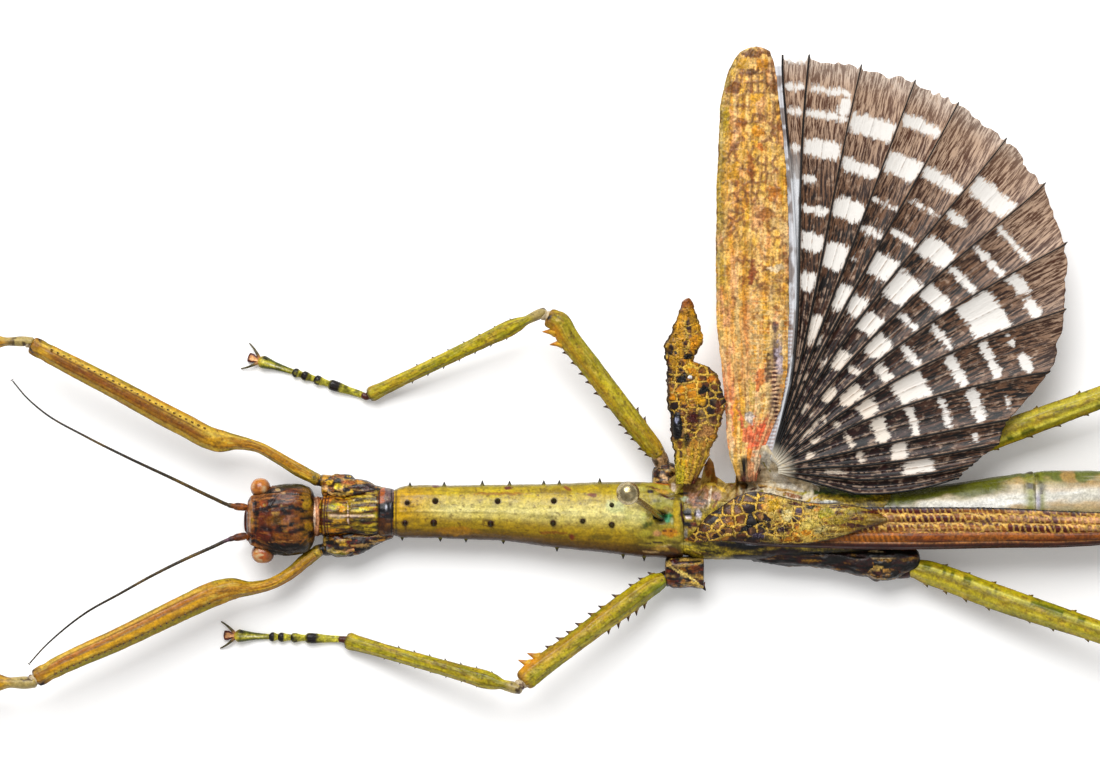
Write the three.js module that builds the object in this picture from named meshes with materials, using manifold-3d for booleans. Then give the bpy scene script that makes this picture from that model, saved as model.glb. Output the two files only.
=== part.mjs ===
// Giant winged stick insect, female, pinned and spread on its right side: a still, life-size model.
//
// Millimetres. +X runs to the tail, +Y to the insect's right, +Z up. The hind part of the thorax, the
// six feet and the cut end of the pin stand on the floor at z = 0. The working zero is on the thorax;
// the finished part is moved so that its zero lies under the middle of its bounding box.
import * as THREE from 'three';
import { mergeVertices } from 'three/addons/utils/BufferGeometryUtils.js';
import Module from 'manifold-3d';

// ---- driving sizes -------------------------------------------------------------------------
const GAP = 0.3;              // air between neighbouring pieces
const WING_THICK = 0.5;       // a wing is a film; this is the thinnest sheet that can be kept
const BODY_SIDES = 12;        // corners round a body ring
const LEG_SIDES = 8;          // corners round a leg ring
const ROUND = 2.3;            // body rings are a little squarer than an ellipse (2 = ellipse)

// Body rows: x, y, z of the axis, half width, rise to the back, drop to the belly.
const HEAD = [
  [-39.2, -1.0, 4.3, 1.9, 1.0, 0.8],
  [-38.4, -1.0, 4.4, 2.9, 1.9, 1.4],
  [-37.0, -0.9, 4.4, 3.5, 2.6, 1.7],
  [-35.2, -0.8, 4.4, 4.3, 3.0, 2.1],
  [-33.6, -0.7, 4.3, 4.6, 3.1, 2.6],
  [-32.0, -0.6, 4.2, 4.3, 2.9, 2.6],
  [-30.7, -0.5, 4.0, 3.5, 2.4, 2.2],
  [-29.9, -0.4, 3.9, 2.5, 1.7, 1.7],
];
const EYE_RADIUS = 1.3;
const EYE_RIGHT = [-37.2, 3.3, 4.9];
const EYE_LEFT = [-36.9, -5.1, 4.9];
const JAWS = { centre: [-37.6, -1.0, 1.5], size: [2.1, 1.9, 0.85] };
// Mouth feelers: x, distance from the middle, z, half width, half height.
const PALP = [[-38.6, 1.0, 1.3, 0.4, 0.35], [-40.2, 1.65, 1.0, 0.35, 0.3], [-41.4, 1.55, 0.7, 0.3, 0.25]];
const PROTHORAX = [
  [-29.5, -0.4, 3.8, 2.2, 1.8, 1.9],
  [-28.6, -0.3, 3.8, 2.5, 2.4, 2.3],
  [-26.4, -0.3, 3.7, 2.4, 2.2, 2.5],
  [-25.8, -0.2, 3.7, 2.5, 2.5, 2.5],
  [-24.2, -0.1, 3.7, 2.7, 2.6, 2.5],
  [-23.4, 0.0, 3.6, 3.6, 2.6, 2.6],
  [-21.8, 0.1, 3.6, 3.4, 2.6, 2.6],
  [-20.3, 0.1, 3.6, 3.1, 2.4, 2.4],
];
const MESOTHORAX = [
  [-20.0, 0.1, 3.6, 2.9, 2.4, 2.6],
  [-18.8, 0.2, 3.5, 3.3, 2.8, 3.0],
  [-13.0, 0.2, 3.4, 3.4, 2.8, 3.6],
  [-6.0, 0.1, 3.4, 3.6, 2.9, 3.6],
  [1.0, -0.3, 3.5, 4.1, 3.1, 3.7],
  [7.0, -0.5, 3.5, 4.5, 3.2, 3.8],
  [12.5, -0.8, 3.5, 4.8, 3.2, 3.9],
  [15.6, -0.9, 3.5, 4.8, 3.1, 3.9],
  [16.9, -0.9, 3.5, 4.5, 2.7, 3.6],
];
const METATHORAX = [
  [17.2, -0.9, 3.5, 4.4, 2.4, 3.6],
  [19.0, -1.0, 3.5, 4.8, 2.7, 3.9],
  [26.0, -1.0, 3.5, 4.9, 2.6, 3.9],
  [33.0, -1.1, 3.5, 4.7, 2.6, 3.9],
  [39.0, -1.1, 3.5, 4.2, 2.6, 3.9],
  [43.6, -0.8, 3.5, 3.9, 2.5, 3.4],
];
// Abdomen rings two to ten: where each begins and ends, and its half width at both ends.
const ABDOMEN = [
  { first: 43.9, last: 62.1, wide: [3.8, 4.1] },
  { first: 62.4, last: 78.8, wide: [4.1, 4.0] },
  { first: 79.1, last: 95.4, wide: [4.0, 3.8] },
  { first: 95.7, last: 112.1, wide: [3.8, 3.6] },
  { first: 112.4, last: 128.8, wide: [3.6, 3.4] },
  { first: 129.1, last: 140.3, wide: [3.4, 3.3] },
  { first: 140.6, last: 148.0, wide: [3.2, 2.9] },
  { first: 148.3, last: 154.4, wide: [2.8, 2.5] },
  { first: 154.7, last: 160.4, wide: [2.4, 1.5] },
];
// The abdomen's axis bends to the right between these two x.
const ABDOMEN_BEND = { from: 43, to: 66, y: -0.7, shift: 2.1 };
const ABDOMEN_AXIS_Z = 3.6;
const ABDOMEN_RISE = 0.74;    // rise of the back as a share of the half width
const ABDOMEN_FLOOR = 0.4;    // the belly of the abdomen hangs just clear of the floor
const EGG_SEGMENTS_FROM = 8;  // from this ring on the belly is hollowed for the egg plate
const EGG_SEGMENTS_FLOOR = 1.6;
// Egg plate: share of its length, share of its half width.
const OPERCULUM = { first: 141.5, last: 163.0, z: 0.75, wide: 1.9, high: 0.45 };
const OPERCULUM_OUTLINE = [[0, 0.85], [0.12, 1], [0.5, 1], [0.85, 0.7], [1, 0.25]];
const CERCUS = { length: 6.2, wide: 0.75, thick: 0.3, spread: 0.75, away: 0.55, z: 3.8, fall: 0.4 };
const CERCUS_OUTLINE = [[0, 0.6], [0.35, 0.95], [0.7, 0.9], [1, 0.36]];

// Antennae: x, y, z along the centre line. The thickness falls from root to tip.
const ANTENNA_ROOT = 0.62;
const ANTENNA_TIP = 0.27;
const ANTENNA_RIGHT = [
  [-39.8, 0.8, 4.7], [-41.2, 1.1, 4.9], [-43.2, 2.0, 5.2], [-48.3, 4.5, 6.0], [-53.8, 7.1, 6.5],
  [-59.4, 9.9, 6.5], [-65.0, 13.1, 6.0], [-67.2, 15.0, 5.7], [-69.0, 17.1, 5.4],
];
const ANTENNA_LEFT = [
  [-39.8, -2.8, 4.7], [-41.2, -3.3, 4.9], [-43.2, -4.2, 5.2], [-47.0, -5.9, 5.8], [-51.0, -7.9, 6.2],
  [-55.3, -10.3, 6.4], [-59.4, -12.6, 6.3], [-62.7, -15.1, 6.0], [-65.0, -17.2, 5.7],
  [-66.8, -19.2, 5.4],
];

// Legs. Each femur row is x, y, z, half width, half height. The knee, the ankle and the claws
// carry on from the end of the femur.
const FORE_RIGHT = {
  coxa: [-26.7, 3.85, 3.1], coxaSize: [2.4, 1.15, 1.9],
  femur: [
    [-29.9, 4.3, 3.2, 0.75, 1.1], [-32.4, 5.6, 3.5, 0.85, 1.15], [-35.0, 7.2, 3.9, 0.75, 1.05],
    [-37.4, 8.5, 4.2, 0.72, 1.0], [-40.1, 9.15, 4.5, 0.95, 1.15], [-42.7, 9.4, 4.8, 1.5, 1.3],
    [-47.3, 11.6, 5.3, 1.5, 1.3], [-55.8, 16.2, 6.3, 1.38, 1.3], [-64.0, 20.5, 7.2, 1.22, 1.2],
    [-66.1, 21.6, 7.3, 1.1, 1.1],
  ],
  outerTeeth: [], innerTeeth: [],
  tibiaHeading: 181, tibiaLength: 45, tibiaWide: 0.85, tarsusHeading: 183, tarsusLength: 14.5,
};
const FORE_LEFT = {
  coxa: [-26.5, -4.4, 3.1], coxaSize: [2.4, 1.25, 1.9],
  femur: [
    [-29.6, -4.7, 3.2, 0.75, 1.1], [-31.4, -6.0, 3.4, 0.88, 1.15], [-33.3, -7.6, 3.7, 0.8, 1.1],
    [-35.8, -9.0, 4.0, 0.76, 1.05], [-38.5, -9.6, 4.3, 0.92, 1.15], [-40.9, -9.65, 4.6, 1.45, 1.3],
    [-43.2, -10.3, 4.9, 1.66, 1.3], [-46.5, -11.8, 5.2, 1.62, 1.3], [-54.9, -15.85, 6.2, 1.48, 1.3],
    [-63.2, -19.6, 7.1, 1.28, 1.2], [-65.6, -20.9, 7.3, 1.15, 1.1],
  ],
  outerTeeth: [], innerTeeth: [],
  tibiaHeading: 180, tibiaLength: 45, tibiaWide: 1.05, tarsusHeading: 178, tarsusLength: 14.5,
};
const MID_RIGHT = {
  coxa: [15.2, 5.9, 3.0], coxaSize: [2.1, 1.5, 2.1],
  femur: [
    [13.9, 7.7, 3.4, 0.95, 1.2], [13.1, 8.7, 3.7, 1.25, 1.25], [10.3, 12.2, 4.7, 1.36, 1.4],
    [5.2, 18.9, 6.1, 1.38, 1.35], [2.2, 22.8, 6.8, 1.45, 1.3], [1.15, 24.55, 7.05, 1.45, 1.2],
    [-0.08, 25.16, 7.1, 1.15, 1.05],
  ],
  outerTeeth: [0.03, 0.08, 0.153, 0.2, 0.26, 0.39, 0.485, 0.566, 0.626, 0.704, 0.778, 0.842, 0.914],
  innerTeeth: [0.2, 0.27],
  tibiaHeading: 205.3, tibiaLength: 24.4, tibiaWide: 0.93, tarsusHeading: 161.5, tarsusLength: 16.1,
};
const MID_LEFT = {
  coxa: [17.0, -8.0, 3.0], coxaSize: [2.2, 1.6, 2.1],
  femur: [
    [14.5, -8.5, 3.4, 0.95, 1.2], [13.3, -9.1, 3.7, 1.35, 1.3], [9.8, -11.55, 4.6, 1.5, 1.4],
    [6.5, -13.9, 5.35, 1.43, 1.35], [3.05, -16.5, 6.0, 1.36, 1.3], [-0.25, -18.85, 6.6, 1.45, 1.3],
    [-2.7, -20.75, 7.0, 1.52, 1.2], [-3.31, -21.33, 7.1, 1.25, 1.1],
  ],
  outerTeeth: [0.17, 0.23, 0.29, 0.36, 0.43],
  innerTeeth: [0.043, 0.099, 0.166, 0.278, 0.384, 0.453, 0.547, 0.62, 0.688, 0.77, 0.858, 0.923],
  tibiaHeading: 165.3, tibiaLength: 22.6, tibiaWide: 1.05, tarsusHeading: 178, tarsusLength: 15.5,
};
const HIND_RIGHT = {
  coxa: [43.4, 4.9, 3.0], coxaSize: [3.0, 1.35, 2.2],
  femur: [
    [46.9, 6.0, 3.0, 1.2, 1.3], [49.2, 6.9, 3.2, 1.6, 1.5], [57.0, 9.9, 4.2, 1.68, 1.5],
    [69.0, 14.4, 6.4, 1.48, 1.4], [79.5, 18.4, 8.0, 1.25, 1.3], [82.6, 19.5, 8.2, 1.1, 1.1],
  ],
  outerTeeth: [0.3, 0.45, 0.6, 0.75, 0.88], innerTeeth: [0.28, 0.4, 0.5, 0.6, 0.7, 0.8, 0.9],
  tibiaHeading: 5, tibiaLength: 45, tibiaWide: 0.95, tarsusHeading: 8, tarsusLength: 14,
};
const HIND_LEFT = {
  coxa: [43.0, -7.3, 3.0], coxaSize: [3.1, 1.35, 2.2],
  femur: [
    [46.7, -7.0, 3.0, 1.2, 1.3], [49.0, -7.7, 3.2, 1.6, 1.5], [57.5, -10.8, 4.2, 1.7, 1.5],
    [69.5, -14.8, 6.4, 1.48, 1.4], [80.2, -18.4, 8.0, 1.25, 1.3], [83.3, -19.4, 8.2, 1.1, 1.1],
  ],
  outerTeeth: [0.1, 0.18, 0.27, 0.4, 0.55, 0.7, 0.85],
  innerTeeth: [0.06, 0.13, 0.2, 0.28, 0.42, 0.5, 0.62, 0.75, 0.88],
  tibiaHeading: -4, tibiaLength: 45, tibiaWide: 0.95, tarsusHeading: -7, tarsusLength: 14,
};
const TOOTH = { length: 0.65, radius: 0.3, lean: 0.6 };
// Shin and foot: share of the length, share of the half width.
const TIBIA_OUTLINE = [[0, 0.85], [0.06, 1.05], [0.3, 0.95], [0.7, 0.9], [0.96, 1.0], [1, 0.85]];
const TARSUS_SHARES = [0.36, 0.1, 0.1, 0.1, 0.34];       // lengths of the five joints of a foot
const TARSUS_HIGH = [0.75, 0.69, 0.66, 0.66, 0.63];      // and their half heights, mm
const ANKLE_Z = 0.93;         // height of the shin's axis where it meets the foot
const CLAW = { length: 2.3, radius: 0.32, spread: 48, high: 0.55 };

// Thorax prickles: along x, share of the half width (1 is the side), height, root radius.
const TUBERCLES = [
  [-18.3, 0.38, 0.6, 0.3], [-18.6, -0.42, 0.6, 0.3], [-14.7, 0.45, 0.8, 0.35], [-14.9, -0.41, 0.8, 0.35],
  [-6.7, 0.44, 0.8, 0.35], [-7.6, -0.39, 0.8, 0.35], [0.5, 0.49, 0.8, 0.35], [0.4, -0.22, 0.8, 0.35],
  [4.2, -0.11, 0.7, 0.32], [7.9, 0.38, 0.8, 0.35], [7.9, -0.18, 0.8, 0.35],
  [-18.0, 1, 0.6, 0.3], [-13.6, 1, 0.6, 0.3], [-8.7, 1, 0.7, 0.3], [-5.2, 1, 0.6, 0.3],
  [-0.8, 1, 0.6, 0.3], [1.2, 1, 0.6, 0.3], [6.4, 1, 0.7, 0.3],
  [-19.0, -1, 0.5, 0.3], [-14.1, -1, 0.5, 0.3], [-10.8, -1, 0.5, 0.3], [-6.0, -1, 0.5, 0.3],
  [0.9, -1, 0.6, 0.3], [9.4, -1, 0.7, 0.3], [12.1, -1, 0.7, 0.3],
];

const FLANK_PRICKLE_RISE = 0.8;   // the side prickles stand this far above the body's middle

// Right fore wing, a short leathery flap held out to the side: rows of front x, rear x, y, z.
const TEGMEN_RIGHT = [
  [16.2, 18.7, 3.9, 6.6], [16.1, 19.7, 6.4, 7.0], [15.4, 21.8, 10.9, 7.8], [15.2, 22.3, 13.0, 8.1],
  [15.1, 21.3, 17.6, 8.5], [14.9, 18.3, 19.8, 8.6], [14.6, 19.1, 21.3, 8.7], [15.6, 19.6, 23.2, 8.7],
  [16.9, 18.2, 25.6, 8.7], [17.3, 17.6, 27.4, 8.7],
];
// Left fore wing folded over the back: rows of x, right y, left y, height of its middle.
const TEGMEN_LEFT = [
  [18.4, -1.6, -3.1, 7.5], [20.5, 0.2, -3.0, 8.0], [24.4, 2.3, -2.9, 8.4], [28.0, 2.8, -2.9, 8.5],
  [33.0, 1.8, -2.5, 8.5], [38.5, 0.8, -1.8, 8.4], [42.2, -0.3, -1.1, 8.3],
];
// Stiff front part of the right hind wing: rows of front x, rear x, y, z.
const REMIGIUM = [
  [24.2, 26.4, 4.2, 6.5], [23.0, 27.1, 7.6, 6.8], [22.5, 29.2, 12.8, 7.0], [22.1, 30.2, 17.6, 7.2],
  [21.3, 30.5, 24.5, 7.6], [21.2, 30.5, 31.0, 7.9], [21.3, 30.3, 41.0, 8.2], [21.5, 29.9, 47.0, 8.3],
  [22.0, 29.2, 53.0, 8.4], [23.2, 28.6, 57.4, 8.4], [25.2, 27.7, 59.4, 8.4],
];
// Left hind wing folded lengthwise along the back: rows of x, right y, left y.
const FOLDED_WING = [
  [23.0, -1.2, -3.4], [27.0, 0.4, -4.0], [34.0, 0.8, -4.3], [46.0, 0.9, -4.5], [58.0, 0.8, -4.3],
  [66.0, 0.4, -4.2], [73.0, 0.1, -3.6], [77.5, -0.5, -2.6], [79.3, -1.2, -1.9],
];
const FOLDED_THICK = 0.7;
const FOLDED_Z = 7.1;         // height of the folded wing's middle sheet over the back
const FOLDED_DROP = 0.8;      // its free edge hangs this much lower

// Fan of the right hind wing. Each long vein runs out from the hinge: its heading at the margin and
// at the root (degrees from straight out, towards the tail), its length, and how late it bends.
const HINGE = [27.9, 5.6];
const FAN_ROOT = 4.2;         // where the fan starts, measured from the hinge
const FAN_ROOT_REACH = 11.5;  // where the root headings are taken
const VEINS = [
  { margin: 1.9, root: 13.0, length: 53.0, late: 1.5 },
  { margin: 5.6, root: 15.0, length: 53.1, late: 2.6 },
  { margin: 12.9, root: 17.2, length: 53.2, late: 2.4 },
  { margin: 20.6, root: 20.2, length: 53.2, late: 2.2 },
  { margin: 27.3, root: 23.3, length: 53.1, late: 1.9 },
  { margin: 35.6, root: 28.0, length: 52.4, late: 1.6 },
  { margin: 43.9, root: 35.0, length: 50.9, late: 1.4 },
  { margin: 52.6, root: 42.5, length: 48.1, late: 1.2 },
  { margin: 61.5, root: 52.0, length: 43.6, late: 1.1 },
  { margin: 70.6, root: 62.0, length: 38.6, late: 1.1 },
  { margin: 78.0, root: 77.0, length: 31.7, late: 1.1 },
  { margin: 83.4, root: 87.0, length: 30.0, late: 1.1 },
  { margin: 88.5, root: 96.0, length: 26.4, late: 1.1 },
  { margin: 92.5, root: 105.0, length: 24.6, late: 1.1 },
];
const FAN_NOTCH = 1.1;        // the margin falls back this far between two veins
const PLEAT = 0.22;           // veins stand this far above, and the folds between them below, the sheet
const FAN_ROOT_Z = 6.75;
const FAN_LIFT = 1.6;         // the front of the fan rises this much from its root to its margin
const FAN_STEPS = 7;          // rings from root to margin

// Insect pin: a ball-headed steel pin leaning back through the thorax, cut off at the floor.
const PIN_FOOT = [15.8, -1.6, 0.0];
const PIN_HEAD = [9.7, 3.1, 24.0];
const PIN_RADIUS = 0.4;
const PIN_BALL = 1.45;

// ---- shape tools ---------------------------------------------------------------------------
const kernel = await Module();
kernel.setup();

// A shape with only points and triangles, its doubled points joined.
function bare(geometry) {
  const copy = geometry.clone();
  for (const name of Object.keys(copy.attributes)) {
    if (name !== 'position') copy.deleteAttribute(name);
  }
  return mergeVertices(copy, 1e-4);
}

function toKernel(geometry) {
  const shape = bare(geometry);
  return new kernel.Manifold(new kernel.Mesh({
    numProp: 3,
    vertProperties: new Float32Array(shape.attributes.position.array),
    triVerts: new Uint32Array(shape.index.array),
  }));
}

function fromKernel(manifold) {
  const mesh = manifold.getMesh();
  const geometry = new THREE.BufferGeometry();
  geometry.setAttribute('position', new THREE.BufferAttribute(new Float32Array(mesh.vertProperties), 3));
  geometry.setIndex(new THREE.BufferAttribute(new Uint32Array(mesh.triVerts), 1));
  return geometry;
}

function join(geometries) {
  let whole = toKernel(geometries[0]);
  for (const extra of geometries.slice(1)) {
    whole = whole.add(toKernel(extra));
  }
  return fromKernel(whole);
}

function cut(geometry, tool) {
  return fromKernel(toKernel(geometry).subtract(toKernel(tool)));
}

function fromTriangles(points, triangles) {
  const geometry = new THREE.BufferGeometry();
  geometry.setAttribute('position', new THREE.Float32BufferAttribute(points.flat(), 3));
  geometry.setIndex(triangles.flat());
  return facingOut(geometry);
}

// Turns the triangles over if the closed shape is inside out.
function facingOut(geometry) {
  const p = geometry.attributes.position;
  const index = geometry.index.array;
  const a = new THREE.Vector3();
  const b = new THREE.Vector3();
  const c = new THREE.Vector3();
  let volume = 0;
  for (let i = 0; i < index.length; i += 3) {
    a.fromBufferAttribute(p, index[i]);
    b.fromBufferAttribute(p, index[i + 1]);
    c.fromBufferAttribute(p, index[i + 2]);
    volume += a.dot(b.cross(c));
  }
  if (volume < 0) {
    for (let i = 0; i < index.length; i += 3) {
      [index[i + 1], index[i + 2]] = [index[i + 2], index[i + 1]];
    }
  }
  return geometry;
}

// A closed skin over a row of rings, all with the same number of corners; flat caps at both ends.
function skin(rings) {
  const sides = rings[0].length;
  const points = rings.flat();
  const triangles = [];
  for (let r = 0; r < rings.length - 1; r += 1) {
    for (let s = 0; s < sides; s += 1) {
      const next = (s + 1) % sides;
      const a = r * sides + s;
      const b = r * sides + next;
      triangles.push([a, b, a + sides], [b, b + sides, a + sides]);
    }
  }
  const last = (rings.length - 1) * sides;
  for (let s = 1; s < sides - 1; s += 1) {
    triangles.push([0, s + 1, s], [last, last + s, last + s + 1]);
  }
  return fromTriangles(points, triangles);
}

// A ring round a station, square to the way the axis runs, never below the floor.
function ring(station, along, sides, round = 2) {
  const side = new THREE.Vector3(-along.y, along.x, 0).normalize();
  const up = new THREE.Vector3().crossVectors(along, side).normalize();
  const points = [];
  for (let s = 0; s < sides; s += 1) {
    const angle = ((s + 0.5) / sides) * 2 * Math.PI;
    const c = Math.cos(angle);
    const v = Math.sin(angle);
    const across = station.wide * Math.sign(c) * Math.abs(c) ** (2 / round);
    const high = (v > 0 ? station.rise : station.drop) * Math.sign(v) * Math.abs(v) ** (2 / round);
    points.push([
      station.at.x + side.x * across + up.x * high,
      station.at.y + side.y * across + up.y * high,
      Math.max(0, station.at.z + side.z * across + up.z * high),
    ]);
  }
  return points;
}

// A limb or body length swept along its stations.
function sweep(stations, sides, round = 2) {
  const rings = stations.map((station, i) => {
    const before = stations[Math.max(0, i - 1)].at;
    const after = stations[Math.min(stations.length - 1, i + 1)].at;
    const along = new THREE.Vector3().subVectors(after, before).normalize();
    return ring(station, along, sides, round);
  });
  return skin(rings);
}

function station(x, y, z, wide, rise, drop = rise) {
  return { at: new THREE.Vector3(x, y, z), wide, rise, drop };
}

// A length of the body: its rings all stand square to the floor and to the body's length.
function bodyLength(rows, sides = BODY_SIDES) {
  const backwards = new THREE.Vector3(1, 0, 0);
  return skin(rows.map((row) => ring(station(...row), backwards, sides, ROUND)));
}

function ball(centre, radii, across = 10, down = 7) {
  const geometry = new THREE.SphereGeometry(1, across, down);
  geometry.scale(...radii);
  geometry.translate(...centre);
  return geometry;
}

// A small pointed tooth standing on a surface.
function tooth(root, towards, length, radius) {
  const geometry = new THREE.ConeGeometry(radius, length * 1.5, 5);
  geometry.translate(0, length * 0.25, 0);
  const turn = new THREE.Quaternion().setFromUnitVectors(new THREE.Vector3(0, 1, 0), towards);
  geometry.applyQuaternion(turn);
  geometry.translate(root.x, root.y, root.z);
  return geometry;
}

// A thin bent sheet: grid[i][j] are points of its middle; thickness is taken up and down.
function sheet(grid, thick) {
  const rows = grid.length;
  const cols = grid[0].length;
  const points = [];
  for (const lift of [thick / 2, -thick / 2]) {
    for (const row of grid) {
      for (const [x, y, z] of row) points.push([x, y, z + lift]);
    }
  }
  const under = rows * cols;
  const triangles = [];
  const quad = (a, b, c, d) => triangles.push([a, b, c], [a, c, d]);
  for (let i = 0; i < rows - 1; i += 1) {
    for (let j = 0; j < cols - 1; j += 1) {
      const a = i * cols + j;
      quad(a, a + 1, a + cols + 1, a + cols);
      quad(under + a, under + a + cols, under + a + cols + 1, under + a + 1);
    }
  }
  for (let i = 0; i < rows - 1; i += 1) {
    const a = i * cols;
    const b = a + cols - 1;
    quad(a, a + cols, under + a + cols, under + a);
    quad(b + cols, b, under + b, under + b + cols);
  }
  for (let j = 0; j < cols - 1; j += 1) {
    const a = j;
    const b = (rows - 1) * cols + j;
    quad(a + 1, a, under + a, under + a + 1);
    quad(b, b + 1, under + b + 1, under + b);
  }
  return fromTriangles(points, triangles);
}

const part = new THREE.Group();
part.name = 'stick_insect';

function place(name, geometry, colour, roughness = 0.5, metalness = 0) {
  const material = new THREE.MeshStandardMaterial({ name, color: colour, roughness, metalness });
  const mesh = new THREE.Mesh(bare(geometry), material);
  mesh.name = name;
  part.add(mesh);
}

// ---- head ----------------------------------------------------------------------------------
let head = bodyLength(HEAD, 14);
for (const centre of [EYE_RIGHT, EYE_LEFT]) {
  const socket = EYE_RADIUS + GAP;
  head = cut(head, ball(centre, [socket, socket, socket], 12, 8));
}
place('head', head, 0x8a5a24);
place('eye_right', ball(EYE_RIGHT, [EYE_RADIUS, EYE_RADIUS, EYE_RADIUS], 12, 8), 0x7a4526, 0.25);
place('eye_left', ball(EYE_LEFT, [EYE_RADIUS, EYE_RADIUS, EYE_RADIUS], 12, 8), 0x7a4526, 0.25);

const mouth = [ball(JAWS.centre, JAWS.size, 12, 6)];
for (const hand of [1, -1]) {
  const feeler = PALP.map(([x, aside, z, wide, high]) => (
    station(x, JAWS.centre[1] + hand * aside, z, wide, high)
  ));
  mouth.push(sweep(feeler, 6));
}
place('mouthparts', join(mouth), 0x7b4a22);

function antenna(points) {
  const stations = points.map(([x, y, z], i) => {
    const along = i / (points.length - 1);
    const thick = i < 2 ? ANTENNA_ROOT : ANTENNA_ROOT * 0.62 * (1 - along) + ANTENNA_TIP * along;
    return station(x, y, z, thick, thick);
  });
  return sweep(stations, 7);
}
place('antenna_right', antenna(ANTENNA_RIGHT), 0x5d5638);
place('antenna_left', antenna(ANTENNA_LEFT), 0x5d5638);

// ---- thorax --------------------------------------------------------------------------------
place('prothorax', bodyLength(PROTHORAX), 0x9a8a2c);

// The body's half width, centre and back height at any x, read between two rows.
function rowAt(rows, x) {
  let i = 0;
  while (i < rows.length - 2 && rows[i + 1][0] < x) i += 1;
  const share = (x - rows[i][0]) / (rows[i + 1][0] - rows[i][0]);
  return rows[i].map((value, k) => value + (rows[i + 1][k] - value) * share);
}

const prickles = TUBERCLES.map(([x, across, height, radius]) => {
  const [, y, z, wide, rise] = rowAt(MESOTHORAX, x);
  const side = Math.max(-1, Math.min(1, across));
  const lift = (1 - Math.abs(side) ** ROUND) ** (1 / ROUND);
  const onFlank = lift === 0 ? FLANK_PRICKLE_RISE : 0;
  const root = new THREE.Vector3(x, y + wide * side * 0.97, z + rise * lift * 0.97 + onFlank);
  const towards = new THREE.Vector3(0, side * 0.9, lift + 0.15).normalize();
  return tooth(root, towards, height, radius);
});
const pinFoot = new THREE.Vector3(...PIN_FOOT);
const pinHead = new THREE.Vector3(...PIN_HEAD);
const pinAlong = new THREE.Vector3().subVectors(pinHead, pinFoot).normalize();

function leaningRod(radius, from, to, sides) {
  const length = from.distanceTo(to);
  const rod = new THREE.CylinderGeometry(radius, radius, length, sides);
  rod.applyQuaternion(new THREE.Quaternion().setFromUnitVectors(new THREE.Vector3(0, 1, 0), pinAlong));
  const middle = from.clone().add(to).multiplyScalar(0.5);
  rod.translate(middle.x, middle.y, middle.z);
  return rod;
}

const farBelow = pinFoot.clone().addScaledVector(pinAlong, -3);
const overTheBack = pinFoot.clone().addScaledVector(pinAlong, 12);
const bore = leaningRod(PIN_RADIUS + GAP, farBelow, overTheBack, 12);
place('mesothorax', cut(join([bodyLength(MESOTHORAX), ...prickles]), bore), 0xa39a2a);
place('metathorax', bodyLength(METATHORAX), 0x9a8c33);

// ---- abdomen -------------------------------------------------------------------------------
function abdomenAxis(x) {
  const share = THREE.MathUtils.smoothstep(x, ABDOMEN_BEND.from, ABDOMEN_BEND.to);
  return ABDOMEN_BEND.y + ABDOMEN_BEND.shift * share;
}

ABDOMEN.forEach(({ first, last, wide }, i) => {
  const number = i + 2;
  const shares = [0, 0.08, 0.5, 0.92, 1];
  const rows = shares.map((share) => {
    const x = first + (last - first) * share;
    const end = share === 0 || share === 1 ? 0.93 : 1;
    const half = (wide[0] + (wide[1] - wide[0]) * share) * end;
    const belly = number < EGG_SEGMENTS_FROM ? ABDOMEN_FLOOR : EGG_SEGMENTS_FLOOR;
    const drop = (ABDOMEN_AXIS_Z - belly) * end;
    return [x, abdomenAxis(x), ABDOMEN_AXIS_Z, half, half * ABDOMEN_RISE, drop];
  });
  place(`abdomen_${number}`, bodyLength(rows), 0x8f9a4a);
});

const eggPlate = OPERCULUM_OUTLINE.map(([share, wide]) => {
  const x = OPERCULUM.first + (OPERCULUM.last - OPERCULUM.first) * share;
  return station(x, abdomenAxis(x), OPERCULUM.z, OPERCULUM.wide * wide, OPERCULUM.high);
});
place('operculum', sweep(eggPlate, 10, 3), 0x7f7a3a);

for (const [name, hand] of [['cercus_right', 1], ['cercus_left', -1]]) {
  const root = ABDOMEN[ABDOMEN.length - 1].last + GAP;
  const leaf = CERCUS_OUTLINE.map(([share, wide]) => station(
    root + CERCUS.length * share,
    abdomenAxis(root) + hand * (CERCUS.spread + CERCUS.away * share),
    CERCUS.z - CERCUS.fall * share,
    CERCUS.wide * wide,
    CERCUS.thick,
  ));
  place(name, sweep(leaf, 8), 0x8c8436);
}

// ---- legs ----------------------------------------------------------------------------------
function heading(degrees) {
  const turn = THREE.MathUtils.degToRad(degrees);
  return new THREE.Vector3(Math.cos(turn), Math.sin(turn), 0);
}

// Point, half width and outward side of a femur at a share of its stations' length.
function femurAt(rows, share) {
  const points = rows.map(([x, y, z]) => new THREE.Vector3(x, y, z));
  const reach = [0];
  for (let i = 1; i < points.length; i += 1) {
    reach.push(reach[i - 1] + points[i].distanceTo(points[i - 1]));
  }
  const target = share * reach[reach.length - 1];
  let i = 0;
  while (i < rows.length - 2 && reach[i + 1] < target) i += 1;
  const between = (target - reach[i]) / (reach[i + 1] - reach[i]);
  const at = points[i].clone().lerp(points[i + 1], between);
  const along = points[i + 1].clone().sub(points[i]).normalize();
  const wide = rows[i][3] + (rows[i + 1][3] - rows[i][3]) * between;
  return { at, along, wide };
}

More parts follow.
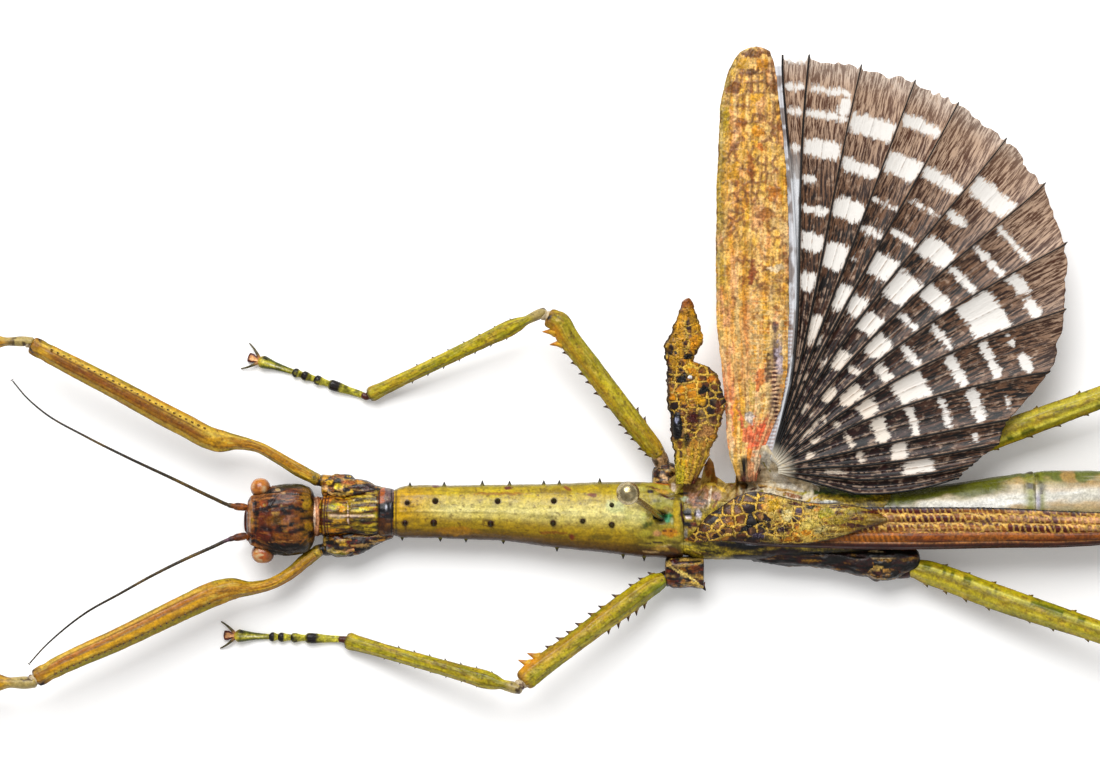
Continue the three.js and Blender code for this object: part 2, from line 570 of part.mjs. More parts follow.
function leg(name, spec) {
  const coxa = ball(spec.coxa, spec.coxaSize, 10, 6);
  place(`${name}_coxa`, coxa, 0x5d3b1a);

  const rows = spec.femur;
  const pieces = [sweep(rows.map(([x, y, z, wide, high]) => station(x, y, z, wide, high)), LEG_SIDES)];
  for (const [shares, hand] of [[spec.outerTeeth, 1], [spec.innerTeeth, -1]]) {
    for (const share of shares) {
      const { at, along, wide } = femurAt(rows, share);
      const side = new THREE.Vector3(-along.y, along.x, 0).normalize().multiplyScalar(hand);
      const lean = side.clone().addScaledVector(along, TOOTH.lean).normalize();
      pieces.push(tooth(at.clone().addScaledVector(side, wide * 0.88), lean, TOOTH.length, TOOTH.radius));
    }
  }
  place(`${name}_femur`, join(pieces), 0x9a9a1e);

  const knee = new THREE.Vector3(...rows[rows.length - 1].slice(0, 3));
  const before = new THREE.Vector3(...rows[rows.length - 2].slice(0, 3));
  const femurEnd = knee.clone().sub(before).normalize();
  const tibiaWay = heading(spec.tibiaHeading);
  const start = knee.clone().addScaledVector(femurEnd, GAP + spec.tibiaWide);
  const shin = (share) => start.clone()
    .addScaledVector(tibiaWay, spec.tibiaLength * share)
    .setZ(start.z + (ANKLE_Z - start.z) * share);
  const tibia = TIBIA_OUTLINE.map(([share, wide]) => {
    const p = shin(share);
    return station(p.x, p.y, p.z, spec.tibiaWide * wide, spec.tibiaWide * wide);
  });
  place(`${name}_tibia`, sweep(tibia, LEG_SIDES), 0x8f9120);

  const footWay = heading(spec.tarsusHeading);
  const ankle = shin(1).addScaledVector(tibiaWay, GAP + 0.25);
  const reach = spec.tarsusLength - CLAW.length * 0.7;
  const foot = [];
  let along = 0;
  TARSUS_SHARES.forEach((share, i) => {
    const last = i === TARSUS_SHARES.length - 1;
    for (const [local, swell] of [[0.06, 0.72], [0.75, 1], [0.97, last ? 1.25 : 0.95]]) {
      const s = (along + share * local) * reach;
      const high = TARSUS_HIGH[i] * swell;
      const p = ankle.clone().addScaledVector(footWay, s);
      foot.push(station(p.x, p.y, high * 0.8, high * 0.95, high * 0.9, high));
    }
    along += share;
  });
  const toe = ankle.clone().addScaledVector(footWay, reach * 0.985);
  const pads = [sweep(foot, 7)];
  for (const hand of [1, -1]) {
    const claw = [0, 0.5, 1].map((share) => {
      const turn = spec.tarsusHeading + hand * CLAW.spread * (1 - 0.45 * share);
      const p = toe.clone().addScaledVector(heading(turn), CLAW.length * share);
      const thick = CLAW.radius * (1 - 0.6 * share);
      return station(p.x, p.y, CLAW.high - 0.25 * share, thick, thick);
    });
    pads.push(sweep(claw, 5));
  }
  place(`${name}_tarsus`, join(pads), 0x8c8a3a);
}

leg('leg_fore_right', FORE_RIGHT);
leg('leg_fore_left', FORE_LEFT);
leg('leg_mid_right', MID_RIGHT);
leg('leg_mid_left', MID_LEFT);
leg('leg_hind_right', HIND_RIGHT);
leg('leg_hind_left', HIND_LEFT);

// ---- wings ---------------------------------------------------------------------------------
// A wing panel whose rows run out to the side; arch lifts its middle.
function sidePanel(rows, shares, arch) {
  return rows.map(([front, rear, y, z]) => shares.map((share) => {
    const bow = arch * (1 - (2 * share - 1) ** 2);
    return [front + (rear - front) * share, y, z + bow];
  }));
}

place('tegmen_right', sheet(sidePanel(TEGMEN_RIGHT, [0, 0.35, 0.7, 1], 0.45), WING_THICK), 0xa87f2c);
place('hind_wing_right_front', sheet(sidePanel(REMIGIUM, [0, 0.3, 0.6, 1], 0.3), WING_THICK), 0xc98f34);

const foldedTegmen = TEGMEN_LEFT.map(([x, right, left, z]) => [0, 0.33, 0.67, 1].map((share) => {
  const bow = 0.5 * (1 - (2 * share - 1) ** 2) - 0.35;
  return [x, right + (left - right) * share, z + bow];
}));
place('tegmen_left', sheet(foldedTegmen, WING_THICK), 0xa87f2c);

const foldedWing = FOLDED_WING.map(([x, right, left]) => [0, 0.3, 0.6, 1].map((share) => {
  const y = right + (left - right) * share;
  return [x, y, FOLDED_Z - FOLDED_DROP * share ** 3];
}));
place('hind_wing_left', sheet(foldedWing, FOLDED_THICK), 0xa06a2c);

// Where the fan lies: across is counted in veins (whole numbers on a vein, halves between two).
function fanPoint(across, out) {
  const i = Math.min(VEINS.length - 2, Math.floor(across));
  const share = across - i;
  const onVein = (vein) => {
    const reach = FAN_ROOT + (vein.length - FAN_ROOT) * out;
    const beyond = THREE.MathUtils.clamp((reach - FAN_ROOT_REACH) / (vein.length - FAN_ROOT_REACH), 0, 1);
    const turn = vein.margin + (vein.root - vein.margin) * (1 - beyond) ** vein.late;
    return [turn, reach];
  };
  const [turnA, reachA] = onVein(VEINS[i]);
  const [turnB, reachB] = onVein(VEINS[i + 1]);
  const sag = 4 * share * (1 - share);
  const turn = THREE.MathUtils.degToRad(turnA + (turnB - turnA) * share);
  const reach = reachA + (reachB - reachA) * share - FAN_NOTCH * sag * out ** 3;
  const pleat = PLEAT * (1 - 2 * sag) * Math.min(1, out * 3);
  const z = FAN_ROOT_Z + FAN_LIFT * out * Math.cos(turn * 0.8) + pleat;
  return [HINGE[0] + reach * Math.sin(turn), HINGE[1] + reach * Math.cos(turn), z];
}

const fan = [];
for (let ringStep = 0; ringStep <= FAN_STEPS; ringStep += 1) {
  const row = [];
  for (let half = 0; half <= 2 * (VEINS.length - 1); half += 1) {
    row.push(fanPoint(half / 2, ringStep / FAN_STEPS));
  }
  fan.push(row);
}
place('hind_wing_right_fan', sheet(fan, WING_THICK), 0x4a3226);

// ---- insect pin ----------------------------------------------------------------------------
const shaft = leaningRod(PIN_RADIUS, farBelow, pinHead, 12);
const bead = ball(PIN_HEAD, [PIN_BALL, PIN_BALL, PIN_BALL], 14, 10);
const floorBlock = new THREE.BoxGeometry(20, 20, 10);
floorBlock.translate(PIN_FOOT[0], PIN_FOOT[1], -5);
place('insect_pin', cut(join([shaft, bead]), floorBlock), 0xb9ae8e, 0.25, 1);

// ---- zero under the middle of the bounding box ----------------------------------------------
const bounds = new THREE.Box3().setFromObject(part);
const middle = bounds.getCenter(new THREE.Vector3());
for (const mesh of part.children) {
  mesh.geometry.translate(-middle.x, -middle.y, -bounds.min.z);
  mesh.geometry.computeVertexNormals();
}

export default part;
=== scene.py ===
# Looks of the giant winged stick insect: a pinned female with the right wings spread.
# Working units are millimetres, with the zero of the solids' source; made() turns them into metres.
import itertools

import bpy
import numpy as np
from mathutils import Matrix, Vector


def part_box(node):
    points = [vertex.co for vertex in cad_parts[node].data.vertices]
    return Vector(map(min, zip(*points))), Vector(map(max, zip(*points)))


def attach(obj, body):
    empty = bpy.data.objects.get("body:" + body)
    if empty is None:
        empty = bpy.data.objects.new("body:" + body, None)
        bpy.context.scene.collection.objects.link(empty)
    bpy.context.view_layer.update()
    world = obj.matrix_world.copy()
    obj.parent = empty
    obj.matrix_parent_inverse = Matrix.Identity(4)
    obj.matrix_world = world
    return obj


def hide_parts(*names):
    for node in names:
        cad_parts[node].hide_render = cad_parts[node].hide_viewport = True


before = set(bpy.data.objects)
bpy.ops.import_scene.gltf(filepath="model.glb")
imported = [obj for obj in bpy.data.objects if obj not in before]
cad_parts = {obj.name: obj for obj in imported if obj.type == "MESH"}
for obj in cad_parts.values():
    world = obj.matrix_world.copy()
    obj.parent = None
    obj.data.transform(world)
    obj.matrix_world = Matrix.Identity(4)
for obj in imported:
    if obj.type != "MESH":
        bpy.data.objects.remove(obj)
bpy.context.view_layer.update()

EYE_RIGHT = (-37.2, 3.3, 4.9)
EYE_LEFT = (-36.9, -5.1, 4.9)
eye_low, eye_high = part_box("eye_right")
MM = 1000              # millimetres in a metre
# What moves the working frame onto the solids' frame, from the middle of the right eye.
SHIFT = (np.array(eye_low) + np.array(eye_high)) / 2 * MM - np.array(EYE_RIGHT)
FINE = 1.0      # share of the full number of mesh rows; half while trying things


# ---- number tools --------------------------------------------------------------------------
STUDIO_LIGHT = 1.3     # how much brighter than white paper the lit floor is
SHINE = 0.034          # what a surface's shine adds to its paint


def rgb(red, green, blue):
    """The paint that looks like this screen colour, 0 to 255, under the studio light."""
    c = np.array([red, green, blue]) / 255
    linear = np.where(c <= 0.04045, c / 12.92, ((c + 0.055) / 1.055) ** 2.4)
    return np.maximum(linear - SHINE, linear * 0.1) / STUDIO_LIGHT


def ease(low, high, x):
    t = np.clip((x - low) / (high - low), 0, 1)
    return t * t * (3 - 2 * t)


def bump(x, middle, half):
    """1 at the middle, falling smoothly to 0 either side."""
    return np.exp(-(((x - middle) / half) ** 2))


def over(colour, layer, mask):
    return colour + (layer - colour) * np.clip(mask, 0, 1)[..., None]


def scatter(cell, seed):
    """A value from 0 to 1 that looks random, one for each whole-numbered cell."""
    n = cell[..., 0] * 73856093 ^ cell[..., 1] * 19349663 ^ cell[..., 2] * 83492791
    n = (n ^ (seed + 1) * 374761393) & 0xFFFFFFFF
    n = ((n ^ (n >> 15)) * 1597334677) & 0xFFFFFFFF
    n = ((n ^ (n >> 13)) * 1274126177) & 0xFFFFFFFF
    return ((n ^ (n >> 16)) & 0xFFFF) / 65535


def grain(points, size, seed=0, octaves=2):
    """Smooth noise from -1 to 1. Size is the width of its blotches, one number or one per axis."""
    total = 0.0
    for octave in range(octaves):
        q = points / np.asarray(size, float) * 2 ** octave
        cell = np.floor(q).astype(np.int64)
        f = q - cell
        f = f * f * (3 - 2 * f)
        value = 0.0
        for corner in itertools.product((0, 1), repeat=3):
            share = np.prod(np.where(np.array(corner) == 1, f, 1 - f), axis=-1)
            value = value + share * scatter(cell + np.array(corner), seed + octave)
        total = total + (value * 2 - 1) * 0.5 ** octave
    return total / 1.3


def cells(flat, size, seed=0):
    """Irregular cells over a flat pattern: distance to the nearest cell wall, and the cell's own value."""
    q = flat / np.asarray(size, float)
    home = np.floor(q).astype(np.int64)
    nearest = np.full(q.shape[:-1], 9.0)
    second = np.full(q.shape[:-1], 9.0)
    own = np.zeros(q.shape[:-1])
    for corner in itertools.product((-1, 0, 1), repeat=2):
        cell = home + np.array(corner)
        key = np.concatenate([cell, np.zeros_like(cell[..., :1])], axis=-1)
        seat = np.stack([scatter(key, seed), scatter(key, seed + 7)], axis=-1)
        away = np.linalg.norm(cell + 0.15 + 0.7 * seat - q, axis=-1)
        closer = away < nearest
        second = np.where(closer, nearest, np.minimum(second, away))
        own = np.where(closer, scatter(key, seed + 3), own)
        nearest = np.where(closer, away, nearest)
    return (second - nearest) / 2, own


def smooth_rows(rows, count):
    """Rows x, y, z and sizes, read finely: round curves for the places, no overshoot in the sizes."""
    rows = np.asarray(rows, float)
    step = np.linalg.norm(np.diff(rows[:, :3], axis=0), axis=1)
    reach = np.concatenate([[0], np.cumsum(step)])
    slope = np.diff(rows, axis=0) / step[:, None]
    tangent = np.empty_like(rows)
    tangent[0] = slope[0]
    tangent[-1] = slope[-1]
    before, after = slope[:-1], slope[1:]
    both = before + after
    even = np.where(before * after > 0, 2 * before * after / np.where(both == 0, 1, both), 0)
    tangent[1:-1] = even
    share = (step[:-1] / (step[:-1] + step[1:]))[:, None]
    tangent[1:-1, :3] = (before * (1 - share) + after * share)[:, :3]
    at = np.linspace(0, reach[-1], count)
    i = np.clip(np.searchsorted(reach, at, side="right") - 1, 0, len(step) - 1)
    h = step[i][:, None]
    t = ((at - reach[i]) / step[i])[:, None]
    return (
        rows[i] * (1 + 2 * t) * (1 - t) ** 2
        + rows[i + 1] * t * t * (3 - 2 * t)
        + h * tangent[i] * t * (1 - t) ** 2
        + h * tangent[i + 1] * t * t * (t - 1)
    )


# ---- mesh tools ----------------------------------------------------------------------------
class Shape:
    """Points and faces of one piece, with values that ride on its points."""

    def __init__(self):
        self.points = []
        self.faces = []
        self.marks = []
        self.count = 0

    def add(self, points, faces, **marks):
        points = points.reshape(-1, 3)
        for group in faces:
            self.faces += (np.asarray(group) + self.count).tolist()
        self.points.append(points)
        self.marks.append((len(points), {k: np.asarray(v, float) for k, v in marks.items()}))
        self.count += len(points)
        return self


def grid_faces(rows, cols, round_about):
    """Four-cornered faces over rows of points; the last column joins the first if it runs round."""
    number = np.arange(rows * cols).reshape(rows, cols)
    if round_about:
        number = np.concatenate([number, number[:, :1]], axis=1)
    a, b, c, d = number[:-1, :-1], number[:-1, 1:], number[1:, 1:], number[1:, :-1]
    return np.stack([a, b, c, d], axis=-1).reshape(-1, 4)


TOP_FINER = 0.4        # how much denser a tube's lengthwise lines are on top than at its sides, as a share
SIDES_KEPT = 0.7       # share of a tube's lengthwise lines that are made, to keep its triangles few


class Tube:
    """A closed surface swept along rows x, y, z, half width, rise and, if it differs, drop.

    Angle is 0 on the side to the left of the way the rows run, and a quarter turn on top.
    """

    def __init__(self, rows, count, sides, power=2.0, upright=False, ends=(0.0, 0.0)):
        count = max(8, int(count * FINE))
        sides = max(10, int(sides * SIDES_KEPT * (FINE + 1) / 2))
        line = smooth_rows(rows, count)
        if line.shape[1] == 5:
            line = np.concatenate([line, line[:, 4:5]], axis=1)
        way = np.gradient(line[:, :3], axis=0)
        way /= np.linalg.norm(way, axis=1)[:, None]
        if upright:
            way = np.tile([[1.0, 0, 0]], (count, 1))
        line, way = self.rounded(line, way, ends)
        side = np.stack([-way[:, 1], way[:, 0], 0 * way[:, 0]], axis=1)
        side /= np.linalg.norm(side, axis=1)[:, None]
        up = np.cross(way, side)
        circle = np.linspace(0, 2 * np.pi, 721)
        passed = (circle + TOP_FINER * (1 - np.cos(circle))) / (2 * np.pi)
        turn = np.interp(np.arange(sides) / sides, passed, circle)
        c, s = np.cos(turn), np.sin(turn)
        across = np.sign(c) * np.abs(c) ** (2 / power)
        lift = np.sign(s) * np.abs(s) ** (2 / power)
        high = np.where(s > 0, line[:, 4:5], line[:, 5:6])
        self.centre = line[:, None, :3]
        self.points = (
            self.centre
            + side[:, None] * (line[:, 3:4] * across)[..., None]
            + up[:, None] * (high * lift)[..., None]
        )
        away = self.points - self.centre
        self.out = away / np.maximum(np.linalg.norm(away, axis=-1), 1e-9)[..., None]
        self.angle = np.tile(np.degrees((turn + np.pi) % (2 * np.pi) - np.pi), (len(line), 1))
        reach = np.concatenate([[0], np.cumsum(np.linalg.norm(np.diff(line[:, :3], axis=0), axis=1))])
        self.along = np.tile(reach[:, None], (1, sides))
        self.share = self.along / reach[-1]
        self.x, self.y, self.z = np.moveaxis(self.points, -1, 0)

    @staticmethod
    def rounded(line, way, ends):
        """Adds the rings that close each end in a dome of the given length."""
        turn = np.radians([22, 42, 60, 75, 86])[:, None]
        for end, length in ((0, ends[0]), (-1, ends[1])):
            if length == 0:
                continue
            sign = -1 if end == 0 else 1
            dome = np.repeat(line[end][None], len(turn), axis=0)
            dome[:, :3] += sign * way[end] * length * np.sin(turn)
            dome[:, 3:] *= np.cos(turn)
            facing = np.repeat(way[end][None], len(turn), axis=0)
            if end == 0:
                line, way = np.concatenate([dome[::-1], line]), np.concatenate([facing, way])
            else:
                line, way = np.concatenate([line, dome]), np.concatenate([way, facing])
        return line, way

    def raise_by(self, height):
        """Moves the surface out by so many millimetres."""
        self.points = self.points + self.out * height[..., None]

    def to(self, shape, **marks):
        rows, cols = self.points.shape[:2]
        ends = np.stack([self.points[0].mean(axis=0), self.points[-1].mean(axis=0)])
        ring = np.arange(cols)
        beyond = np.roll(ring, -1)
        last = (rows - 1) * cols
        front = np.stack([0 * ring + rows * cols, beyond, ring], axis=-1)
        back = np.stack([0 * ring + rows * cols + 1, last + ring, last + beyond], axis=-1)
        whole = {}
        for name, value in marks.items():
            value = np.asarray(value, float)
            if value.shape[:2] != (rows, cols):
                value = np.broadcast_to(value, (rows, cols) + value.shape[-1:] * (value.ndim > 0))
            flat = value.reshape(rows * cols, *value.shape[2:])
            whole[name] = np.concatenate([flat, flat[:1], flat[-1:]])
        points = np.concatenate([self.points.reshape(-1, 3), ends])
        return shape.add(points, [grid_faces(rows, cols, True), front, back], **whole)


def sheet_to(shape, middle, thick, **marks):
    """A closed thin sheet over a grid of middle points; thick may differ from point to point."""
    rows, cols = middle.shape[:2]
    normal = np.cross(np.gradient(middle, axis=0), np.gradient(middle, axis=1))
    normal /= np.maximum(np.linalg.norm(normal, axis=-1), 1e-9)[..., None]
    normal *= np.where(normal[..., 2:] < 0, -1, 1)
    half = normal * (np.broadcast_to(thick, (rows, cols)) / 2)[..., None]
    top, under = grid_faces(rows, cols, False), grid_faces(rows, cols, False)[:, ::-1] + rows * cols
    number = np.arange(rows * cols).reshape(rows, cols)
    edge = np.concatenate([number[0, :-1], number[:-1, -1], number[-1, :0:-1], number[:0:-1, 0]])
    beyond = np.roll(edge, -1)
    rim = np.stack([beyond, edge, edge + rows * cols, beyond + rows * cols], axis=-1)
    a, b, c = middle[0, 0], middle[0, 1], middle[1, 0]
    if np.cross(b - a, c - a)[2] < 0:
        top, under, rim = top[:, ::-1], under[:, ::-1], rim[:, ::-1]
    points = np.concatenate([(middle + half).reshape(-1, 3), (middle - half).reshape(-1, 3)])
    twice = {}
    for name, value in marks.items():
        value = np.broadcast_to(value, (rows, cols) + np.shape(value)[2:])
        flat = value.reshape(rows * cols, *value.shape[2:])
        twice[name] = np.concatenate([flat, flat])
    return shape.add(points, [top, under, rim], **twice)


def made(name, shape, material, slot, *nodes):
    """The finished piece: its mesh in metres, its marks as attributes, riding on the root body."""
    points = (np.concatenate(shape.points) + SHIFT) / MM
    mesh = bpy.data.meshes.new(name)
    mesh.from_pydata(points.tolist(), [], shape.faces, shade_flat=False)
    names = sorted({key for _, marks in shape.marks for key in marks})
    for key in names:
        size = max(np.ndim(marks[key]) for _, marks in shape.marks if key in marks)
        columns = []
        for count, marks in shape.marks:
            value = marks.get(key, np.zeros((count, 3) if size == 2 else count))
            if size == 2:
                value = np.broadcast_to(value, (count, 3))
                value = np.concatenate([value, np.ones((count, 1))], axis=1)
            columns.append(np.broadcast_to(value, (count, 4) if size == 2 else (count,)))
        data = np.concatenate(columns).astype(np.float32).ravel()
        kind = "FLOAT_COLOR" if size == 2 else "FLOAT"
        attribute = mesh.attributes.new(key, kind, "POINT")
        attribute.data.foreach_set("color" if size == 2 else "value", data)
    mesh.materials.append(material)
    piece = bpy.data.objects.new(name, mesh)
    bpy.context.scene.collection.objects.link(piece)
    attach(piece, "root")
    if nodes:
        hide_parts(*nodes)
    return piece


# ---- materials -----------------------------------------------------------------------------
class Recipe:
    """A material and short ways to wire its nodes."""

    def __init__(self, name, rough, coat=0.0, metal=0.0):
        self.material = bpy.data.materials.new(name)
        self.material.use_nodes = True
        self.tree = self.material.node_tree
        self.shader = self.tree.nodes["Principled BSDF"]
        self.shader.inputs["Roughness"].default_value = rough
        self.shader.inputs["Metallic"].default_value = metal
        self.shader.inputs["Coat Weight"].default_value = coat
        self.shader.inputs["Coat Roughness"].default_value = 0.25
        self.shader.inputs["Specular IOR Level"].default_value = 0.27
        self.place = self.node("ShaderNodeTexCoord").outputs["Object"]

    def node(self, kind, **settings):
        node = self.tree.nodes.new(kind)
        for key, value in settings.items():
            setattr(node, key, value)
        return node

    def wire(self, socket, value):
        if isinstance(value, bpy.types.NodeSocket):
            self.tree.links.new(value, socket)
        elif isinstance(value, np.ndarray):
            socket.default_value = (*value, 1)[: len(socket.default_value)]
        else:
            socket.default_value = value

    def mark(self, name, colour=False):
        node = self.node("ShaderNodeAttribute", attribute_name=name)
        return node.outputs["Color" if colour else "Fac"]

    def noise(self, size, detail=3.0, place=None, rough=0.55):
        """Noise from 0 to 1 whose blotches are so many millimetres wide."""
        node = self.node("ShaderNodeTexNoise")
        self.wire(node.inputs["Vector"], place or self.place)
        node.inputs["Scale"].default_value = MM / size
        node.inputs["Detail"].default_value = detail
        node.inputs["Roughness"].default_value = rough
        return node.outputs["Fac"]

    def pits(self, size, feature="F1"):
        node = self.node("ShaderNodeTexVoronoi", feature=feature)
        self.wire(node.inputs["Vector"], self.place)
        node.inputs["Scale"].default_value = MM / size
        return node.outputs["Distance"]

    def fit(self, value, low, high, to_low=0.0, to_high=1.0):
        node = self.node("ShaderNodeMapRange", interpolation_type="SMOOTHSTEP")
        for socket, number in zip(node.inputs[:5], (value, low, high, to_low, to_high)):
            self.wire(socket, number)
        return node.outputs["Result"]

    def sum(self, kind, a, b):
        node = self.node("ShaderNodeMath", operation=kind)
        self.wire(node.inputs[0], a)
        self.wire(node.inputs[1], b)
        return node.outputs[0]

    def mix(self, share, a, b, kind="MIX"):
        node = self.node("ShaderNodeMix", data_type="RGBA", blend_type=kind)
        self.wire(node.inputs["Factor"], share)
        self.wire(node.inputs[6], a)
        self.wire(node.inputs[7], b)
        return node.outputs[2]

    def tint(self, colour, size, amount, place=None):
        """The colour made lighter and darker in blotches."""
        shade = self.fit(self.noise(size, place=place), 0.34, 0.66, 1 - amount, 1 + amount)
        node = self.node("ShaderNodeVectorMath", operation="SCALE")
        self.wire(node.inputs[0], colour)
        self.wire(node.inputs["Scale"], shade)
        return node.outputs[0]

    def relief(self, *layers):
        """Bumps, each a height from 0 to 1 and its depth in millimetres."""
        normal = None
        for height, depth in layers:
            node = self.node("ShaderNodeBump")
            node.inputs["Strength"].default_value = 1.0
            node.inputs["Distance"].default_value = depth / MM
            self.wire(node.inputs["Height"], height)
            if normal is not None:
                self.wire(node.inputs["Normal"], normal)
            normal = node.outputs["Normal"]
        self.wire(self.shader.inputs["Normal"], normal)

    def colour(self, value):
        self.wire(self.shader.inputs["Base Color"], value)


def chitin(name, rough=0.42, coat=0.12, mottle=0.42, pit=0.32, depth=0.05, dimple=0.35):
    """Insect shell: the painted colour, mottled, with fine pits and a thin shine."""
    recipe = Recipe(name, rough, coat)
    painted = recipe.tint(recipe.mark("paint", colour=True), 0.8, mottle)
    painted = recipe.tint(painted, 0.28, mottle)
    pits = recipe.fit(recipe.pits(pit), 0.0, 0.45)
    recipe.colour(recipe.mix(recipe.fit(pits, 0, 1, dimple, 0), painted, rgb(52, 30, 14)))
    gloss = recipe.fit(recipe.noise(0.9), 0.3, 0.7, rough - 0.1, rough + 0.12)
    recipe.wire(recipe.shader.inputs["Roughness"], gloss)
    recipe.relief((recipe.noise(0.4), depth), (pits, depth * 0.5))
    return recipe.material


# ---- colours shared by several pieces --------------------------------------------------------
BLACK = rgb(26, 16, 14)
DARK = rgb(58, 34, 18)
BROWN = rgb(112, 66, 28)
TAN = rgb(205, 160, 100)
YELLOW = rgb(214, 178, 58)
YELLOW_GREEN = rgb(178, 170, 42)
DARK_OLIVE = rgb(84, 76, 32)


def spots(colour, points, marks, rough=0.3, wander=0.15, seed=5):
    """Paints ragged marks: x, y, half length, half width, turn in degrees, and the colour."""
    x = points[..., 0] + wander * (grain(points, 0.9, seed + 1) + 0.4 * grain(points, 0.3, seed + 2))
    y = points[..., 1] + wander * (0.7 * grain(points, 0.8, seed + 3) + 0.3 * grain(points, 0.25, seed + 4))
    ragged = grain(points, 0.5, seed) * rough
    for mark_x, mark_y, long, wide, turn, layer in marks:
        c, s = np.cos(np.radians(turn)), np.sin(np.radians(turn))
        u = ((x - mark_x) * c + (y - mark_y) * s) / long
        v = ((y - mark_y) * c - (x - mark_x) * s) / wide
        colour = over(colour, layer, 1 - ease(0.65, 1.15, np.hypot(u, v) + ragged))
    return colour


def patchwork(points, size, seed, tones, line=0.1):
    """Ragged patches of a few tones with dark seams between them."""
    flat = np.stack([points[..., 0], points[..., 1] + 0.6 * points[..., 2]], axis=-1)
    flat = flat + 0.3 * np.stack([grain(points, 0.7, seed), grain(points, 0.7, seed + 1)], axis=-1)
    wall, own = cells(flat, size, seed + 2)
    colour = np.zeros(points.shape)
    for i, tone in enumerate(tones):
        colour = np.where((own * len(tones) >= i)[..., None], tone, colour)
    return over(colour, BLACK, 0.85 * ease(line, line * 0.3, wall * min(size)))


def plain(tube, colour):
    return np.broadcast_to(colour, tube.points.shape).copy()


def side_of(tube, rows):
    """Where a point lies across the body, from -1 on the left to 1 on the right."""
    rows = np.array(rows)
    middle = np.interp(tube.x, rows[:, 0], rows[:, 1])
    half = np.interp(tube.x, rows[:, 0], rows[:, 3])
    return (tube.y - middle) / half


# ---- head ----------------------------------------------------------------------------------
HEAD = [
    (-38.65, -0.9, 4.3, 2.85, 1.3, 0.9), (-38.3, -0.9, 4.4, 3.15, 2.0, 1.4),
    (-37.4, -0.9, 4.4, 3.4, 2.5, 1.6), (-36.4, -0.9, 4.4, 3.9, 2.8, 1.8),
    (-35.4, -0.8, 4.4, 4.4, 3.0, 2.1), (-33.6, -0.8, 4.3, 4.62, 3.1, 2.6),
    (-32.0, -0.7, 4.2, 4.5, 2.9, 2.6), (-31.1, -0.7, 4.0, 4.15, 2.6, 2.3),
    (-30.7, -0.6, 3.9, 3.7, 2.3, 2.1), (-30.4, -0.6, 3.9, 3.1, 1.9, 1.8),
]
EYE_RADIUS = 1.3
EYE_SINK = 0.3         # how far the eyes settle under the ridges along the top of the head
EYE_LONG = {"Eye_right": 1.0, "Eye_left": 1.14}
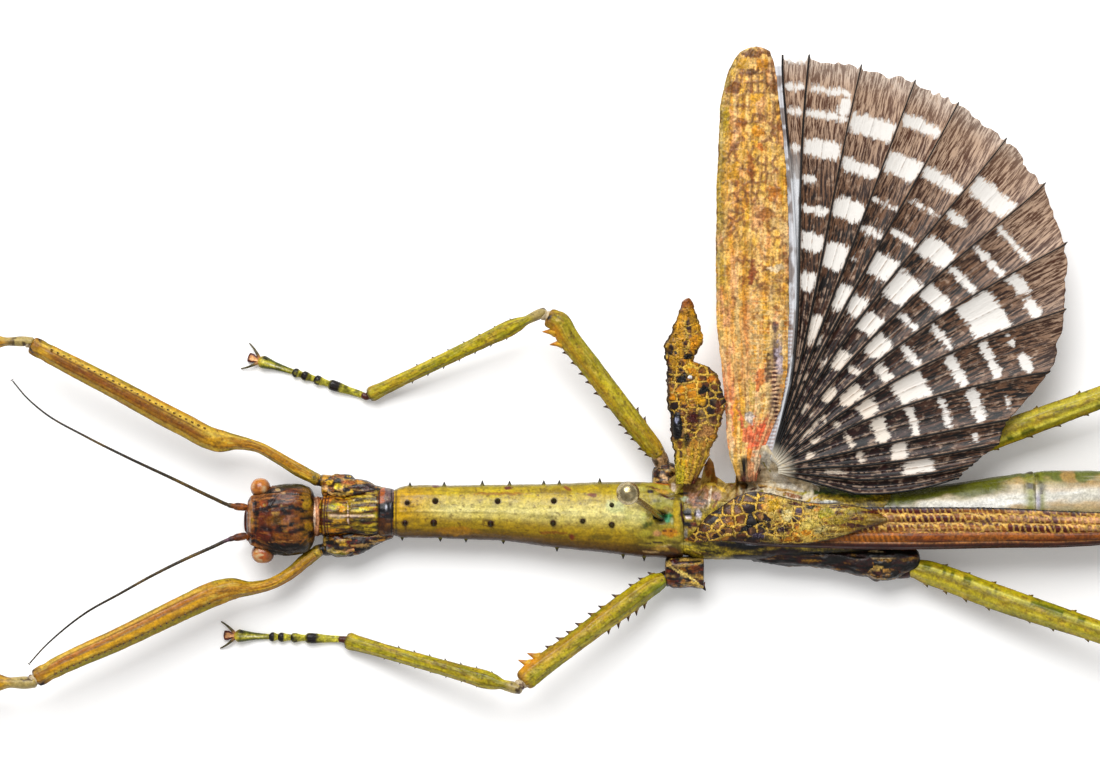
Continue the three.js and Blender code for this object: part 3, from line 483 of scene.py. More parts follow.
# The ridge that runs over each eye: x, y of its ends.
BROWS = [((-38.7, 2.0), (-33.0, 2.95)), ((-38.7, -3.75), (-33.0, -5.0))]
HEAD_DEPTH = np.array([0.7, 0.7, 0.52])      # how much of its red, green and blue the head's paint keeps
HEAD_MARKS = [
    (-38.43, -0.2, 0.4, 2.1, 0, rgb(200, 138, 94)), (-38.25, -0.8, 0.3, 0.4, 0, rgb(176, 136, 44)),
    (-38.35, 1.3, 0.3, 0.6, 0, rgb(214, 150, 110)), (-37.73, 1.42, 0.35, 0.4, 0, rgb(60, 40, 34)),
    (-37.5, 0.08, 0.4, 0.45, 0, rgb(54, 26, 26)), (-37.67, -1.6, 0.22, 1.1, 0, rgb(64, 36, 24)),
    (-36.68, 1.42, 0.6, 0.5, 0, rgb(172, 90, 42)), (-36.56, 1.19, 0.2, 0.18, 0, rgb(190, 142, 40)),
    (-36.9, -0.3, 0.5, 0.6, 0, rgb(122, 66, 36)), (-36.5, -2.66, 1.3, 0.7, 0, rgb(120, 64, 32)),
    (-35.34, 1.01, 0.8, 0.26, 0, rgb(50, 20, 20)), (-33.4, 0.9, 1.15, 0.36, 0, rgb(28, 22, 40)),
    (-34.05, 0.62, 0.5, 0.35, 0, rgb(34, 18, 32)), (-32.4, 0.72, 0.75, 0.32, -8, rgb(38, 30, 44)),
    (-34.29, 1.16, 0.16, 0.14, 0, rgb(180, 154, 114)), (-34.99, 0.14, 0.6, 0.22, 0, rgb(196, 150, 86)),
    (-33.3, -0.42, 0.9, 0.3, 10, rgb(178, 124, 108)), (-33.7, -0.8, 0.4, 0.2, 0, rgb(150, 100, 98)),
    (-34.99, -0.8, 0.75, 0.5, 0, rgb(140, 100, 32)), (-32.5, -0.91, 0.5, 0.24, 15, rgb(34, 26, 42)),
    (-33.94, -1.6, 0.65, 0.32, 10, rgb(30, 16, 20)), (-33.1, -1.3, 0.5, 0.25, 20, rgb(52, 30, 34)),
    (-31.43, 0.38, 0.55, 0.24, 0, rgb(28, 14, 12)), (-31.35, -0.62, 0.6, 0.3, 8, rgb(28, 14, 12)),
    (-31.84, -0.05, 0.95, 0.05, 0, rgb(196, 160, 146)), (-32.3, -1.5, 0.4, 0.2, 0, rgb(156, 110, 60)),
    (-33.9, -2.2, 0.45, 0.15, 0, rgb(116, 100, 48)), (-33.9, -2.66, 0.9, 0.16, 0, rgb(146, 94, 42)),
    (-34.3, -3.48, 1.8, 0.07, 5, rgb(200, 146, 96)), (-34.17, -3.94, 0.35, 0.16, 0, rgb(150, 78, 66)),
    (-30.95, -1.5, 0.6, 0.6, 0, rgb(190, 142, 28)), (-31.4, -3.2, 0.9, 0.14, 50, rgb(194, 120, 48)),
    (-31.1, 1.3, 0.55, 0.85, 0, rgb(210, 164, 60)), (-31.4, 2.24, 0.65, 0.45, 0, rgb(196, 144, 60)),
    (-36.3, 2.05, 1.9, 0.11, 6, rgb(200, 132, 86)), (-35.6, 2.8, 1.3, 0.2, 4, rgb(38, 24, 18)),
    (-34.9, 3.1, 0.3, 0.2, 0, rgb(226, 192, 150)), (-34.1, 2.73, 0.32, 0.13, 0, rgb(210, 168, 124)),
    (-33.47, 2.24, 1.8, 0.12, -3, rgb(146, 82, 46)), (-33.5, 1.86, 1.6, 0.08, -4, rgb(192, 128, 76)),
    (-32.5, 2.55, 1.7, 0.09, -8, rgb(56, 30, 20)), (-33.0, 1.45, 1.3, 0.12, 0, rgb(150, 90, 44)),
]


def brow_line(tube, outward):
    """1 along the ridges over the eyes, or along a line so far outside them."""
    line = 0.0
    for (x0, y0), (x1, y1) in BROWS:
        y = np.interp(tube.x, [x0, x1], [y0, y1]) + np.sign(y0) * outward
        line = line + bump(tube.y, y, 0.11)
    return line * ease(-38.8, -38.3, tube.x) * ease(-33.2, -34.6, tube.x)


def paint_head(tube):
    along_side = np.stack([tube.x, tube.angle / 9, tube.z * 0], axis=-1)
    lengthwise = grain(along_side, (1.6, 1.0, 1), 11, 3)
    colour = plain(tube, rgb(116, 66, 30))
    colour = over(colour, rgb(66, 30, 16), ease(-0.02, 0.3, lengthwise))
    colour = over(colour, rgb(164, 104, 44), ease(0.12, 0.42, -lengthwise) * 0.8)
    blotch = grain(tube.points, (1.5, 0.8, 3), 12, 3)
    shade = 0.35 + 0.25 * bump(tube.y, 0.3, 1.6) - 0.3 * bump(tube.x, -31.2, 1.2)
    colour = over(
        colour, rgb(40, 20, 20), ease(0.3, 0.0, shade - blotch * 0.8) * ease(-37.0, -35, tube.x) * 0.85,
    )
    colour = over(colour, rgb(150, 84, 40), ease(0.2, 0.5, -blotch) * 0.6)
    colour = over(colour, rgb(166, 124, 46), bump(tube.x, -31.0, 0.9) * ease(-0.2, 0.3, -blotch) * 0.8)
    colour = spots(colour, tube.points, HEAD_MARKS, 0.4, 0.08)
    colour = over(colour, rgb(206, 136, 88), brow_line(tube, 0.0) * 0.8)
    colour = over(colour, rgb(30, 18, 14), brow_line(tube, 0.3) * 0.9)
    hair_lines = grain(along_side, (1.3, 0.2, 1), 13, 2)
    colour = over(colour, colour * 0.35, ease(0.25, 0.5, hair_lines) * 0.75)
    colour = over(colour, rgb(206, 138, 78), ease(0.38, 0.6, -hair_lines) * 0.4)
    colour = over(colour, rgb(84, 76, 54), ease(3.1, 3.6, tube.y) * ease(-36, -34.6, tube.x))
    # Painted shade along the head's left side, behind its front end.
    shaded_low_side = ease(-3.4, -4.2, tube.y + grain(tube.points, 1.2, 3) * 0.3) * ease(-37, -35.8, tube.x)
    colour = over(colour, rgb(26, 13, 9), shaded_low_side * 0.92)
    # Painted shade on the head's underside.
    colour = over(colour, rgb(76, 40, 20), ease(3.6, 2.4, tube.z))
    colour = over(colour, rgb(50, 26, 18), ease(-38.75, -39.0, tube.x) * 0.85)
    return colour * HEAD_DEPTH


def build_head():
    tube = Tube(HEAD, 150, 180, power=2.9, upright=True, ends=(0.35, 0.25))
    x, y = tube.x, tube.y + 0.75
    top = ease(0.2, 0.9, np.sin(np.radians(tube.angle)))
    height = -0.16 * bump(y, 0, 0.22) * ease(-36.5, -35, x) * top
    height += 0.22 * (bump(y, 1.9, 1.1) + bump(y, -1.9, 1.1)) * bump(x, -32.4, 1.3) * top
    height += 0.14 * bump(x, -38.35, 0.28) * top - 0.14 * bump(x, -37.85, 0.16) * top
    height -= 0.1 * bump(x, -36.2 + 0.12 * y * y, 0.18) * top
    height += 0.05 * grain(np.stack([x, tube.angle / 7, 0 * x], axis=-1), (2.4, 1.0, 1), 4, 3)
    height += 0.03 * grain(tube.points, 0.3, 8)
    for centre in (EYE_RIGHT, EYE_LEFT):
        away = np.linalg.norm(tube.points - np.array(centre), axis=-1)
        height += 0.12 * bump(away, EYE_RADIUS + 0.25, 0.22)
    height += 0.16 * brow_line(tube, 0.0) - 0.12 * brow_line(tube, 0.3)
    tube.raise_by(height)
    shape = tube.to(Shape(), paint=paint_head(tube))
    for side in (1, -1):                      # the ring that each feeler stands in
        turn = np.linspace(0, 2 * np.pi, 40)[:, None]
        rows = np.concatenate([
            -38.75 + 0.12 * np.cos(turn), -1.0 + 1.8 * side + 0.55 * np.cos(turn),
            4.75 + 0.55 * np.sin(turn), 0.14 + 0 * turn, 0.14 + 0 * turn,
        ], axis=1)
        rim = Tube(rows, 60, 12)
        rim.to(shape, paint=plain(rim, rgb(136, 80, 44)))
    made("Head", shape, chitin("Head_shell", 0.36, 0.1, 0.24, dimple=0.25), "head_shell", "head")

    neck = Tube([
        (-31.2, -0.5, 3.9, 2.9, 2.0, 2.0), (-30.3, -0.4, 3.9, 2.6, 1.85, 1.9),
        (-29.7, -0.35, 3.8, 2.5, 1.95, 1.9), (-28.7, -0.3, 3.8, 2.45, 2.1, 2.0),
        (-27.6, -0.2, 3.7, 2.3, 2.0, 2.2),
    ], 80, 110, upright=True)
    neck.raise_by(0.05 * np.sin(neck.x * 9 + 0.6 * grain(neck.points, 1.5)) * ease(-31, -30, neck.x))
    bow = neck.x + 0.05 * (neck.y + 0.4) ** 2
    colour = plain(neck, rgb(166, 104, 66))
    colour = over(colour, rgb(236, 206, 178), bump(bow, -30.2, 0.16) * ease(-2.9, -1.6, neck.y))
    colour = over(colour, rgb(206, 150, 112), bump(bow, -29.75, 0.12))
    colour = over(colour, rgb(64, 30, 16), bump(bow, -29.2, 0.16) + bump(bow, -29.5, 0.05) * 0.8)
    shape = neck.to(Shape(), paint=colour)
    made("Neck_membrane", shape, chitin("Neck_skin", 0.5, 0.1, depth=0.03), "head_shell")


def build_eyes():
    recipe = Recipe("Eye_lens", 0.2, 0.6)
    facets = recipe.pits(0.085)
    colour = recipe.tint(recipe.mark("paint", colour=True), 0.5, 0.1)
    recipe.colour(recipe.mix(recipe.fit(facets, 0.15, 0.5, 0, 0.22), colour, rgb(90, 46, 18)))
    recipe.relief((recipe.fit(facets, 0, 0.5, 1, 0), 0.012))
    for name, node, centre, red in (
        ("Eye_right", "eye_right", EYE_RIGHT, 0.15), ("Eye_left", "eye_left", EYE_LEFT, 0.8),
    ):
        x, y, z = centre
        z -= EYE_SINK
        r = EYE_RADIUS
        half = r * (EYE_LONG[name] - 1) + 0.1
        dome = r - 0.1
        globe = Tube([(x - half, y, z, r * 0.99, r), (x + half, y, z, r * 0.99, r)], 9, 96, ends=(dome, dome))
        outward = 1 if y > 0 else -1
        off = np.hypot(globe.x - x, (globe.y - y) - 0.15 * outward) / r
        ragged = 0.16 * grain(globe.points, 0.6, 3, 3)
        blotch = grain(globe.points, 0.75, 2, 3)
        colour = plain(globe, rgb(232, 148, 70))
        colour = over(colour, rgb(196, 88, 44), red * ease(0.9, 0.1, off))
        # Pale cream patches on the lens: painted highlights.
        colour = over(colour, rgb(246, 214, 160), ease(0.02, 0.3, -blotch) * ease(0.95, 0.7, off))
        colour = over(colour, rgb(150, 84, 34), ease(0.1, 0.36, blotch) * 0.75)
        colour = over(colour, rgb(232, 160, 104), bump(off + ragged, 0.78, 0.08) * 0.7)
        colour = over(colour, rgb(112, 60, 30), ease(0.88, 1.02, off + ragged) * 0.8)
        # Painted shade on the inner side, where the head meets the eye.
        inner = ease(0.1, 0.8, -outward * (globe.y - y) / r) * ease(0.3, 0.7, off)
        colour = over(colour, rgb(60, 32, 20), inner * 0.85)
        rear = ease(0.2, 0.9, (globe.x - x) / r + ragged)
        colour = over(colour, rgb(116, 70, 38), rear * 0.55)
        made(name, globe.to(Shape(), paint=colour), recipe.material, "eye", node)


def build_mouth():
    shape = Shape()
    lip = Tube([
        (-39.15, -1.0, 2.9, 1.4, 0.3, 0.3), (-39.0, -1.0, 2.2, 1.6, 0.45, 0.45),
        (-38.7, -1.0, 1.5, 1.3, 0.5, 0.5), (-38.4, -1.0, 1.0, 0.7, 0.3, 0.3),
    ], 30, 40, power=2.6)
    # The lip darkens towards its bottom: painted shade on its underside.
    lip.to(shape, paint=over(plain(lip, rgb(96, 58, 30)), DARK, ease(1.5, 1.0, lip.z)))
    jaws = Tube([
        (-39.2, -1.0, 1.6, 1.2, 0.9, 0.6), (-38.2, -1.0, 1.6, 2.0, 1.6, 0.8),
        (-36.6, -1.0, 1.7, 2.1, 1.8, 0.9), (-35.2, -1.0, 2.0, 1.6, 1.6, 0.8),
    ], 50, 60, power=2.3, upright=True, ends=(0.3, 0.3))
    jaws.raise_by(-0.18 * bump(jaws.y, -1.0, 0.14) + 0.05 * grain(jaws.points, 0.5, 6))
    jaws.to(
        shape,
        paint=over(plain(jaws, rgb(104, 62, 30)), DARK, ease(0.1, 0.6, grain(jaws.points, 1.1, 9))),
    )
    for side in (1, -1):
        for aside, z, reach, thick in ((1.05, 1.2, 0.9, 0.34), (0.45, 0.9, 0.6, 0.27)):
            at = np.linspace(0, 1, 13)
            rows = [(
                -37.6 - reach * s, -1.0 + side * (aside + 0.62 * np.sin(2.4 * s)), z - 0.7 * s,
                thick * (1 - 0.3 * s) * (1 - 0.35 * abs(np.cos(3.9 * np.pi * s)) ** 8),
                thick * (1 - 0.3 * s) * (1 - 0.35 * abs(np.cos(3.9 * np.pi * s)) ** 8),
            ) for s in at]
            palp = Tube(rows, 60, 18, ends=(0.1, 0.2))
            ring = np.abs(np.cos(3.9 * np.pi * palp.share)) ** 8
            palp.to(shape, paint=over(plain(palp, rgb(150, 104, 56)), DARK, ring * 0.7))
    made("Mouthparts", shape, chitin("Mouth_shell", 0.4, 0.12), "mouthparts", "mouthparts")


# Feelers: x, y, z along the middle.
ANTENNA_RIGHT = [
    (-38.9, 0.8, 4.7), (-41.2, 1.1, 4.9), (-43.2, 2.0, 5.2), (-48.3, 4.5, 6.0), (-53.8, 7.1, 6.5),
    (-59.4, 9.9, 6.5), (-65.0, 13.1, 6.0), (-67.2, 15.0, 5.7), (-69.0, 17.1, 5.4),
]
ANTENNA_LEFT = [
    (-38.9, -2.8, 4.7), (-41.2, -3.3, 4.9), (-43.2, -4.2, 5.2), (-47.0, -5.9, 5.8), (-51.0, -7.9, 6.2),
    (-55.3, -10.3, 6.4), (-59.4, -12.6, 6.3), (-62.7, -15.1, 6.0), (-65.0, -17.2, 5.7), (-66.8, -19.2, 5.4),
]
SCAPE = 1.7            # length of the thick first joint
PEDICEL = 0.8          # and of the short second one


def build_antenna(name, node, places, warm):
    total = np.sum(np.linalg.norm(np.diff(np.array(places), axis=0), axis=1))
    tube = Tube([(*p, 0.3, 0.3) for p in places], 900, 14, ends=(0, 0.1))
    s = tube.along
    joint = (s - SCAPE - PEDICEL) / 0.62
    ring = np.abs(np.sin(np.pi * joint)) ** 0.5
    thick = 0.25 - 0.17 * s / total + 0.012 * ring
    thick = np.where(s < SCAPE + PEDICEL, 0.34 - 0.07 * bump(s, SCAPE + PEDICEL, 0.2), thick)
    thick = np.where(s < SCAPE, 0.5 - 0.1 * bump(s, SCAPE, 0.25) - 0.12 * bump(s, 0, 0.3), thick)
    tube.raise_by(thick - 0.3)
    tip = (s > total).astype(float)
    colour = plain(tube, rgb(74, 66, 50))
    colour = over(colour, rgb(48, 38, 34), 1 - ring)
    colour = over(colour, rgb(120, 96, 56), 0.5 * ease(0.1, 0.6, grain(tube.points, 3.0, 4)))
    colour = over(colour, rgb(44, 34, 30), ease(0.45, 1.0, tube.share) * 0.6)
    colour = over(colour, rgb(150, 90, 34), ease(SCAPE + 0.6, SCAPE, s))
    colour = over(
        colour, rgb(70, 38, 20), 0.8 * ease(0.1, 0.5, grain(tube.points, 0.7, 6)) * ease(2.6, 2.0, s),
    )
    colour = over(colour, rgb(96, 74, 84), bump(s, SCAPE + 0.9, 0.5) * (1 - warm))
    tube.raise_by(-0.1 * tip)
    made(name, tube.to(Shape(), paint=colour), chitin(name + "_shell", 0.5, 0.1), "antenna", node)


# ---- thorax --------------------------------------------------------------------------------
PROTHORAX = [
    (-29.6, -0.4, 3.8, 2.3, 1.9, 1.9), (-28.8, -0.3, 3.8, 2.6, 2.4, 2.3), (-26.4, -0.3, 3.7, 2.5, 2.3, 2.5),
    (-25.8, -0.2, 3.7, 2.5, 2.45, 2.5), (-24.2, -0.1, 3.7, 2.7, 2.6, 2.5), (-23.4, 0.0, 3.6, 3.2, 2.6, 2.6),
    (-21.8, 0.1, 3.6, 3.2, 2.6, 2.6), (-20.3, 0.1, 3.6, 3.05, 2.45, 2.5), (-19.9, 0.1, 3.6, 2.8, 2.2, 2.3),
]
# Side plates between the pronotum and the fore hips.
PLEURON_RIGHT = [
    (-29.0, 2.7, 3.3, 0.8, 1.2), (-27.6, 2.9, 3.3, 1.3, 1.5), (-25.2, 3.1, 3.3, 1.35, 1.6),
    (-23.6, 3.1, 3.3, 1.1, 1.6), (-22.3, 2.8, 3.3, 0.8, 1.5), (-20.8, 2.6, 3.4, 0.6, 1.3),
]
PLEURON_LEFT = [
    (-28.8, -3.1, 3.3, 0.9, 1.2), (-27.2, -3.5, 3.3, 1.6, 1.5), (-25.0, -3.7, 3.3, 1.7, 1.6),
    (-23.5, -3.4, 3.3, 1.4, 1.6), (-22.3, -3.0, 3.3, 1.0, 1.5), (-20.6, -2.7, 3.4, 0.65, 1.3),
]
PLEURON_TONES = {
    1: [rgb(186, 128, 56), rgb(120, 76, 34), rgb(206, 150, 90), rgb(84, 52, 26), rgb(150, 130, 60)],
    -1: [rgb(116, 68, 32), rgb(70, 40, 20), rgb(176, 124, 60), rgb(50, 28, 16), rgb(130, 62, 34)],
}
PRONOTUM_MARKS = [
    (-27.2, 0.85, 0.9, 0.65, 0, rgb(206, 182, 52)), (-27.8, 1.0, 0.6, 0.5, 0, YELLOW_GREEN),
    (-26.8, 0.6, 0.7, 0.45, 0, rgb(220, 150, 44)), (-26.4, 1.3, 0.35, 0.2, 30, BROWN),
    (-27.0, -1.1, 1.0, 0.6, 0, rgb(188, 142, 40)), (-27.9, 1.6, 0.5, 0.3, 0, rgb(150, 120, 40)),
    (-25.9, -0.1, 0.16, 1.3, 2, rgb(232, 200, 176)), (-24.3, 0.62, 0.9, 0.22, 2, rgb(206, 200, 60)),
    (-23.6, 1.9, 1.6, 0.35, 4, rgb(158, 132, 46)), (-23.3, 1.25, 1.3, 0.2, 0, rgb(112, 80, 48)),
    (-23.0, 0.85, 1.7, 0.14, 0, YELLOW), (-24.0, 0.35, 1.2, 0.12, 2, DARK),
    (-23.2, -0.2, 1.6, 0.3, 2, YELLOW_GREEN), (-23.9, -0.75, 1.5, 0.35, 0, rgb(140, 124, 34)),
    (-22.8, -1.2, 1.6, 0.28, -4, rgb(92, 62, 28)), (-22.5, -1.7, 1.2, 0.22, 0, rgb(170, 150, 60)),
    (-23.8, -1.8, 1.6, 0.3, 0, rgb(132, 112, 30)), (-23.0, -2.5, 2.2, 0.3, 2, rgb(58, 34, 18)),
    (-24.4, -2.65, 1.0, 0.12, 0, rgb(206, 168, 130)), (-22.0, 1.6, 0.4, 0.25, 0, rgb(210, 196, 160)),
    (-24.8, 1.9, 0.7, 0.12, 14, rgb(206, 180, 130)), (-22.3, 0.62, 0.35, 0.28, 0, rgb(180, 110, 36)),
    (-27.6, -2.3, 1.3, 0.4, -12, rgb(222, 148, 50)), (-28.6, 1.9, 0.6, 0.8, -20, rgb(206, 130, 44)),
]


def paint_prothorax(tube):
    x, y = tube.x, tube.y
    lengthwise = grain(np.stack([x, y, tube.z * 0], axis=-1), (1.8, 0.5, 1), 21, 3)
    colour = plain(tube, rgb(150, 122, 42))
    colour = over(colour, rgb(98, 66, 28), ease(0.0, 0.45, lengthwise))
    colour = over(colour, rgb(196, 168, 60), ease(0.1, 0.5, -lengthwise) * 0.8)
    colour = over(colour, rgb(206, 134, 48), ease(1.5, 2.3, np.abs(y + 0.2)) * ease(-25.4, -26.6, x) * 0.8)
    colour = spots(colour, tube.points, PRONOTUM_MARKS, 0.35, 0.12)
    threads = grain(tube.points, (1.3, 0.2, 2), 23, 2)
    colour = over(colour, rgb(46, 28, 12), ease(0.2, 0.5, threads) * 0.8)
    colour = over(colour, rgb(232, 200, 70), ease(0.2, 0.55, -threads) * 0.6)
    blots = grain(tube.points, (0.8, 0.35, 2), 29, 3)
    colour = over(colour, rgb(52, 32, 14), ease(0.25, 0.5, blots) * 0.8)
    middle = (
        bump(y, -0.2 + 0.1 * grain(tube.points, 1.5), 0.13)
        * ease(-28.6, -28.2, x) * ease(-22.2, -22.8, x)
    )
    colour = over(colour, rgb(96, 70, 34), 0.8 * bump(np.abs(y + 0.2), 0.3, 0.1) * ease(-22.4, -23, x))
    colour = over(colour, rgb(226, 192, 160), middle)
    for place, half in ((-29.35, 0.12), (-28.95, 0.1), (-28.6, 0.09)):
        colour = over(colour, rgb(84, 40, 18), bump(x, place + 0.03 * (y + 0.4) ** 2, half))
    edge_y = np.interp(x, [-28.6, -26.3, -22.4, -21.5], [2.5, 2.2, 3.1, 3.2])
    colour = over(colour, rgb(48, 26, 14), bump(y, edge_y, 0.15))
    low_y = np.interp(x, [-28.6, -26.3, -22.4, -21.5], [-2.6, -2.3, -2.9, -3.1])
    colour = over(colour, rgb(38, 22, 12), bump(y, low_y, 0.2))
    band = ease(-22.25, -21.95, x)
    wavy = 0.25 * grain(tube.points, (0.8, 0.5, 1), 30, 3)
    rear = over(plain(tube, rgb(176, 96, 48)), rgb(118, 96, 96), ease(-21.3, -21.05, x + wavy))
    rear = over(rear, rgb(150, 128, 110), ease(0.1, 0.5, wavy * 4) * ease(-21.3, -21.0, x))
    rear = over(rear, rgb(20, 16, 44), ease(1.75, 1.3, y + wavy) * ease(-0.9, -0.4, y))
    rear = over(rear, rgb(84, 62, 26), ease(-0.35, -0.8, y + wavy))
    rear = over(rear, rgb(132, 92, 40), ease(-0.8, -1.2, y) * ease(0.0, 0.4, wavy * 4) * 0.7)
    # Two painted highlights on the blue-black band.
    rear = over(rear, rgb(240, 240, 250), bump(x, -21.0, 0.12) * bump(y, 0.85, 0.26))
    rear = over(rear, rgb(190, 190, 214), bump(x, -20.4, 0.08) * bump(y, 0.95, 0.2))
    rear = over(rear, rgb(110, 66, 52), bump(y + wavy, -0.05, 0.07) * bump(x, -21.1, 0.5))
    rear = over(
        rear, rgb(24, 14, 12), bump(x, -21.95, 0.14) * ease(-0.2, 0.4, y + wavy) + bump(x, -20.35, 0.1),
    )
    colour = over(colour, rear, band)
    # Painted shade on the underside.
    return over(colour, rgb(96, 62, 30), ease(3.6, 2.6, tube.z))


def build_prothorax():
    tube = Tube(PROTHORAX, 170, 150, power=2.3, upright=True, ends=(0.1, 0.1))
    x, y = tube.x, tube.y + 0.1
    top = ease(0.1, 0.7, np.sin(np.radians(tube.angle)))
    height = -0.14 * bump(y, 0, 0.12) * ease(-28.6, -28, x) * ease(-22, -22.8, x) * top
    height -= 0.28 * bump(x, -25.95, 0.2) * ease(1.9, 1.3, np.abs(y)) * top
    height += 0.2 * (bump(y, 1.0, 0.5) + bump(y, -1.0, 0.5)) * bump(x, -27.2, 0.8) * top
    height += 0.12 * bump(x, -29.15, 0.14) - 0.1 * bump(x, -28.8, 0.1)
    height += 0.12 * bump(np.abs(y), 2.35, 0.15) * ease(-22.2, -23, x) * top
    height -= 0.2 * bump(x, -22.05, 0.14)
    height += 0.05 * bump(x, -21.1, 0.5) * ease(-22, -21.6, x)
    height += 0.07 * grain(np.stack([x, y, 0 * x], axis=-1), (1.6, 0.4, 1), 21, 3) * top
    height += 0.03 * grain(tube.points, 0.35, 9)
    tube.raise_by(height)
    shape = tube.to(Shape(), paint=paint_prothorax(tube))
    for hand, rows in ((1, PLEURON_RIGHT), (-1, PLEURON_LEFT)):
        plate = Tube(rows, 130, 60, power=2.2, upright=True, ends=(0.3, 0.5))
        plate.raise_by(
            0.12 * grain(plate.points, (1.6, 0.35, 0.6), 24, 3) + 0.06 * grain(plate.points, 0.5, 25)
        )
        lines = grain(plate.points, (2.2, 0.22, 0.7), 26, 3)
        colour = patchwork(plate.points, (1.5, 0.5), 26, PLEURON_TONES[hand])
        colour = over(colour, rgb(36, 20, 12), ease(0.05, 0.35, -lines) * 0.85)
        colour = over(colour, rgb(214, 172, 104), ease(0.2, 0.45, lines) * 0.6)
        # Painted shade where the plate turns down at its sides and underside, and over its low part.
        colour = over(colour, rgb(26, 14, 10), ease(0.55, 0.15, np.sin(np.radians(plate.angle))) * 0.85)
        plate.to(shape, paint=over(colour, rgb(70, 40, 20), ease(3.2, 2.2, plate.z)))
    made("Prothorax", shape, chitin("Prothorax_shell", 0.4, 0.18, 0.26), "prothorax_shell", "prothorax")


MESOTHORAX = [
    (-20.35, 0.1, 3.6, 2.6, 2.1, 2.3), (-19.9, 0.1, 3.6, 2.95, 2.4, 2.6), (-18.8, 0.2, 3.5, 3.3, 2.8, 3.0),
    (-13.0, 0.2, 3.4, 3.4, 2.8, 3.4), (-6.0, 0.1, 3.4, 3.6, 2.9, 3.4), (1.0, -0.3, 3.5, 4.1, 3.1, 3.5),
    (7.0, -0.5, 3.5, 4.5, 3.2, 3.5), (12.5, -0.8, 3.5, 4.8, 3.2, 3.5), (15.6, -0.9, 3.5, 4.8, 3.1, 3.5),
    (17.1, -0.9, 3.5, 4.6, 2.7, 3.4),
]
# Prickles: along x, share of the half width (1 is the side), height, root radius.
TUBERCLES = [
    (-18.3, 0.38, 0.6, 0.3), (-18.6, -0.42, 0.6, 0.3), (-14.7, 0.45, 0.8, 0.35), (-14.9, -0.41, 0.8, 0.35),
    (-6.7, 0.44, 0.8, 0.35), (-7.6, -0.39, 0.8, 0.35), (0.5, 0.49, 0.8, 0.35), (0.4, -0.22, 0.8, 0.35),
    (4.2, -0.11, 0.7, 0.32), (7.9, 0.38, 0.8, 0.35), (7.9, -0.18, 0.8, 0.35),
    (-18.0, 1, 0.6, 0.3), (-13.6, 1, 0.6, 0.3), (-8.7, 1, 0.7, 0.3), (-5.2, 1, 0.6, 0.3),
    (-0.8, 1, 0.6, 0.3), (1.2, 1, 0.6, 0.3), (6.4, 1, 0.7, 0.3),
    (-19.0, -1, 0.5, 0.3), (-14.1, -1, 0.5, 0.3), (-10.8, -1, 0.5, 0.3), (-6.0, -1, 0.5, 0.3),
    (0.9, -1, 0.6, 0.3), (9.4, -1, 0.7, 0.3), (12.1, -1, 0.7, 0.3),
]
FLANK_PRICKLE_RISE = 0.8
METATHORAX = [
    (16.6, -0.9, 3.5, 4.3, 2.4, 3.3), (17.6, -0.9, 3.5, 4.5, 2.5, 3.4), (19.0, -1.0, 3.5, 4.8, 2.7, 3.5),
    (26.0, -1.0, 3.5, 4.9, 2.6, 3.5), (33.0, -1.1, 3.5, 4.7, 2.6, 3.5), (39.0, -1.1, 3.5, 4.2, 2.6, 3.5),
    (43.6, -0.8, 3.5, 3.9, 2.5, 3.2), (44.6, -0.8, 3.5, 3.6, 2.3, 3.0),
]
# Lower left side of the metathorax, down to the hind hip.
FLANK_LEFT = [
    (24.5, -4.6, 3.3, 1.0, 1.4), (27.5, -4.9, 3.2, 1.5, 1.6), (30.5, -5.2, 3.2, 1.55, 1.7),
    (34.0, -5.4, 3.2, 1.5, 1.7), (37.5, -5.8, 3.1, 1.7, 1.8), (41.0, -6.2, 3.1, 2.0, 2.0),
    (44.5, -6.2, 3.1, 2.0, 2.0), (46.8, -6.0, 3.1, 1.5, 1.8),
]
PIN_FOOT = np.array([15.8, -1.6, 0.0])
PIN_HEAD = np.array([9.7, 3.1, 24.0])
PIN_RADIUS = 0.4
PIN_BALL = 1.45


def prickle(shape, root, towards, height, radius, skin, tip=BLACK):
    """A tapering thorn: a wide foot in the colour of the skin and a dark point."""
    root, towards = np.array(root, float), np.array(towards, float)
    towards /= np.linalg.norm(towards)
    aside = np.cross(towards, [0, 0, 1.0])
    aside /= max(np.linalg.norm(aside), 1e-6)
    up = np.cross(towards, aside)
    share = np.array([-0.25, 0.0, 0.15, 0.35, 0.6, 0.85, 1.0])
    thick = radius * np.array([1.5, 1.2, 0.9, 0.66, 0.45, 0.25, 0.08])
    turn = np.arange(12) / 12 * 2 * np.pi
    ring = aside * np.cos(turn)[:, None] + up * np.sin(turn)[:, None]
    points = root + towards * (share * height)[:, None, None] + ring[None] * thick[:, None, None]
    number = len(share) * 12
    last = np.arange(12) + number - 12
    cap = np.stack([0 * last + number, last, np.roll(last, -1)], axis=-1)
    first = np.arange(12)
    foot = np.stack([0 * first + number + 1, np.roll(first, -1), first], axis=-1)
    colour = over(np.broadcast_to(skin, points.shape), tip, ease(0.1, 0.55, share)[:, None] + 0 * turn)
    ends = [root + towards * height * 1.03, root - towards * height * 0.25]
    points = np.concatenate([points.reshape(-1, 3), ends])
    colour = np.concatenate([colour.reshape(-1, 3), tip[None], np.reshape(skin, (1, 3))])
    shape.add(points, [grid_faces(len(share), 12, True), cap, foot], paint=colour)


def row_at(rows, x):
    rows = np.array(rows)
    return [np.interp(x, rows[:, 0], rows[:, k]) for k in range(1, rows.shape[1])]


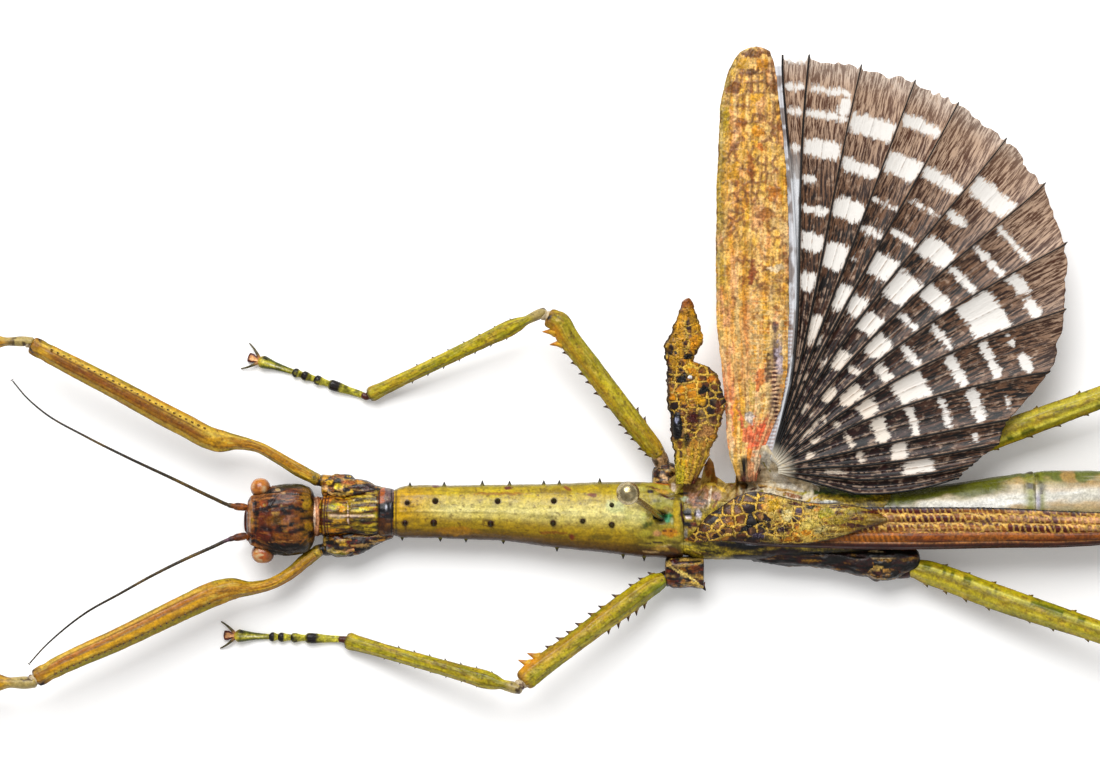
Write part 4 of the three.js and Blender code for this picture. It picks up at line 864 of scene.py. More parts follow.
# Brown spots and clear green of the long middle segment: x, y, half length, half width, turn, colour.
BACK_MARKS = [
    (2.73, -2.97, 0.42, 0.38, 0, rgb(130, 72, 26)), (5.44, 2.47, 0.6, 0.28, 0, rgb(130, 78, 30)),
    (2.2, 3.18, 0.7, 0.24, -20, rgb(140, 90, 34)), (-5.33, 3.33, 0.5, 0.24, 0, rgb(110, 66, 26)),
    (-14.7, 3.58, 0.5, 0.2, 0, rgb(110, 66, 26)), (6.6, -3.0, 1.4, 0.5, 0, rgb(128, 108, 24)),
    (0.4, -2.4, 2.2, 0.2, -2, rgb(140, 96, 34)), (8.3, 0.9, 1.5, 0.9, -8, rgb(206, 206, 140)),
    (-6.5, 2.6, 4.0, 0.2, 0, rgb(170, 126, 30)), (-12.0, -2.2, 3.0, 0.6, 0, rgb(176, 128, 26)),
]


def paint_mesothorax(tube):
    x, share = tube.x, side_of(tube, MESOTHORAX)
    long = grain(tube.points, (6, 0.7, 6), 31, 3)
    short = grain(tube.points, (0.8, 2.4, 6), 32, 3)
    colour = plain(tube, rgb(192, 164, 34))
    colour = over(colour, rgb(144, 118, 20), ease(0.0, 0.6, long) * 0.8)
    colour = over(colour, rgb(216, 194, 62), ease(0.0, 0.6, -short) * 0.5)
    colour = over(colour, rgb(214, 166, 34), ease(-12, -19, x) * 0.8)
    # A pale stripe along the back, just right of the middle: painted highlight.
    pale = bump(share, 0.12, 0.3) * (0.85 + 0.3 * short) * ease(-19, -12, x)
    colour = over(colour, rgb(248, 234, 150), pale)
    # Darker towards the left edge: the shell's olive-brown, deepening into painted shade at the edge.
    colour = over(colour, rgb(172, 140, 30), ease(-0.1, -0.5, share) * 0.8)
    colour = over(colour, rgb(116, 86, 22), ease(-0.5, -0.8, share) * 0.85)
    colour = over(colour, rgb(70, 44, 18), ease(-0.76, -0.98, share))
    threads = grain(tube.points, (3.5, 0.25, 6), 33, 3)
    colour = over(colour, colour * 0.55, ease(0.2, 0.5, threads) * 0.6)
    flecks = grain(tube.points, (0.5, 0.3, 1), 35, 2)
    colour = over(colour, rgb(96, 70, 20), ease(0.4, 0.6, flecks) * 0.6)
    colour = over(colour, rgb(120, 112, 52), ease(0.82, 1.0, share) * 0.8)
    colour = over(colour, rgb(112, 96, 34), 0.6 * bump(share, 0.02, 0.03))
    for prickle_x, across, _, _ in TUBERCLES:
        y, _, wide, _, _ = row_at(MESOTHORAX, prickle_x)
        away = np.hypot(x - prickle_x, tube.y - (y + wide * np.clip(across, -1, 1) * 0.97))
        colour = over(colour, rgb(64, 34, 16), 0.85 * ease(0.6, 0.3, away) * (abs(across) < 1))
    colour = spots(colour, tube.points, BACK_MARKS, 0.3)
    colour = over(
        colour, paint_root(tube.points, share), ease(9.0, 12.5, x + 1.5 * grain(tube.points, 1.4, 34)),
    )
    # Painted shade on the underside.
    colour = over(colour, rgb(110, 84, 34), ease(3.4, 2.2, tube.z))
    return over(colour, rgb(60, 34, 18), bump(x, -19.75, 0.12) * 0.8)


def build_mesothorax():
    tube = Tube(MESOTHORAX, 330, 150, power=2.3, upright=True, ends=(0.1, 0.1))
    share = side_of(tube, MESOTHORAX)
    top = ease(0.1, 0.7, np.sin(np.radians(tube.angle)))
    height = 0.07 * bump(share, 0.02, 0.05) * top
    height += 0.1 * bump(np.abs(share), 0.93, 0.06) * ease(3.0, 3.6, tube.z)
    height += 0.04 * grain(tube.points, (0.7, 3.0, 6), 32, 3) + 0.05 * grain(tube.points, (5, 0.8, 6), 31, 2)
    height += 0.02 * grain(tube.points, 0.3, 9)
    height -= 0.5 * ease(1.0, 0.4, np.linalg.norm(tube.points[..., :2] - [14.2, -0.35], axis=-1)) * top
    folds = 0.12 * grain(tube.points, (2.2, 0.5, 4), 36, 3) + 0.08 * grain(tube.points, 0.8, 37, 2)
    height += folds * ease(10.5, 13.5, tube.x) * top
    tube.raise_by(height)
    shape = tube.to(Shape(), paint=paint_mesothorax(tube))
    for x, across, height, radius in TUBERCLES:
        y, z, wide, rise, _ = row_at(MESOTHORAX, x)
        lift = (1 - abs(across) ** 2.3) ** (1 / 2.3) if abs(across) < 1 else 0
        on_flank = FLANK_PRICKLE_RISE if lift == 0 else 0
        root = (x, y + wide * across * 0.98, z + rise * lift * 0.98 + on_flank)
        skin = rgb(70, 38, 20) if lift else rgb(122, 112, 50)
        prickle(shape, root, (0, across * 0.9, lift + 0.15), height, radius, skin)
    made(
        "Mesothorax", shape, chitin("Mesothorax_shell", 0.4, 0.15, 0.16, dimple=0.12),
        "mesothorax_shell", "mesothorax",
    )


# Markings round the roots of the wings, some of them painted highlights, seen from above: x, y, half length,
# half width, turn, colour.
BLUE_BLACK = rgb(20, 14, 26)
ROOT_MARKS = [
    (10.6, -0.3, 2.2, 1.0, -8, rgb(206, 204, 116)), (9.4, -1.5, 1.6, 0.9, 0, rgb(192, 190, 96)),
    (11.0, -1.85, 2.4, 0.16, 26, rgb(74, 84, 34)), (12.4, -1.5, 1.0, 0.3, 26, rgb(96, 100, 40)),
    (14.4, 1.4, 1.4, 0.8, 0, rgb(170, 162, 80)), (13.7, 1.7, 0.5, 0.3, 0, rgb(130, 122, 36)),
    (15.2, 0.6, 0.8, 0.3, -20, rgb(150, 130, 60)), (14.3, -0.35, 1.1, 0.75, -6, rgb(36, 54, 36)),
    (13.5, -0.3, 0.45, 0.5, 0, rgb(34, 32, 24)), (14.5, -0.45, 0.4, 0.4, 0, rgb(14, 84, 66)),
    (15.3, -0.2, 0.5, 0.3, 0, rgb(40, 120, 70)), (15.1, -0.8, 0.4, 0.45, 0, rgb(96, 170, 128)),
    (15.6, -0.9, 0.25, 0.4, 0, rgb(206, 214, 160)), (16.2, 0.6, 0.42, 1.3, 0, rgb(206, 176, 60)),
    (16.3, -1.6, 0.4, 1.6, 0, rgb(214, 178, 66)), (15.4, -2.4, 1.1, 0.62, 0, rgb(212, 142, 34)),
    (14.7, -2.1, 0.3, 0.16, 0, rgb(96, 56, 20)), (15.5, -2.2, 0.22, 0.14, 0, rgb(110, 66, 22)),
    (16.0, -2.7, 0.2, 0.16, 0, rgb(232, 176, 54)), (13.7, -2.5, 0.6, 0.4, 0, rgb(206, 152, 100)),
    (12.0, -2.6, 1.3, 0.45, 10, rgb(176, 164, 66)), (13.4, -3.68, 1.7, 0.1, 3, rgb(64, 38, 18)),
    (11.0, -3.4, 1.4, 0.5, -8, rgb(120, 108, 36)), (10.4, -4.3, 1.8, 0.5, -6, rgb(84, 72, 22)),
    # The pale line at x 14.9 is a painted highlight on the yellow-orange patch.
    (14.4, -4.4, 1.3, 0.4, 0, rgb(208, 166, 76)), (14.9, -4.1, 0.8, 0.14, 10, rgb(236, 206, 128)),
    (13.0, -4.9, 1.2, 0.14, -6, rgb(214, 176, 120)), (15.8, -4.6, 1.0, 0.3, -30, rgb(120, 84, 24)),
    (11.6, 3.2, 0.9, 0.4, 0, rgb(192, 182, 92)), (12.9, 2.9, 0.42, 0.3, 0, rgb(60, 26, 12)),
    (14.4, 3.9, 1.2, 0.16, -8, rgb(204, 116, 44)), (14.2, 2.9, 1.1, 0.3, -14, rgb(196, 152, 64)),
    # The whitish mark at x 15.8 is a painted highlight.
    (14.9, 2.2, 1.3, 0.12, -24, rgb(84, 48, 20)), (15.8, 3.5, 0.3, 0.6, 0, rgb(222, 200, 176)),
    (13.4, 3.3, 0.9, 0.1, -16, rgb(110, 70, 26)), (17.2, 2.6, 0.9, 0.2, 0, rgb(64, 58, 30)),
    (17.5, 1.9, 0.8, 0.4, 0, rgb(186, 196, 160)), (17.7, 1.7, 0.35, 0.35, 0, rgb(232, 226, 216)),
    (16.9, 0.0, 0.2, 2.0, 6, rgb(74, 38, 18)), (17.6, 0.2, 0.56, 0.52, 0, BLUE_BLACK),
    (17.5, -1.2, 0.66, 0.48, 0, BLUE_BLACK), (17.75, -0.5, 0.36, 0.2, 0, rgb(236, 220, 222)),
    (19.0, 0.0, 0.5, 0.66, 0, rgb(232, 222, 232)), (18.55, 0.1, 0.2, 0.6, 0, rgb(64, 42, 52)),
    (18.5, -1.1, 0.5, 0.3, 0, rgb(104, 64, 44)), (17.4, -2.6, 0.3, 0.6, 0, rgb(156, 146, 132)),
    (18.1, -3.3, 0.8, 0.3, 0, rgb(196, 120, 34)),
    (19.3, 2.2, 1.7, 1.5, 40, rgb(170, 122, 92)), (19.4, 2.3, 0.5, 0.9, -28, rgb(126, 98, 62)),
    (20.5, 2.2, 0.2, 1.5, -8, rgb(230, 210, 182)), (18.7, 1.6, 0.14, 0.9, -30, rgb(110, 70, 50)),
    (19.8, 1.1, 0.12, 0.8, -30, rgb(216, 186, 160)), (21.4, 2.2, 0.6, 0.7, 0, rgb(180, 140, 118)),
    (21.2, 1.3, 0.2, 0.8, -30, rgb(130, 84, 60)), (19.3, 3.4, 0.9, 0.22, 32, rgb(222, 186, 84)),
    (20.6, 3.8, 0.8, 0.24, -4, rgb(230, 194, 84)), (22.0, 3.2, 0.9, 0.22, -34, rgb(226, 184, 76)),
    (18.4, 3.0, 0.5, 0.4, 0, rgb(130, 96, 60)),
    # The pale line at x 17.6 is a painted highlight on the bright yellow.
    (18.2, -4.3, 1.4, 0.6, -8, rgb(220, 194, 72)), (17.6, -3.9, 0.7, 0.2, -10, rgb(242, 224, 130)),
    (20.4, -4.3, 2.0, 0.4, -6, rgb(190, 168, 70)), (19.4, -5.1, 1.6, 0.24, -6, rgb(120, 92, 28)),
    (17.0, -5.3, 1.4, 0.2, 0, rgb(66, 40, 18)), (20.8, -4.9, 1.2, 0.14, -12, BLACK),
    (19.6, -4.0, 1.0, 0.1, -10, rgb(84, 66, 28)), (18.8, -4.9, 0.9, 0.12, -24, rgb(226, 190, 90)),
    (22.2, -3.9, 1.1, 0.35, -4, rgb(60, 44, 60)), (25.3, -4.0, 2.7, 0.62, 0, BLUE_BLACK),
    # The pale line at x 26.4 is a painted highlight on the blue-black mark before it.
    (26.4, -3.85, 1.7, 0.12, 5, rgb(206, 206, 220)), (24.0, -5.0, 2.6, 0.2, -6, rgb(176, 150, 60)),
    (29.5, -4.9, 2.8, 0.5, 2, rgb(66, 40, 20)), (29.0, -4.3, 1.2, 0.2, 4, rgb(140, 108, 52)),
    (33.5, -5.2, 3.6, 0.35, 3, rgb(40, 24, 20)), (26.0, -5.6, 3.2, 0.4, -3, rgb(60, 48, 22)),
    (32.4, 2.7, 1.4, 0.4, -6, rgb(190, 176, 76)), (36.0, 2.9, 2.6, 0.5, 0, rgb(74, 88, 44)),
    (35.4, 1.55, 1.5, 0.16, 0, rgb(236, 238, 232)), (39.5, 2.6, 2.6, 0.6, 0, rgb(98, 106, 50)),
    (31.0, 2.3, 1.3, 0.3, -14, rgb(150, 96, 40)), (33.6, 1.9, 1.2, 0.2, 20, rgb(222, 186, 80)),
]
# The same for the pleated skin at the hind wing's hinge; each of these also stands a little proud.
HINGE_MARKS = [
    (26.4, 5.6, 1.3, 2.2, 0, rgb(206, 176, 138)), (24.8, 5.5, 0.55, 2.0, 0, BLACK),
    (24.6, 7.1, 0.4, 0.35, 0, rgb(70, 42, 28)), (24.9, 3.5, 0.6, 0.5, 0, BLACK),
    (24.95, 4.5, 0.25, 0.2, 0, rgb(150, 100, 60)), (25.35, 7.3, 0.25, 1.0, 0, rgb(232, 152, 62)),
    (26.2, 6.5, 0.5, 0.8, 0, rgb(234, 218, 194)), (25.9, 4.6, 0.6, 0.5, 0, rgb(226, 198, 150)),
    (26.8, 5.6, 0.18, 0.6, 0, rgb(90, 58, 36)), (27.7, 7.0, 0.9, 1.0, 0, rgb(212, 202, 184)),
    (28.0, 5.9, 1.3, 0.12, -45, rgb(156, 144, 84)), (27.6, 5.0, 1.0, 0.5, -30, rgb(230, 208, 170)),
    (29.6, 4.3, 1.6, 0.8, -35, rgb(238, 228, 210)), (31.2, 3.4, 1.6, 0.4, -20, rgb(232, 220, 200)),
    (29.0, 3.2, 3.2, 0.2, -10, rgb(212, 168, 100)), (26.6, 3.2, 1.6, 0.14, 10, rgb(96, 66, 34)),
    (20.3, 5.8, 0.5, 1.3, 0, rgb(140, 88, 50)), (20.0, 6.4, 0.2, 0.7, 0, rgb(84, 48, 30)),
]


def paint_root(points, share):
    """The thorax where the wings join it."""
    x = points[..., 0]
    colour = np.broadcast_to(rgb(150, 128, 48), points.shape).copy()
    colour = over(colour, rgb(84, 58, 24), ease(0.0, 0.4, grain(points, (2.2, 0.6, 3), 41, 3)))
    colour = over(colour, rgb(206, 178, 78), ease(0.1, 0.4, grain(points, (2.0, 0.5, 3), 42, 3)) * 0.8)
    colour = over(colour, rgb(150, 142, 60), ease(0.72, 0.9, share) * ease(40, 36, x))
    colour = over(colour, rgb(50, 34, 18), ease(-0.6, -0.95, share) * ease(20, 26, x))
    colour = over(colour, rgb(180, 158, 56), bump(share, -0.78, 0.16) * ease(26, 20, x))
    soft = grain(points, (1.6, 0.5, 3), 40, 3)
    front = over(np.broadcast_to(rgb(176, 158, 66), points.shape), rgb(120, 104, 38), ease(0.0, 0.4, soft))
    front = over(front, rgb(84, 60, 22), ease(-0.5, -0.9, share))
    colour = over(colour, front, ease(17.5, 16.5, x))
    colour = spots(colour, points, ROOT_MARKS, 0.3, 0.1)
    threads = grain(points, (1.8, 0.2, 3), 48, 3)
    return over(colour, colour * 0.35, ease(0.1, 0.4, threads) * (0.35 + 0.5 * ease(16.5, 18.5, x)))


def paint_metathorax(tube):
    colour = paint_root(tube.points, side_of(tube, METATHORAX))
    # Painted shade on the underside.
    return over(colour, rgb(58, 38, 22), ease(3.0, 2.0, tube.z))


def build_metathorax():
    tube = Tube(METATHORAX, 240, 120, power=2.3, upright=True, ends=(0.1, 0.1))
    height = 0.14 * grain(tube.points, (2.0, 0.9, 1.2), 43, 3) + 0.03 * grain(tube.points, 0.35, 9)
    height += 0.12 * bump(tube.z, 3.2, 0.22) - 0.12 * bump(tube.z, 2.5, 0.18)
    height *= ease(0.0, 0.5, tube.z)
    tube.raise_by(height)
    shape = tube.to(Shape(), paint=paint_metathorax(tube))
    flank = Tube(FLANK_LEFT, 220, 70, power=2.2, upright=True, ends=(0.8, 0.9))
    flank.raise_by(0.2 * grain(flank.points, (2.2, 0.6, 0.8), 49, 3) + 0.04 * grain(flank.points, 0.35, 9))
    lines = grain(flank.points, (2.6, 0.3, 0.6), 50, 3)
    colour = over(plain(flank, rgb(70, 44, 24)), rgb(30, 18, 12), ease(-0.1, 0.3, lines))
    colour = over(colour, rgb(150, 112, 56), ease(0.15, 0.5, -lines) * 0.8)
    colour = over(colour, rgb(206, 184, 140), bump(flank.x, 42.5, 1.6) * ease(0.2, 0.5, -lines))
    flank.to(shape, paint=colour)
    made("Metathorax", shape, chitin("Metathorax_shell", 0.42, 0.15), "metathorax_shell", "metathorax")


# Outer edge of the skin that joins the right wings to the body: x, y and height there.
ROOT_EDGE = [
    (15.2, 4.2, 5.2), (16.0, 5.0, 6.3), (18.2, 5.0, 6.3), (19.4, 4.6, 5.9), (19.9, 6.4, 6.3),
    (20.4, 7.3, 6.5), (20.9, 6.6, 6.3), (21.2, 4.9, 5.8), (22.6, 3.9, 5.4), (23.8, 3.9, 5.5),
    (24.1, 7.2, 6.6), (25.2, 8.4, 6.9), (27.8, 8.9, 7.1), (28.8, 7.2, 7.0), (29.9, 6.4, 6.9),
    (31.4, 5.6, 6.8), (32.8, 4.4, 6.4), (34.6, 3.3, 5.3),
]

ROOT_INNER = 1.4        # y where the skin starts on the back
# Cross-section of the body under the skin: its middle, half width, rise and squareness.
BODY_Y, BODY_Z, BODY_HALF_WIDTH, BODY_RISE, BODY_POWER = -1.0, 3.5, 4.9, 2.62, 2.3


def build_wing_roots():
    """Folded skin and small plates that join the spread wings to the thorax."""
    edge = np.array(ROOT_EDGE)
    x = np.linspace(edge[0, 0], edge[-1, 0], int(260 * FINE))[:, None]
    share = np.linspace(0, 1, int(96 * FINE))[None]
    outer = np.interp(x, edge[:, 0], edge[:, 1])
    rim = np.interp(x, edge[:, 0], edge[:, 2])
    y = ROOT_INNER + (outer - ROOT_INNER) * share
    aside = np.clip(np.abs(y - BODY_Y) / BODY_HALF_WIDTH, 0, 0.999)
    body_z = BODY_Z + BODY_RISE * np.clip(1 - aside ** BODY_POWER, 0, 1) ** (1 / BODY_POWER)
    z = body_z + (rim - body_z) * ease(0.25, 1.0, share) - 0.12 * ease(0.12, 0.0, share)
    points = np.stack([x + 0 * y, y, z], axis=-1)
    folds = grain(points, (1.0, 1.6, 5), 45, 3)
    creases = grain(np.stack([x - 0.7 * y, y * 0, y * 0], axis=-1), 0.55, 46, 2)
    points[..., 2] += (0.26 * folds + 0.12 * creases) * ease(0.0, 0.25, share) * ease(1.0, 0.85, share)
    for mark_x, mark_y, long, wide, _, _ in HINGE_MARKS:
        points[..., 2] += 0.12 * np.exp(-((x - mark_x) / long) ** 2 - ((y - mark_y) / wide) ** 2)
    colour = np.broadcast_to(rgb(176, 146, 84), points.shape).copy()
    # Paler on the fold crests near the hinge, darker in the fold hollows: painted light and shade of the
    # folds.
    colour = over(colour, rgb(206, 186, 148), ease(0.0, 0.4, folds) * ease(22, 25.5, x))
    colour = over(colour, rgb(130, 92, 48), ease(0.05, 0.4, -folds))
    colour = over(colour, rgb(190, 170, 70), ease(20, 18, x) * ease(0.0, 0.4, creases) * 0.8)
    colour = over(colour, rgb(224, 204, 168), ease(24.8, 25.6, x))
    colour = spots(colour, points, ROOT_MARKS, 0.3)
    colour = spots(colour, points, HINGE_MARKS, 0.3)
    pleats = grain(points, (0.4, 1.2, 3), 47, 3)
    colour = over(colour, rgb(128, 90, 56), ease(0.15, 0.45, pleats) * (0.7 - 0.4 * ease(24.8, 25.6, x)))
    colour = over(colour, rgb(250, 238, 210), ease(0.2, 0.5, -pleats) * ease(24.8, 25.6, x) * 0.6)
    shape = sheet_to(Shape(), points, 0.12, paint=colour)
    made(
        "Wing_root_skin", shape, chitin("Wing_root_skin", 0.5, 0.1, 0.18, depth=0.06, dimple=0.12),
        "metathorax_shell",
    )


# ---- abdomen -------------------------------------------------------------------------------
ABDOMEN = [
    (43.9, 62.1, 3.8, 4.1), (62.4, 78.8, 4.1, 4.0), (79.1, 95.4, 4.0, 3.8), (95.7, 112.1, 3.8, 3.6),
    (112.4, 128.8, 3.6, 3.4), (129.1, 140.3, 3.4, 3.3), (140.6, 148.0, 3.2, 2.9), (148.3, 154.4, 2.8, 2.5),
    (154.7, 160.4, 2.4, 1.5),
]
ABDOMEN_Z = 3.6
ABDOMEN_RISE = 0.74
EGG_SEGMENTS_FROM = 8


def abdomen_axis(x):
    return -0.7 + 2.1 * ease(43, 66, np.asarray(x, float))


def paint_abdomen(tube, first, last, number):
    x = tube.x
    across = (tube.y - abdomen_axis(x)) / 4.0
    ragged = 0.25 * grain(tube.points, (3.0, 0.8, 2), 51, 3)
    colour = plain(tube, rgb(176, 158, 96))
    colour = over(colour, rgb(112, 118, 62), ease(0.62, 0.8, across + ragged))
    blotch = ease(0.0, 0.4, grain(tube.points, (1.8, 1.2, 2), 55, 2))
    colour = over(colour, rgb(190, 150, 92), blotch * ease(0.45, 0.75, across + ragged) * 0.8)
    colour = over(colour, rgb(198, 158, 92), bump(across + ragged, 0.5, 0.14) * 0.8)
    # A near-white band along the back, just right of the middle: painted highlight.
    colour = over(colour, rgb(254, 252, 244), bump(across + ragged * 0.4, 0.2, 0.3))
    colour = over(colour, rgb(206, 170, 116), bump(across + ragged, -0.12, 0.14) * 0.7)
    colour = over(colour, rgb(150, 128, 62), ease(-0.25, -0.45, across + ragged))
    colour = over(colour, rgb(96, 74, 36), ease(-0.6, -0.95, across + ragged))
    colour = over(colour, rgb(186, 178, 150), 0.5 * ease(0.1, 0.6, grain(tube.points, (5, 0.4, 3), 52, 3)))
    if number == 2:
        green = ease(60, 57, x) * ease(0.35, 0.6, across + ragged)
        colour = over(colour, rgb(104, 106, 44), green)
    ends = bump(x, last - 0.5, 0.7) + bump(x, first + 0.5, 0.5)
    colour = over(colour, rgb(134, 138, 60), ends * 0.8)
    dark = ends * ease(0.05, 0.4, grain(tube.points, (1.2, 0.9, 2), 53 + number, 2))
    colour = over(colour, rgb(66, 54, 30), dark * 0.9)
    colour = over(colour, rgb(196, 190, 206), bump(x, first + 0.15, 0.3) * bump(across, 0.1, 0.3))
    # Painted shade on the underside.
    return over(colour, rgb(122, 104, 58), ease(3.0, 2.0, tube.z))


def build_abdomen():
    for i, (first, last, wide_first, wide_last) in enumerate(ABDOMEN):
        number = i + 2
        belly = 1.6 if number >= EGG_SEGMENTS_FROM else 0.4
        rows = []
        tail = last == ABDOMEN[-1][1]
        for x, size in (
            (first - 1.2, 0.86), (first - 0.3, 0.93), (first + 0.4, 0.985), (first + 1.4, 1.0),
            ((first + last) / 2, 0.99), (last - 1.0, 1.0), (last - 0.1, 1.02), (last + 0.15, 0.97),
        ):
            wide = np.interp(x, [first, last], [wide_first, wide_last]) * size
            if tail and x > last - 1.2:
                wide *= 0.95
            rows.append(
                (x, abdomen_axis(x), ABDOMEN_Z, wide, wide * ABDOMEN_RISE, (ABDOMEN_Z - belly) * size)
            )
        tube = Tube(rows, int(24 + (last - first) * 7), 120, power=2.3, upright=True, ends=(0.05, 0.12))
        across = (tube.y - abdomen_axis(tube.x)) / wide_first
        top = ease(0.1, 0.7, np.sin(np.radians(tube.angle)))
        height = 0.1 * bump(across, 0, 0.05) * top + 0.12 * bump(np.abs(across), 0.93, 0.05)
        height -= 0.08 * bump(tube.x, last - 1.1, 0.25)
        height += (
            0.05 * grain(tube.points, (4.0, 0.7, 2), 54, 3)
            + 0.05 * grain(tube.points, (1.2, 3, 3), 55, 2)
        )
        tube.raise_by(height)
        shape = tube.to(Shape(), paint=paint_abdomen(tube, first, last, number))
        material = chitin(f"Abdomen_shell_{number}", 0.34, 0.2, 0.14, dimple=0.08)
        made(f"Abdomen_{number:02d}", shape, material, "abdomen_shell", f"abdomen_{number}")
    plate = Tube([
        (140.6, abdomen_axis(141), 1.1, 1.2, 0.3, 0.5), (141.5, abdomen_axis(141), 0.85, 1.65, 0.5, 0.5),
        (144.1, abdomen_axis(144), 0.75, 1.9, 0.5, 0.45), (152.2, abdomen_axis(152), 0.75, 1.85, 0.5, 0.45),
        (159.8, abdomen_axis(160), 0.75, 1.3, 0.45, 0.4), (163.0, abdomen_axis(163), 0.75, 0.45, 0.3, 0.3),
    ], 150, 70, power=2.6, upright=True, ends=(0.2, 0.25))
    plate.raise_by(
        -0.12 * bump(np.abs(plate.y - 1.4), 0.9, 0.12) + 0.03 * grain(plate.points, (2.5, 0.5, 1), 3, 2)
    )
    colour = over(
        plain(plate, rgb(132, 122, 62)), rgb(86, 66, 34),
        ease(0, 0.5, grain(plate.points, (2, 0.6, 1), 7, 3)),
    )
    made(
        "Operculum", plate.to(Shape(), paint=colour), chitin("Egg_plate_shell", 0.45, 0.1), "egg_plate",
        "operculum",
    )
    for name, hand in (("cercus_right", 1), ("cercus_left", -1)):
        root, y = 160.7, float(abdomen_axis(160.7))
        rows = [
            (root - 1.2, y + hand * 0.55, 3.7, 0.35, 0.25), (root, y + hand * 0.75, 3.8, 0.45, 0.3),
            (root + 2.2, y + hand * 0.95, 3.65, 0.71, 0.3), (root + 4.3, y + hand * 1.15, 3.5, 0.66, 0.28),
            (root + 5.7, y + hand * 1.26, 3.42, 0.36, 0.2),
        ]
        leaf = Tube(rows, 90, 36, ends=(0.1, 0.45))
        leaf.raise_by(-0.06 * bump(leaf.angle, 90, 14) + 0.02 * grain(leaf.points, (1.5, 0.3, 1), 3, 2))
        colour = over(plain(leaf, rgb(146, 136, 62)), DARK_OLIVE, ease(0.1, 0.5, grain(leaf.points, 0.9, 6)))
        made(
            name.capitalize(), leaf.to(Shape(), paint=colour), chitin(name + "_shell", 0.45, 0.1),
            "cercus", name,
        )


